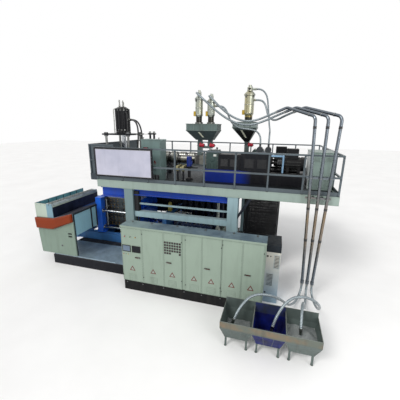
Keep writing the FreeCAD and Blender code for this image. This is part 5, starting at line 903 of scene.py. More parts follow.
# ---------------------------------------------------------------- extruder barrels, gearboxes and drives
tray_paint = painted("paint_cable_trays", rgb(70, 76, 82), 0.38, 0.8, 0.3, 0.3, metallic=0.4)
SCREW_Z = 3.585
lugs, clamps, leads, blowers = bmesh.new(), bmesh.new(), bmesh.new(), bmesh.new()
for y, right_end, side, stands, count in ((-0.4, 3.32, -1, (0.95, 1.95), 5),
                                          (0.4, 4.68, 1, (0.95, 1.95, 3.05, 4.05), 9)):
    lug_y, tray_y, stand_y = (y + side * reach for reach in (0.146, 0.195, 0.195))
    for x in steps(0.76, 0.33, count):
        slab(lugs, x + 0.06, x + 0.16, lug_y - 0.022, lug_y + 0.022, SCREW_Z + 0.02, SCREW_Z + 0.085)
        each(band, clamps, spots((x + 0.01, x + 0.102, x + 0.194), y, SCREW_Z), RIGHT, 0.15, 0.004, 0, 0.014, 40)
        bar(leads, (x + 0.11, y + side * 0.15, SCREW_Z + 0.08), (x + 0.11, y + side * 0.205, SCREW_Z - 0.235), 0.008,
            8)
        lathe(blowers, (x + 0.11, y, SCREW_Z - 0.245), UP,
              [(0, 0), (0.062, 0), (0.066, 0.012), (0.05, 0.075), (0.05, 0.1), (0, 0.1)], 24)
    slab(leads, 0.74, right_end - 0.3, tray_y - 0.035, tray_y + 0.035, SCREW_Z - 0.275, SCREW_Z - 0.235)
    for x in stands:
        slab(leads, x, x + 0.03, stand_y - 0.035, stand_y + 0.035, 2.94, SCREW_Z - 0.272)
piece("barrel_terminal_boxes", lugs, terminal_paint, 0.002)
piece("barrel_band_clamps", clamps, bright_steel)
piece("barrel_cable_trays", leads, tray_paint)
piece("barrel_blowers", blowers, dark_paint)

GEARBOXES = ((3.32, -0.4), (4.68, 0.4))
bm = bmesh.new()
ribs = bmesh.new()
for left, y in GEARBOXES:
    each(hexagon, bm, spots((left + 0.055, left + 0.2, left + 0.345), (y - 0.215, y + 0.215), 3.91), UP, 0.014, 0.014)
    for edge, way in ((-0.26, FRONT), (0.26, BACK)):
        each(hexagon, bm, spots((left + 0.024, left + 0.376), y + edge, (3.38, 3.5, 3.62, 3.74, 3.83)), way, 0.012,
             0.012)
    lathe(bm, (left + 0.28, y + 0.08, 3.91), UP,
          [(0.018, 0), (0.018, 0.03), (0.034, 0.032), (0.036, 0.07), (0.02, 0.085), (0, 0.086)], 24)
    for x in (left + 0.065, left + 0.145, left + 0.255, left + 0.335):
        slabs(ribs, (x - 0.008, x + 0.008, y - 0.278, y - 0.26, 3.345, 3.52),
              (x - 0.008, x + 0.008, y + 0.26, y + 0.278, 3.345, 3.52))
    slabs(ribs, (left, left + 0.4, y - 0.276, y - 0.26, 3.33, 3.35),
          (left, left + 0.4, y - 0.272, y - 0.26, 3.846, 3.866),
          (left + 0.12, left + 0.28, y - 0.1, y + 0.02, 3.91, 3.925))
    lathe(ribs, (left + 0.2, y - 0.26, 3.64), FRONT, [(0, 0.012), (0.07, 0.012), (0.082, 0.008), (0.084, 0), (0, 0)],
          40)
piece("gearbox_bolts", bm, bolt_steel)
piece("gearbox_ribs", ribs, painted("paint_gearbox_ribs", rgb(62, 80, 78), 0.4, 0.75, 0.35, 0.2),
      0.002)
bm = bmesh.new()
slabs(bm, (3.56, 3.655, -0.6625, -0.66, 3.735, 3.8), (4.92, 5.015, 0.1375, 0.14, 3.735, 3.8))
piece("gearbox_blank_plates", bm, white_pipe, 0.0008)

bm = bmesh.new()
number = 0
for face, left, right_side, top, size, vents, door_x, knobs in (
        (-0.66, 3.735, 4.425, 3.78, 0.22, (3.8, 4.1), 4.065, (4.03, 4.37)),
        (-0.73, 4.46, 5.31, 3.84, 0.26, (4.56, 4.94), 4.88, (4.85, 5.27))):
    for vent in vents:
        number += 1
        louvre(f"housing_louvre_{number}", vent, size, 3.44, size, face, dark_paint, 9)
    border(bm, left, right_side, 3.365, top, 0.005, face - 0.004, face)
    slab(bm, door_x, door_x + 0.005, face - 0.004, face, 3.37, top - 0.005)
    each(lathe, bm, spots(knobs, face, 3.68), FRONT, [(0, 0.014), (0.012, 0.014), (0.014, 0.004), (0.02, 0), (0, 0)],
         20)
piece("housing_panel_edges", bm, dark_paint)

cowl, eyes = bmesh.new(), bmesh.new()
for left, y in ((5.72, -0.4), (5.4, 0.4)):
    end = left + 0.56
    for radius in steps(0.04, 0.03, 6):
        lathe(cowl, (end, y, SCREW_Z), RIGHT,
              [(radius, 0), (radius + 0.007, 0), (radius + 0.007, 0.006), (radius, 0.006), (radius, 0)], 44)
    for dy, dz in circle(8, 1):
        bar(cowl, (end + 0.004, y + 0.02 * dy, SCREW_Z + 0.02 * dz),
            (end + 0.004, y + 0.205 * dy, SCREW_Z + 0.205 * dz),
            0.004, 6)
    slab(eyes, left + 0.055, left + 0.365, y - 0.142, y + 0.102, 4.03, 4.036)
    each(hexagon, eyes, spots((left + 0.075, left + 0.345), (y - 0.125, y + 0.085), 4.036), UP, 0.009, 0.007)
    for index in range(14):
        out = heading(-250 + 320 * index / 13) * 0.209
        if out.y > 0.35 * 0.209 and abs(out.x) < 0.85 * 0.209:
            continue
        bar(cowl, (left + 0.02, y + out.x, SCREW_Z + out.y), (left + 0.455, y + out.x, SCREW_Z + out.y), 0.0035, 6)
piece("motor_cowl_grilles", cowl, worn_steel)
piece("motor_box_lids", eyes, dark_paint, 0.001)
bm = bmesh.new()
for y, left in ((-0.4, 5.535), (0.4, 5.215)):
    each(hexagon, bm, [(left + 0.135, y + dy, SCREW_Z + dz) for dy, dz in circle(8, 0.075)], RIGHT, 0.01, 0.014)
    each(band, bm, spots((left - 0.009, left + 0.045, left + 0.095), y, SCREW_Z), RIGHT, 0.1, 0.005, 0.002, 0.018, 40)
piece("coupling_bolts", bm, bolt_steel)

# ---------------------------------------------------------------- hoppers and loaders
hopper_paint = painted("paint_hopper_trim", rgb(112, 126, 122), 0.44, 0.74, 0.4, 0.2, metallic=0.3)
sight_glass = painted("glass_sight_strips", rgb(206, 208, 188), 0.12, 0.85, 0.1, 0.05, 0.02)
THROATS = ((3.05, -0.4, 4.13), (3.39, -0.4, 4.13), (4.47, 0.4, 4.15))
trim, bolts, sight = bmesh.new(), bmesh.new(), bmesh.new()
for rim, rim_low, rim_high, foot, foot_low in (
        ((2.67, 3.66, -0.7, -0.1), 4.51, 4.72, (2.95, 3.49, -0.51, -0.29), 4.22),
        ((4.01, 4.77, 0.02, 0.78), 4.61, 4.8, (4.404, 4.536, 0.334, 0.466), 4.15)):
    edge_band(trim, rim, rim_high - 0.022, rim_high, 0.014)
    edge_band(trim, rim, rim_low, rim_low + 0.02, 0.012)
    for share in (0.25, 0.5, 0.75):
        x = rim[0] + (rim[1] - rim[0]) * share
        for y in ((rim[2] - 0.01, rim[2]), (rim[3], rim[3] + 0.01)):
            slab(trim, x - 0.011, x + 0.011, *y, rim_low + 0.02, rim_high - 0.022)
    for corner_x, corner_y in itertools.product((0, 1), (2, 3)):
        bar(trim, (foot[corner_x], foot[corner_y], foot_low), (rim[corner_x], rim[corner_y], rim_low), 0.007, 8)
    for x in steps(rim[0] + 0.05, (rim[1] - rim[0] - 0.1) / 6, 7):
        hexagon(bolts, (x, rim[2] - 0.012, rim_low + 0.01), FRONT, 0.008, 0.006)
        cap(bolts, (x, rim[2] + 0.022, rim_high), UP, 0.01, 0.006, 0.009, 0.004, 10)
    ends = []
    for x, share in (((foot[0] + foot[1]) / 2 - 0.02, 0.3), ((rim[0] + rim[1]) / 2 - 0.09, 0.86)):
        ends.append(Vector((x, foot[2] + (rim[2] - foot[2]) * share, foot_low + (rim_low - foot_low) * share)))
    lean = (ends[1] - ends[0]).normalized()
    out = lean.cross(Vector(RIGHT)).normalized()
    if out.y > 0:
        out = -out
    wide = Vector((0.026, 0, 0))
    plate(sight, [ends[0] - wide, ends[0] + wide, ends[1] + wide, ends[1] - wide], 0.004, out)
    for edge in (-1, 1):
        grow = Vector((0.008 * edge, 0, 0))
        low, high = (spot + wide * edge for spot in ends)
        plate(trim, [low, low + grow, high + grow, high], 0.007, out)
    wide = Vector((0.034, 0, 0))
    for spot in ends:
        plate(trim, [spot - wide, spot + wide, spot + wide + lean * 0.01, spot - wide + lean * 0.01], 0.007, out)
for x, y, top in THROATS:
    for low, high in ((top - 0.012, top), (4.03, 4.04)):
        edge_band(trim, (x - 0.075, x + 0.075, y - 0.075, y + 0.075), low, high, 0.014)
    each(hexagon, bolts, spots((x - 0.055, x + 0.055), (y - 0.082, y + 0.082), top), UP, 0.009, 0.008)
    each(hexagon, bolts, spots((x - 0.055, x + 0.055), y - 0.075, 4.06), FRONT, 0.008, 0.007)
piece("hopper_stiffeners", trim, hopper_paint, 0.0012)
piece("hopper_bolts", bolts, bolt_steel)
piece("hopper_sight_strips", sight, sight_glass, 0.001)

bands, latches, tops, trims, golds = bmesh.new(), bmesh.new(), bmesh.new(), bmesh.new(), bmesh.new()
for x, y, low, top, radius in ((3, -0.4, 4.72, 5.72, 0.12), (3.39, -0.4, 4.72, 5.61, 0.1176),
                               (4.47, 0.4, 4.8, 5.94, 0.156)):
    tall = top - low
    each(lathe, bands, spots(x, y, (low + 0.262, low + 0.47 * tall, low + 0.7 * tall)), UP,
         [(radius, 0), (radius + 0.005, 0.002), (radius + 0.008, 0.008), (radius + 0.005, 0.014), (radius, 0.016)],
         40)
    each(band, bands, spots(x, y, (low + 0.725 * tall, low + 0.75 * tall)), UP, radius * 1.15, 0.006, 0.002, 0.009,
         40)
    band(bands, (x, y, low + 0.02), UP, radius * 1.05, 0.008, 0, 0.012, 40)
    for angle in (-125, -35, 100):
        out = heading(angle)
        side = across(out)
        foot = Vector((x, y, low + 0.66 * tall)) + out * radius
        rise = Vector((0, 0, 0.1 * tall))
        proud = radius * 0.16
        plate(latches,
              [foot - side * 0.012, foot + side * 0.012, foot + side * 0.012 + rise, foot - side * 0.012 + rise],
              0.012 + proud, out)
        grip = foot + out * (0.016 + proud) + Vector((0, 0, 0.03))
        bar(latches, grip - side * 0.016, grip + side * 0.016, 0.006, 8)
    stem = radius * 0.55
    band(tops, (x, y, low + 0.86 * tall), UP, stem, 0.01, 0.002, 0.018, 30)
    band(tops, (x, y, low + 0.915 * tall), UP, stem, 0.008, 0.002, 0.012, 30)
    for angle in (20, 140, 260):
        spot = Vector((x, y, low + 0.94 * tall)) + heading(angle) * stem * 0.8
        bar(tops, spot, spot + Vector((0, 0, 0.045)), 0.006, 8)
        hexagon(tops, spot + Vector((0, 0, 0.02)), UP, 0.011, 0.01)
    front = y - stem
    slabs(trims,
          (x - stem * 0.5, x + stem * 0.5, front - 0.03, front + 0.004, low + 0.885 * tall, low + 0.905 * tall),
          (x - stem * 0.4, x + stem * 0.4, front - 0.04, front - 0.03, low + 0.87 * tall, low + 0.912 * tall))
    left = x - radius * 1.35
    each(cap, trims, spots(left, y - 0.01, (low + 0.3, low + 0.345)), LEFT, 0.012, 0.01, 0.01, 0.01, 14)
    slabs(golds, (left - 0.004, x - radius * 0.8, y - 0.064, y - 0.06, low + 0.236, low + 0.374),
          (left - 0.004, left, y - 0.064, y + 0.044, low + 0.236, low + 0.374),
          (x - radius * 1.2, x - radius * 0.95, y - 0.067, y - 0.064, low + 0.265, low + 0.345))
piece("loader_clamp_bands", bands, bright_steel)
piece("loader_latches", latches, worn_steel, 0.001)
piece("loader_top_fittings", tops, bright_steel)
piece("loader_switch_boxes", trims, dark_paint, 0.001)
piece("loader_level_boxes", golds, painted("paint_level_boxes", rgb(190, 160, 62), 0.35, 0.8, 0.2, 0.1),
      0.001)

for number, (x, y, top) in enumerate(THROATS, 1):
    bm = bmesh.new()
    x, z = x + 0.115, top - 0.055
    for end in (-1, 1):
        lathe(bm, (x, y + 0.055 * end, z), (0, end, 0),
              [(0.022, -0.004), (0.025, -0.002), (0.025, 0.006), (0.016, 0.01), (0, 0.01)], 20)
    each(band, bm, spots(x, (y - 0.033, y - 0.003, y + 0.027), z), BACK, 0.022, 0.0016, 0.001, 0.006, 20)
    piece(f"slide_grip_trim_{number}", bm, gate_red, body=f"slide_{number}")

reds, caps = bmesh.new(), bmesh.new()
for x, y in ((3.065, -0.4), (3.405, -0.4), (4.525, 0.4)):
    axis_y, z = y - 0.152, 4.062
    lathe(reds, (x, axis_y, z), RIGHT,
          [(0, 0), (0.046, 0), (0.054, 0.01), (0.054, 0.06), (0.05, 0.064), (0.05, 0.072),
                                        (0.054, 0.076), (0.054, 0.15), (0.046, 0.16), (0, 0.16)], 30)
    lathe(reds, (x + 0.03, axis_y, z + 0.05), UP, [(0.02, 0), (0.02, 0.03), (0, 0.032)], 18)
    lathe(caps, (x + 0.16, axis_y, z), RIGHT, [(0.03, 0), (0.03, 0.012), (0.014, 0.016), (0.014, 0.03), (0, 0.03)],
          24)
    slabs(caps, (x + 0.02, x + 0.034, axis_y + 0.03, y - 0.074, 4.04, 4.084),
          (x - 0.014, x, axis_y - 0.03, y - 0.074, 4.03, 4.094))
    each(hexagon, caps, [(x + 0.16, axis_y + dy, z + dz) for dy, dz in circle(4, 0.038, 0.5)], RIGHT, 0.006, 0.006)
piece("gate_actuators", reds, gate_red)
piece("gate_actuator_caps", caps, bolt_steel)

# ---------------------------------------------------------------- conveying pipes and their clips
PIPE_LOW, PIPE_RISE = 0.46, 4.44
couplings, clips = bmesh.new(), bmesh.new()
for index in range(3):
    low = Vector((6.46 + 0.13 * index, -1.8, PIPE_LOW))
    high = Vector((6.29 + 0.29 * index, -1.8, PIPE_LOW + PIPE_RISE))
    run = high - low
    way = run.normalized()
    for z, width in ((0.47, 0.085), (1.72, 0.07), (2.6, 0.06), (4.62, 0.06)):
        base = low + run * ((z - PIPE_LOW) / PIPE_RISE)
        lathe(couplings, base, way, [(0.038, 0), (0.043, 0.002), (0.043, width * 0.32), (0.041, width * 0.34),
                                     (0.041, width * 0.66), (0.043, width * 0.68), (0.043, width - 0.002),
                                     (0.038, width)])
        for share in (0.16, 0.84):
            spot = base + way * (width * share) + Vector((0, -0.046, 0))
            bar(couplings, spot - Vector((0.012, 0, 0)), spot + Vector((0.012, 0, 0)), 0.006, 8)
    for z in (2.9025, 3.4215):
        base = low + run * ((z - PIPE_LOW) / PIPE_RISE)
        band(clips, base - Vector((0, 0, 0.006)), UP, 0.0385, 0.0075, 0, 0.012, 24)
        for x in (base.x - 0.042, base.x + 0.042):
            bar(clips, (x, -1.8, z), (x, -1.738, z), 0.005, 8)
            hexagon(clips, (x, -1.768, z), FRONT, 0.011, 0.01)
    toward = (Vector((5.64 + 0.23 * index, -0.9, 5.165)) - high).normalized()
    band(clips, high + toward * 0.22, toward, 0.038, 0.006, 0.003, 0.025, 24)
piece("pipe_couplings", couplings, black_hose)
piece("pipe_clips", clips, worn_steel)

# ---------------------------------------------------------------- boxes on the deck
BOX_FACE, TALL_BOX_FACE = -1.314, -0.914
box_paint = painted("paint_deck_box_trim", rgb(112, 134, 132), 0.4, 0.82, 0.3, 0.2)
pale_box = painted("paint_deck_cabinet_trim", rgb(132, 150, 144), 0.4, 0.86, 0.25, 0.2)
louvre("deck_box_louvre", 1.56, 0.32, 3.27, 0.16, BOX_FACE, box_paint, 7)
bm = bmesh.new()
plate(bm, [(1.8, BOX_FACE, 3.53), (1.89, BOX_FACE, 3.53), (1.845, BOX_FACE, 3.61)], 0.003, FRONT)
slab(bm, 1.8, 1.89, -1.3165, BOX_FACE, 3.485, 3.505)
piece("deck_box_blank_plate", bm, plate_paint, 0.001)
bm = bmesh.new()
slab(bm, 1.5, 1.62, -1.3455, -1.344, 3.97, 3.985)
cap(bm, (1.6, -1.344, 3.9775), FRONT, 0.014, 0.006, 0.012, 0.006, 20)
piece("deck_box_grip_inlay", bm, gate_red, 0.0005)
bm = bmesh.new()
for x in (1.4245, 2.0155):
    slab(bm, x - 0.0015, x + 0.0015, -1.3152, BOX_FACE, 3.184, 4.186)
for z in (3.1855, 4.1845):
    slab(bm, 1.4245, 2.0155, -1.3152, BOX_FACE, z - 0.0015, z + 0.0015)
for z in (3.35, 3.7, 4.05):
    bar(bm, (2.043, -1.306, z - 0.03), (2.043, -1.306, z + 0.03), 0.0065, 12)
each(lathe, bm, spots((1.46, 1.98), -1.26, 4.236), UP,
     [(0.03, 0), (0.03, 0.008), (0.012, 0.01), (0.012, 0.03), (0.026, 0.04), (0.026, 0.052), (0.012, 0.06),
      (0, 0.06)], 20)
each(lathe, bm, spots(steps(1.5, 0.11, 5), -1.08, 3.15), DOWN,
     [(0, 0.03), (0.016, 0.03), (0.022, 0.022), (0.022, 0), (0, 0)], 14)
piece("deck_box_fittings", bm, worn_steel)
bm = bmesh.new()
for x in steps(1.5, 0.11, 5):
    bar(bm, (x, -1.08, 3.122), (x + 0.015, -1.05, 2.944), 0.012, 10)
    lathe(bm, (x + 0.015, -1.05, 2.94), UP, [(0.012, 0.012), (0.022, 0.008), (0.026, 0), (0, 0)], 14)
piece("deck_box_conduits", bm, head_cable)

for number, left in enumerate((6.489, 6.799), 1):
    louvre(f"deck_cabinet_louvre_{number}", left, 0.152, 3.06, 0.2, TALL_BOX_FACE, pale_box)
    louvre(f"deck_cabinet_vent_{number}", left, 0.152, 3.74, 0.12, TALL_BOX_FACE, pale_box, 5)
bm = bmesh.new()
for x in (6.692, 6.748):
    bar(bm, (x, -0.936, 3.42), (x, -0.936, 3.58), 0.008, 12)
    for z in (3.43, 3.57):
        bar(bm, (x, TALL_BOX_FACE, z), (x, -0.936, z), 0.007, 10)
    cap(bm, (x, TALL_BOX_FACE, 3.36), FRONT, 0.014, 0.008, 0.011, 0.008, 18)
for x, y, z in spots((6.4205, 7.0195), -0.9185, (3.14, 3.48, 3.82)):
    bar(bm, (x, y, z - 0.028), (x, y, z + 0.028), 0.0065, 12)
piece("deck_cabinet_handles", bm, bright_steel)
bm = bmesh.new()
slabs(bm, (6.392, 7.048, -0.912, 0.108, 3.98, 3.992), (6.4, 7.04, -0.904, -0.9, 2.942, 2.99))
for y in (-0.75, -0.5, -0.25, 0):
    slab(bm, 7.04, 7.044, y - 0.002, y + 0.002, 2.96, 3.97)
piece("deck_cabinet_cap", bm, pale_box, 0.0015)

# ---------------------------------------------------------------- chiller
CHILLER_FACE = -2.3
GRILLES = ((5.66, 1.052, 0.12), (5.49, 0.512, 0.16))
# The black backing sheet behind the grille bars is painted shade for the inside seen between them.
bm = bmesh.new()
for left, low, width in GRILLES:
    slab(bm, left - 0.003, left + width + 0.003, -2.2765, -2.275, low, low + 0.36)
    for z in steps(low + 0.01, 0.04, 9):
        slab(bm, left + 0.004, left + width - 0.004, -2.2925, -2.29, z, z + 0.016)
piece("chiller_grille_backing", bm, black_plastic)
bm = bmesh.new()
for left, low, width in GRILLES:
    border(bm, left - 0.012, left + width + 0.012, low - 0.012, low + 0.382, 0.012, -2.305, CHILLER_FACE)
for z in (0.1, 0.47, 0.94, 1.46):
    slab(bm, 5.442, 5.798, -2.3012, CHILLER_FACE, z, z + 0.003)
for x in (5.442, 5.795):
    slab(bm, x, x + 0.003, -2.3012, CHILLER_FACE, 0.1, 1.46)
for z in (0.1, 0.75, 1.46):
    slab(bm, 5.81, 5.8112, -2.27, -1.63, z, z + 0.003)
piece("chiller_seams", bm, painted("paint_chiller_trim", rgb(178, 190, 194), 0.36, 0.92, 0.14, 0.1))
bm = bmesh.new()
each(lathe, bm, spots((5.5, 5.74), (-2.22, -1.68), 0), UP,
     [(0, 0), (0.034, 0), (0.034, 0.012), (0.014, 0.02), (0, 0.02)], 18)
lathe(bm, (5.48, CHILLER_FACE, 0.3), FRONT, [(0, 0.016), (0.017, 0.016), (0.02, 0.004), (0.026, 0), (0, 0)], 24)
cap(bm, (5.48, CHILLER_FACE, 1.38), FRONT, 0.026, 0.01, 0.022, 0.01, 24)
cap(bm, (5.56, CHILLER_FACE, 1.38), FRONT, 0.016, 0.01, 0.014, 0.01, 24)
for z in steps(1.54, 0.02, 7):
    slab(bm, 5.81, 5.813, -2.2, -1.7, z, z + 0.008)
piece("chiller_knobs_feet", bm, dark_paint, 0.001)
bm = bmesh.new()
each(lathe, bm, spots(5.43, -1.75, (1.35, 1.2)), LEFT,
     [(0.02, 0), (0.026, 0.004), (0.026, 0.05), (0.02, 0.055), (0, 0.055)], 20)
piece("chiller_water_ports", bm, bright_steel)

# ---------------------------------------------------------------- mesh guard
MESH_FIELDS = ((0.14, 1.21), (1.25, 2.38))
COLUMNS, ROWS, SLATS = 48, 52, 40
mesh_paint = painted("paint_mesh_wires", rgb(24, 25, 28), 0.42, 0.8, 0.2, 0.2)
bm = bmesh.new()
for index in range(1, COLUMNS):
    x = 4.64 + 1.02 * index / COLUMNS
    for low, high in MESH_FIELDS:
        slab(bm, x - 0.0026, x + 0.0026, -0.476, -0.4734, low, high)
for index in range(1, ROWS):
    for low, high in MESH_FIELDS:
        z = low + (high - low) * index / ROWS
        slab(bm, 4.64, 5.66, -0.4734, -0.4708, z - 0.0026, z + 0.0026)
piece("mesh_fine_wires", bm, mesh_paint, smooth=False)
bm = bmesh.new()
for low, high in MESH_FIELDS:
    pitch = (high - low) / SLATS
    for z in steps(low + 0.0015, pitch, SLATS):
        top = z + pitch - 0.003
        plate(bm, [(4.642, -0.47, z), (5.658, -0.47, z), (5.658, -0.464, top), (4.642, -0.464, top)], 0.0012, BACK)
piece("mesh_slat_screen", bm, mesh_paint, smooth=False)
bm = bmesh.new()
for x in (4.62, 5.68):
    slab(bm, x - 0.055, x + 0.055, -0.535, -0.425, 0, 0.008)
    each(hexagon, bm, spots((x - 0.04, x + 0.04), -0.518, 0.008), UP, 0.012, 0.01)
    for z in (0.3, 1.23, 2.2):
        slab(bm, x - 0.024, x + 0.024, -0.504, -0.5, z - 0.02, z + 0.02)
        cap(bm, (x, -0.504, z), FRONT, 0.012, 0.006, 0.009, 0.005, 14)
piece("mesh_feet_clips", bm, worn_steel, 0.0008)

# ---------------------------------------------------------------- mould halves and platens
TIE_BARS = ((-0.69, 0.69), (0.88, 1.53))
CLAMP_Z = 1.2
rubber = painted("hose_mould_tails", rgb(30, 31, 34), 0.5, 0.75, 0.15, 0.2, 0.4)
brass = metal("brass_fittings", rgb(186, 150, 84), 0.3, (6, 6, 6), 0.35)
for side, turn in (("left", -1), ("right", 1)):
    body = f"{side}_platen"
    inward = (-turn, 0, 0)
    manifold, tails, nipples = bmesh.new(), bmesh.new(), bmesh.new()
    for x in (0.13 * turn, 0.28 * turn, 0.43 * turn):
        for z in (0.96, 1.02, 1.15, 1.25, 1.39, 1.49, 1.63, 1.73, 1.87, 1.96):
            hexagon(nipples, (x, -0.48, z), FRONT, 0.017, 0.014)
            bar(nipples, (x, -0.494, z), (x, -0.522, z), 0.01, 10)
        for low, high in ((1.02, 1.15), (1.25, 1.39), (1.49, 1.63), (1.73, 1.87)):
            pipe_run(tails, [(x, -0.52, low), (x, -0.56, low + 0.006), (x, -0.585, (low + high) / 2),
                             (x, -0.56, high - 0.006), (x, -0.52, high)], 0.011, 8)
    x = 0.54 * turn
    bar(manifold, (x, -0.6, 0.93), (x, -0.6, 1.97), 0.024, 18)
    each(lathe, manifold, spots(x, -0.6, (0.93, 1.955)), UP, [(0, 0), (0.031, 0), (0.031, 0.016), (0, 0.016)], 6)
    for z in (0.96, 1.15, 1.39, 1.49, 1.63, 1.87, 1.96):
        hexagon(manifold, (x, -0.576, z - 0.01), BACK, 0.015, 0.02)
        pipe_run(tails, [(x, -0.556, z - 0.01), (0.52 * turn, -0.54, z - 0.01), (0.46 * turn, -0.53, z),
                         (0.43 * turn, -0.522, z)], 0.01, 8)
    for z in (1.2, 1.68):
        side_slab(manifold, turn, 0.49, 0.575, -0.58, -0.48, z - 0.012, z + 0.012)
    piece(f"mould_water_manifold_{side}", manifold, bright_steel, 0.001, body)
    piece(f"mould_hose_tails_{side}", tails, rubber, body=body)
    piece(f"mould_nipples_{side}", nipples, brass, body=body)
    bm = bmesh.new()
    each(cap, bm, spots(0.58 * turn, (-0.42, 0.42), (0.96, 1.46, 1.95)), inward, 0.02, 0.012, 0.016, 0.012, 18)
    for y, claw in ((-0.592, (-0.61, -0.547)), (0.592, (0.547, 0.61))):
        for z in (0.95, 1.28, 1.64, 1.93):
            side_slab(bm, turn, 0.64, 0.585, y - 0.018, y + 0.018, z - 0.03, z + 0.03)
            side_slab(bm, turn, 0.5785, 0.556, *claw, z - 0.03, z + 0.03)
            hexagon(bm, (0.556 * turn, y, z), inward, 0.016, 0.016)
            hexagon(bm, (0.585 * turn, y, z), inward, 0.011, 0.007)
    side_slab(bm, turn, 0.1, 0.52, -0.492, -0.48, 0.912, 0.935)
    each(cap, bm, spots((0.14 * turn, 0.34 * turn, 0.5 * turn), (-0.3, 0.3), 2.01), UP, 0.024, 0.01, 0.02, 0.01, 20)
    x = 0.4 * turn
    for y in (-0.18, 0.18):
        bmesh.ops.create_cone(bm, segments=20, radius1=0.03, radius2=0.022, depth=0.014, cap_ends=True,
                              matrix=Matrix.Translation((x, y, 2.017)))
        pipe_run(bm, [(x, y - 0.022, 2.022), (x, y - 0.022, 2.06), (x, y, 2.078), (x, y + 0.022, 2.06),
                      (x, y + 0.022, 2.022)], 0.007, 8)
    piece(f"mould_clamps_{side}", bm, bolt_steel, 0.001, body)
    bm = bmesh.new()
    for y, z, (x, way) in itertools.product(*TIE_BARS, ((0.64, -turn), (0.88, turn))):
        lathe(bm, (x * turn, y, z), (way, 0, 0),
              [(0.0475, 0), (0.0475, 0.012), (0.074, 0.012), (0.082, 0.004), (0.082, 0)], 32)
        each(hexagon, bm, [(x * turn + 0.012 * way, y + dy, z + dz) for dy, dz in circle(6, 0.062, 1.2 / math.pi)],
             (way, 0, 0), 0.006, 0.006)
    piece(f"platen_bushes_{side}", bm, bright_steel, body=body)
    bm = bmesh.new()
    for y, (low, high) in itertools.product((-0.74, -0.64, 0.64, 0.74), ((0.72, 0.79), (0.98, 1.43), (1.63, 2.02))):
        side_slab(bm, turn, 0.6385, 0.64, y - 0.0015, y + 0.0015, low, high)
    each(cap, bm, [(x * turn, -0.8, z) for z in (0.76, 1.06, 1.34, 1.72, 1.98) for x in (0.69, 0.83)], FRONT,
         0.013, 0.006, 0.01, 0.005, 14)
    each(cap, bm, spots((0.7 * turn, 0.82 * turn), (-0.5, 0, 0.5), 2.05), UP, 0.02, 0.014, 0.016, 0.014, 6)
    piece(f"platen_screws_{side}", bm, bolt_steel, body=body)
bolts, ribs, bands = bmesh.new(), bmesh.new(), bmesh.new()
for turn in (-1, 1):
    outward = (turn, 0, 0)
    each(hexagon, bolts, [(2 * turn, dy, CLAMP_Z + dz) for dy, dz in circle(12, 0.182)], outward, 0.014, 0.014)
    for y, z in itertools.product(*TIE_BARS):
        lathe(bolts, (2.03 * turn, y, z), outward, [(0.045, 0), (0.066, 0), (0.07, -0.004), (0.07, -0.012)])
        for dy, dz in circle(6, 0.071):
            bar(bolts, (1.975 * turn, y + dy, z + dz), (2.02 * turn, y + dy, z + dz), 0.005, 8)
    for y in (-0.432, 0.408):
        plate(ribs, [(1.81 * turn, y, 0.6), (1.62 * turn, y, 0.6), (1.81 * turn, y, 1)], 0.024, BACK)
    for y in (-0.76, 0.76):
        side_slab(ribs, turn, 1.955, 1.965, y - 0.012, y + 0.012, 0.66, 1.63)
    side_slab(ribs, turn, 1.955, 1.965, -0.78, 0.78, 1.6, 1.625)
    band(bands, (1.35 * turn, 0, CLAMP_Z), outward, 0.15, 0.012, 0.004, 0.044, 48)
    band(bands, (1.7 * turn, 0, CLAMP_Z), outward, 0.15, 0.008, 0.003, 0.023, 48)
    each(hexagon, bands, [(1.34 * turn, dy, CLAMP_Z + dz) for dy, dz in circle(8, 0.125, 0.5)], (-turn, 0, 0), 0.012,
         0.01)
    each(lathe, bands, spots((1.42 * turn, 1.77 * turn), 0, 1.348), UP,
         [(0, 0.042), (0.024, 0.042), (0.03, 0.034), (0.03, 0), (0, 0)], 6)
piece("end_plate_bolts", bolts, bolt_steel)
piece("end_plate_ribs", ribs, painted("paint_bed_trim", rgb(52, 98, 168), 0.45, 0.6, 0.35, 0.15), 0.002)
piece("cylinder_bands", bands, painted("paint_cylinder_trim", rgb(30, 60, 140), 0.35, 0.7, 0.35, 0.3),
      0.001)
bm = bmesh.new()
pipe_run(bm, [(1.42, 0, 1.385), (1.42, 0, 1.5), (1.42, 0.12, 1.5), (1.72, 0.12, 1.5), (1.72, 0.12, 1.69),
              (2.2, 0.12, 1.69), (2.2, -0.56, 1.69), (2.62, -0.56, 1.69), (2.62, -0.56, 1.358)], 0.016)
pipe_run(bm, [(1.77, 0, 1.385), (1.77, 0, 1.73), (2.3, 0, 1.73), (2.3, -0.5, 1.73), (2.78, -0.5, 1.73),
              (2.78, -0.5, 1.358)], 0.016)
each(hexagon, bm, spots((1.42, 1.77), 0, 1.385), UP, 0.028, 0.03)
each(hexagon, bm, ((2.62, -0.56, 1.358), (2.78, -0.5, 1.358)), UP, 0.03, 0.034)
piece("cylinder_oil_pipes", bm, bright_steel)

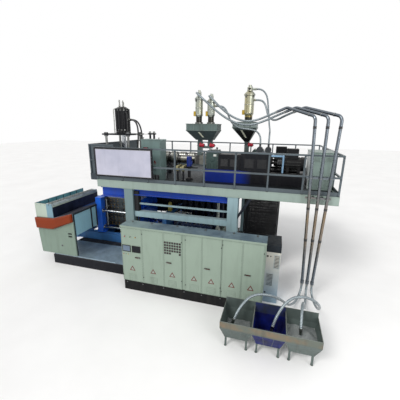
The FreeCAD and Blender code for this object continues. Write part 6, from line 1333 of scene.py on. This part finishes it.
# lubrication pump on the right end plate
bm = bmesh.new()
slabs(bm, (1.82, 1.955, -0.33, -0.13, 1.65, 1.665), (1.832, 1.94, -0.31, -0.15, 1.665, 1.82))
lathe(bm, (1.886, -0.23, 1.82), UP,
      [(0, 0), (0.06, 0), (0.066, 0.012), (0.066, 0.12), (0.058, 0.134), (0.03, 0.14), (0.03, 0.158), (0, 0.16)], 32)
piece("lube_pump_body", bm, painted("paint_lube_pump", rgb(196, 186, 92), 0.36, 0.8, 0.3, 0.2), 0.003)
bm = bmesh.new()
each(band, bm, spots(1.886, -0.23, (1.85, 1.925)), UP, 0.066, 0.004, 0, 0.01, 32)
for x in (1.85, 1.92):
    hexagon(bm, (x, -0.31, 1.7), FRONT, 0.01, 0.01)
    hexagon(bm, (x, -0.14, 1.665), UP, 0.009, 0.008)
pipe_run(bm, [(1.886, -0.316, 1.74), (1.886, -0.37, 1.74), (1.886, -0.37, 1.655)], 0.006, 8)
piece("lube_pump_fittings", bm, bolt_steel)

# ---------------------------------------------------------------- hydraulic unit
MOTOR_AXIS = (-0.15, 1.308)
fins, bolts, pipes = bmesh.new(), bmesh.new(), bmesh.new()
for left in (2.3, 3.1):
    each(band, fins, spots(steps(left + 0.1, 0.038, 11), *MOTOR_AXIS), RIGHT, 0.208, 0.011, 0.002, 0.01, 44)
    lathe(fins, (left, *MOTOR_AXIS), LEFT, [(0.205, 0), (0.208, 0.02), (0.19, 0.05), (0.05, 0.062), (0, 0.062)], 44)
    slabs(fins, (left + 0.2, left + 0.38, -0.215, -0.085, 1.5, 1.575),
          (left + 0.19, left + 0.39, -0.225, -0.075, 1.575, 1.587))
    each(hexagon, bolts, spots((left + 0.205, left + 0.375), (-0.215, -0.085), 1.587), UP, 0.008, 0.006)
    lathe(bolts, (left + 0.48, -0.15, 1.512), UP, [(0, 0.022), (0.014, 0.02), (0.014, 0), (0, 0)], 14)
for index in range(6):
    x = 2.54 + 0.16 * index
    lathe(pipes, (x, -0.64, 1.255), FRONT,
          [(0, 0.085), (0.026, 0.085), (0.028, 0.078), (0.028, 0.006), (0.02, 0), (0, 0)], 20)
    slabs(fins, (x - 0.036, x + 0.036, -0.6, -0.48, 1.358, 1.425),
          (x - 0.028, x + 0.028, -0.665, -0.64, 1.285, 1.335))
    each(hexagon, bolts, spots((x - 0.024, x + 0.024), -0.54, 1.425), UP, 0.008, 0.007)
    if index % 2:
        lathe(bolts, (x + 0.06, -0.64, 1.16), FRONT, [(0, 0.016), (0.034, 0.016), (0.038, 0.01), (0.038, 0), (0, 0)])
for x in (2.62, 2.94, 3.26):
    pipe_run(pipes, [(x, -0.5, 1.425), (x, -0.5, 1.5), (x, -0.38, 1.56), (x, -0.345, 1.56)], 0.014, 10)
lathe(pipes, (3.74, -0.52, 1.098), UP, [(0, 0), (0.075, 0), (0.078, 0.01), (0.078, 0.19), (0.07, 0.2), (0.045, 0.206),
                                        (0.045, 1.05), (0.05, 1.054), (0.05, 1.085), (0, 1.088)], 30)
lathe(bolts, (2.23, 0.28, 1.098), UP,
      [(0, 0.1), (0.045, 0.1), (0.05, 0.085), (0.05, 0.03), (0.03, 0.02), (0.03, 0), (0, 0)], 26)
slabs(bolts, (2.195, 2.225, -0.7065, -0.7, 0.62, 0.92), (3.755, 3.79, -0.7065, -0.7, 0.5, 0.54))
piece("hydraulic_motor_fins", fins, painted("paint_hydraulic_motors", rgb(38, 56, 96), 0.4, 0.72, 0.3, 0.3),
      0.0015)
piece("hydraulic_bolts", bolts, bolt_steel)
piece("hydraulic_coils_pipes", pipes, painted("paint_hydraulic_pipes", rgb(176, 182, 176), 0.34, 0.8, 0.35, 0.25,
                                              metallic=0.4))
bm = bmesh.new()
for left in (2.36, 3.05):
    slabs(bm, (left, left + 0.56, -0.712, -0.7, 0.46, 0.98), (left + 0.02, left + 0.54, -0.716, -0.712, 0.48, 0.96))
    each(hexagon, bm, spots((left + 0.022, left + 0.28, left + 0.538), -0.716, (0.482, 0.72, 0.958)), FRONT, 0.01,
         0.008)
edge_band(bm, (2.15, 3.85, -0.7, 0.4), 1.08, 1.1, 0.01)
piece("tank_hatches", bm, painted("paint_tank_trim", rgb(126, 142, 130), 0.42, 0.75, 0.4, 0.3), 0.002)

# ---------------------------------------------------------------- what hangs under the deck
bm = bmesh.new()
slabs(bm, (1.17, 4.23, -1.472, -1.432, 2.2, 2.235), (1.17, 4.23, -1.472, -1.467, 2.18, 2.2))
for x in (1.17, 4.218):
    slab(bm, x, x + 0.012, -1.515, -1.39, 2.15, 2.285)
for x in (1.55, 2.1, 2.65, 3.2, 3.75):
    slab(bm, x, x + 0.03, -1.4775, -1.426, 2.176, 2.24)
piece("under_deck_rail", bm, painted("paint_under_rail", PALE, 0.4, 0.84, 0.3, 0.3), 0.0015)
bm = bmesh.new()
slab(bm, 1.171, 1.325, -1.52, -1.37, 1.88, 2.62)
for z in steps(1.895, 0.04, 18):
    slabs(bm, (1.325, 1.331, -1.515, -1.375, z, z + 0.024), (1.176, 1.32, -1.526, -1.52, z, z + 0.024))
for x in (1.2, 1.29):
    bar(bm, (x, -1.44, 1.885), (x, -1.44, 0.345), 0.02, 12)
    each(band, bm, spots(x, -1.44, (0.345, 0.9, 1.45, 1.86)), UP, 0.02, 0.007, 0.003, 0.025, 16)
piece("cable_drop_left", bm, head_cable, 0.001)
bm = bmesh.new()
each(lathe, bm, spots(steps(1.5, 0.085, 4), -0.56, 2.49), DOWN,
     [(0, 0.15), (0.026, 0.15), (0.03, 0.14), (0.03, 0.015), (0.04, 0.01), (0.04, 0), (0, 0)], 20)
slab(bm, 1.44, 1.82, -0.62, -0.5, 2.485, 2.5)
for x in (1.46, 1.79):
    slab(bm, x, x + 0.018, -0.6, -0.52, 2.5, 2.702)
piece("under_deck_valves", bm, painted("paint_under_valves", rgb(66, 70, 76), 0.36, 0.75, 0.3, 0.3, metallic=0.4),
      0.001)
tray_dark = painted("paint_under_trays", rgb(22, 27, 34), 0.42, 0.75, 0.2, 0.1)
trays, loose = bmesh.new(), bmesh.new()
for low, front in ((2.3, 0.26), (2.5, 0.24)):
    for y in (front, front + 0.3):
        slabs(trays, (1.14, 4.25, y, y + 0.004, low, low + 0.11),
              (1.14, 4.25, y - 0.012, y + 0.016, low + 0.11, low + 0.114))
    for x in steps(1.18, 0.2, 16):
        slab(trays, x, x + 0.026, front + 0.004, front + 0.3, low + 0.004, low + 0.016)
    for number, radius in enumerate((0.017, 0.012, 0.02, 0.014, 0.018, 0.012, 0.016)):
        y = front + 0.03 + 0.04 * number
        pipe_run(loose, [(1.15 + 0.62 * step, y + 0.006 * math.sin(1.9 * step + number),
                          low + 0.016 + radius + 0.02 * abs(math.sin(0.8 * step + 1.3 * number))) for step in range(6)],
                 radius, 8)
for x in (1.3, 2.26, 3.22, 4.18):
    for y in (0.232, 0.56):
        bar(trays, (x, y, 2.29), (x, y, 2.704), 0.008, 8)
    slab(trays, x - 0.016, x + 0.016, 0.22, 0.575, 2.286, 2.3)
piece("under_deck_trays", trays, tray_dark, 0.0008)
piece("under_deck_cables", loose, head_cable)
bottles, grips = bmesh.new(), bmesh.new()
for index in range(13):
    x = 2.29 + 0.1175 * index
    y = 0.24 + 0.23 * (index % 2)
    lathe(bottles, (x, y, 1.14), UP, [(0, 0), (0.06, 0.004), (0.092, 0.03), (0.1, 0.07), (0.1, 1), (0.09, 1.046),
                                      (0.058, 1.08), (0.034, 1.092), (0, 1.094)], 32)
    lathe(grips, (x, y, 2.232), UP, [(0.026, 0), (0.026, 0.024), (0.018, 0.028), (0.018, 0.06), (0, 0.062)], 16)
    for z in (1.33, 1.9):
        band(grips, (x, y, z), UP, 0.1, 0.005, 0.002, 0.034, 32)
        bar(grips, (x - 0.03, y - 0.109, z + 0.017), (x + 0.03, y - 0.109, z + 0.017), 0.008, 8)
    lathe(grips, (x, y, 1.098), UP, [(0.04, 0), (0.04, 0.044), (0, 0.044)], 6)
for z in (1.32, 1.89):
    slab(grips, 2.18, 3.81, 0.342, 0.356, z, z + 0.054)
for x in (2.19, 3.786):
    slab(grips, x, x + 0.03, 0.342, 0.372, 1.098, 1.99)
for left, low, wide in ((1.3, 1.96, 0.4), (1.74, 1.88, 0.38)):
    slabs(grips, (left, left + wide, 0.262, 0.54, low, 2.286),
          (left - 0.012, left + wide + 0.012, 0.25, 0.262, low + 0.02, 2.27))
    for x in steps(left + wide / 8, wide / 4, 4):
        lathe(bottles, (x, 0.25, 2.17), FRONT,
              [(0, 0.11), (0.03, 0.106), (0.034, 0.09), (0.034, 0.012), (0.026, 0), (0, 0)], 20)
        hexagon(bottles, (x, 0.25, 2.06), FRONT, 0.022, 0.026)
        bar(grips, (x, 0.3, low), (x, 0.3, low - 0.16), 0.016, 10)
    for x in (left + 0.03, left + wide - 0.03):
        bar(grips, (x, 0.4, 2.286), (x, 0.4, 2.302), 0.02, 8)
for left, end, low, y, top in ((1.31, 2.06, 1.68, 0.69, 2.702), (2.064, 2.79, 1.1, 0.69, 2.702),
                               (2.794, 3.52, 1.1, 0.69, 2.702), (3.524, 4.25, 1.1, 0.69, 2.702),
                               (0.48, 1.28, 1.15, 1.03, 2.7015), (1.284, 2.084, 1.15, 1.03, 2.7015)):
    slab(grips, left, end, y, y + 0.004, low, 2.5)
    for x in (left, end - 0.03):
        slab(grips, x, x + 0.03, y - 0.01, y, low, top)
    for z in (low, 1.78, 2.47):
        slab(grips, left, end, y - 0.014, y, z, z + 0.03)
    pitch = (end - left) / 8
    for x in steps(left + pitch, pitch, 7):
        slab(grips, x - 0.01, x + 0.01, y - 0.008, y, low, 2.5)
piece("accumulators", bottles, painted("paint_accumulators", rgb(16, 26, 46), 0.34, 0.75, 0.2, 0.1))
piece("accumulator_clamps", grips, tray_dark, 0.001)

# ---------------------------------------------------------------- small things beside the barrels
bm = bmesh.new()
lathe(bm, (2.78, -0.72, 3), UP, [(0, 0), (0.085, 0), (0.085, 0.02), (0.05, 0.03), (0.05, 0.36), (0.088, 0.372),
                                 (0.088, 0.392), (0, 0.392)], 30)
slab(bm, 2.69, 2.87, -0.81, -0.63, 2.94, 3.002)
piece("cooling_pump_pedestal", bm, dark_paint, 0.002)
bm = bmesh.new()
lathe(bm, (2.78, -0.72, 3.392), UP,
      [(0, 0), (0.08, 0), (0.08, 0.24), (0.088, 0.244), (0.088, 0.3), (0.07, 0.32), (0, 0.322)], 36)
for dx, dy in circle(18, 0.08):
    bar(bm, (2.78 + dx, dy - 0.72, 3.41), (2.78 + dx, dy - 0.72, 3.62), 0.004, 6)
slab(bm, 2.84, 2.89, -0.765, -0.675, 3.46, 3.56)
piece("cooling_pump", bm, painted("paint_blue_pump", rgb(26, 50, 130), 0.34, 0.7, 0.25, 0.25), 0.002)
bm, stands, grilles = bmesh.new(), bmesh.new(), bmesh.new()
for left in (2.33, 2.52):
    hub = (left + 0.07, -0.86, 3.33)
    lathe(bm, hub, RIGHT, [(0, 0), (0.088, 0), (0.094, 0.008), (0.094, 0.062), (0.088, 0.07), (0, 0.07)], 32)
    slab(bm, left + 0.074, left + 0.136, -0.78, -0.5, 3.356, 3.416)
    lathe(bm, hub, LEFT, [(0, 0.08), (0.048, 0.076), (0.052, 0.06), (0.052, 0)], 26)
    slabs(stands, (left + 0.03, left + 0.15, -0.9, -0.82, 2.948, 2.956),
          (left + 0.08, left + 0.13, -0.88, -0.84, 2.956, 3.24),
          (left + 0.072, left + 0.138, -0.8808, -0.88, 3.1, 3.13))
    for radius in (0.026, 0.046, 0.066):
        band(grilles, (left + 0.14, -0.86, 3.33), RIGHT, radius, 0.005, 0, 0.004)
    each(hexagon, grilles, spots((left + 0.045, left + 0.135), -0.86, 2.956), UP, 0.008, 0.006)
piece("barrel_fans_cream", bm, painted("paint_cream_ducts", rgb(158, 152, 112), 0.45, 0.82, 0.3, 0.1),
      0.0015)
piece("barrel_fan_stands", stands, dark_paint, 0.0015)
piece("barrel_fan_grilles", grilles, worn_steel)

# ---------------------------------------------------------------- guard at the left end
GATE_FACE = -2.24
bm = bmesh.new()
each(cap, bm, [(x, GATE_FACE, z) for z in (0.4, 1.22) for x in (-2.08, -1.72, -1.36, -1, -0.74)], FRONT,
     0.011, 0.004, 0.008, 0.0035, 14)
lathe(bm, (-1.23, GATE_FACE, 0.7), FRONT, [(0, 0.02), (0.02, 0.02), (0.024, 0.006), (0.034, 0), (0, 0)], 26)
slab(bm, -1.238, -1.222, -2.264, -2.26, 0.69, 0.71)
piece("gate_screws_lock", bm, bolt_steel, body="gate")
bm = bmesh.new()
for z in (1.045, 1.14):
    slabs(bm, (-0.93, -0.785, -2.2445, GATE_FACE, z - 0.006, z),
          (-0.93, -0.785, -2.2445, GATE_FACE, z + 0.04, z + 0.046),
          (-0.931, -0.925, -2.2445, GATE_FACE, z, z + 0.04), (-0.79, -0.784, -2.2445, GATE_FACE, z, z + 0.04),
          (-0.925, -0.79, -2.22, -2.2185, z, z + 0.04))
piece("gate_pull_cups", bm, black_plastic, 0.0008, "gate")
bm = bmesh.new()
border(bm, -2.09, -0.69, 0.384, 1.239, 0.003, -2.2412, GATE_FACE)
piece("gate_fold_lines", bm, painted("paint_gate_trim", rgb(126, 144, 132), 0.4, 0.9, 0.2, 0.15),
      body="gate")
bm = bmesh.new()
for y in (-2.05, -1.7, -1.35, -1, -0.65, -0.3):
    slabs(bm, (-2.125, -1.715, y - 0.012, y + 0.012, 1.675, 1.7), (-2.125, -2.115, y - 0.01, y + 0.01, 1.7, 2.11),
          (-1.725, -1.715, y - 0.01, y + 0.01, 1.7, 2.11))
piece("tray_ribs", bm, painted("paint_tray_trim", rgb(60, 64, 72), 0.34, 0.8, 0.25, 0.2), 0.001)
bm = bmesh.new()
each(cap, bm, spots((-1.63, -1.51), (-2.15, -1.75, -1.35, -0.95, -0.55, -0.15), 2.12), UP, 0.014, 0.008, 0.011, 0.007,
     14)
for y in (-2.15, -1.45, -0.75, -0.05):
    slab(bm, -1.692, -1.448, y - 0.016, y + 0.016, 2.058, 2.063)
each(cap, bm, spots((-2.06, -1.9, -1.75), -2.238, 2.07), FRONT, 0.012, 0.004, 0.009, 0.003, 14)
piece("tray_screws", bm, bolt_steel)
bm = bmesh.new()
pipe_run(bm, [(-1.61, -2.2, 2.134), (-1.61, -1.1, 2.134), (-1.61, -0.1, 2.134)], 0.013)
pipe_run(bm, [(-1.52, -2.2, 2.132), (-1.52, -1.6, 2.132), (-1.49, -1.5, 2.132), (-1.49, -0.1, 2.132)], 0.01)
for y in (-2.1, -1.8, -1.4, -1, -0.6, -0.2):
    slab(bm, -1.63, -1.59, y - 0.012, y + 0.012, 2.12, 2.15)
piece("tray_air_pipes", bm, bright_steel)
bm = bmesh.new()
pipe_run(bm, [(-1.668, -2.215, 2.098), (-1.668, -1.1, 2.098), (-1.668, -0.04, 2.098)], 0.03, 16)
each(band, bm, spots(-1.668, (-2.216, -1.66, -1.12, -0.58, -0.058), 2.098), BACK, 0.03, 0.006, 0.002, 0.02, 20)
piece("tray_rail_pipe", bm, white_pipe)
bm = bmesh.new()
each(cap, bm, spots(-0.69, (-2.165, -1.305, -1.025), (1.12, 1.46, 1.8)), RIGHT, 0.011, 0.005, 0.008, 0.004, 12)
for y in (-2.137, -1.333, -1.277, -1.053):
    slab(bm, -0.7085, -0.7015, y - 0.004, y + 0.004, 1.08, 1.84)
piece("screen_gaskets", bm, black_plastic)

# ---------------------------------------------------------------- cabinet top and plinth
bm = bmesh.new()
for x in (1.5, 2.14, 2.78, 3.39, 4.37):
    slab(bm, x - 0.0015, x + 0.0015, FACE, -2.47, 2, 2.0012)
each(lathe, bm, spots((1.7, 2.3, 3.05, 3.85, 4.6, 5.2), -2.56, 2), UP,
     [(0.03, 0), (0.03, 0.004), (0.016, 0.006), (0.016, 0.026), (0.024, 0.03), (0, 0.032)], 20)
piece("canopy_seams_eyes", bm, worn_steel)
bm = bmesh.new()
each(cap, bm, spots((1.6, 2.1, 2.74, 3.35, 3.85, 4.36, 4.88, 5.36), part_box("cabinet_plinth")[0][1], 0.24), FRONT,
     0.016, 0.006, 0.012, 0.005, 14)
piece("plinth_plugs", bm, bolt_steel)

# ---------------------------------------------------------------- granule bins
BIN_WIDTH = 0.665
bin_paint = painted("paint_bin_trim", rgb(112, 120, 114), 0.4, 0.72, 0.45, 0.2, metallic=0.35)
bm, seams = bmesh.new(), bmesh.new()
for left in steps(4.64, BIN_WIDTH, 3):
    end = left + BIN_WIDTH
    bar(bm, (left + 0.006, -4.3, 0.74), (end - 0.006, -4.3, 0.74), 0.009, 10)
    bar(bm, (left + 0.006, -3.566, 0.84), (end - 0.006, -3.566, 0.84), 0.005, 10)
    for x in (left + 0.005, end - 0.005):
        bar(bm, (x, -4.3, 0.74), (x, -3.566, 0.74), 0.007, 10)
    for (foot_x, rim_x), (foot_y, rim_y) in itertools.product(
            ((left + 0.09, left + 0.003), (end - 0.09, end - 0.003)), ((-4.13, -4.307), (-3.65, -3.563))):
        bar(seams, (foot_x, foot_y, 0.232), (rim_x, rim_y, 0.59), 0.004, 8)
    for share in (0.33, 0.66):
        bar(seams, (left + 0.09 + (BIN_WIDTH - 0.18) * share, -4.132, 0.24),
            (left + BIN_WIDTH * share, -4.306, 0.588),
            0.005, 8)
    each(lathe, seams, spots((left + 0.107, end - 0.107), (-4.113, -3.667), 0), UP,
         [(0, 0), (0.03, 0), (0.03, 0.006), (0, 0.006)], 14)
piece("bin_rolled_rims", bm, bin_paint)
piece("bin_seams_feet", seams, bin_paint)

granules = Finish("granules_white")
grain = granules.node("TexVoronoi", {"Vector": granules.place, "Scale": 170})["Distance"]
# Each granule darkens towards its edge: painted shade in the gaps between granules.
granules.set("Base Color", granules.mix(
    granules.spread(grain, 0.1, 0.6), granules.cloud((7, 4), 0.35, 0.7, rgb(214, 216, 210), rgb(176, 182, 180)),
    rgb(112, 118, 120)))
granules.set("Roughness", granules.spread(granules.noise(20, 3), 0.3, 0.7, 0.35, 0.55))
granules.bump(granules.spread(grain, 0.0, 0.6, 1, 0), 0.9, 0.004)


def bed(name, left, level, heap, peak_x, peak_y):
    """A heap of granules that fills a bin's inside up to its sloping walls."""
    bm = bmesh.new()
    cells = 26
    grid = []
    for row in range(cells + 1):
        line = []
        v = row / cells
        for column in range(cells + 1):
            u = column / cells
            height = level + heap * math.exp(-((u - peak_x) ** 2 + (v - peak_y) ** 2) / 0.11)
            height += 0.008 * math.sin(17 * u + 3 * v) * math.cos(13 * v - 2 * u)
            rise = (height - 0.238) / 0.352
            low_x, high_x = left + 0.1 - 0.09 * rise, left + 0.565 + 0.09 * rise
            low_y, high_y = -4.12 - 0.18 * rise, -3.66 + 0.09 * rise
            line.append(bm.verts.new((low_x + (high_x - low_x) * u, low_y + (high_y - low_y) * v, height)))
        grid.append(line)
    for near, far in zip(grid, grid[1:]):
        for column in range(cells):
            bm.faces.new((near[column], near[column + 1], far[column + 1], far[column]))
    rim = (grid[0] + [line[-1] for line in grid[1:]] + list(reversed(grid[-1][:-1]))
           + [line[0] for line in reversed(grid[1:-1])])
    under = [bm.verts.new((spot.co.x * 0.98 + (left + 0.3325) * 0.02, spot.co.y, max(spot.co.z - 0.02, 0.2385)))
             for spot in rim]
    for k in range(len(rim)):
        bm.faces.new((rim[k - 1], rim[k], under[k], under[k - 1]))
    piece(name, bm, granules)


bed("granules_left", 4.64, 0.335, 0.06, 0.75, 0.45)
bed("granules_right", 5.97, 0.47, 0.08, 0.6, 0.5)
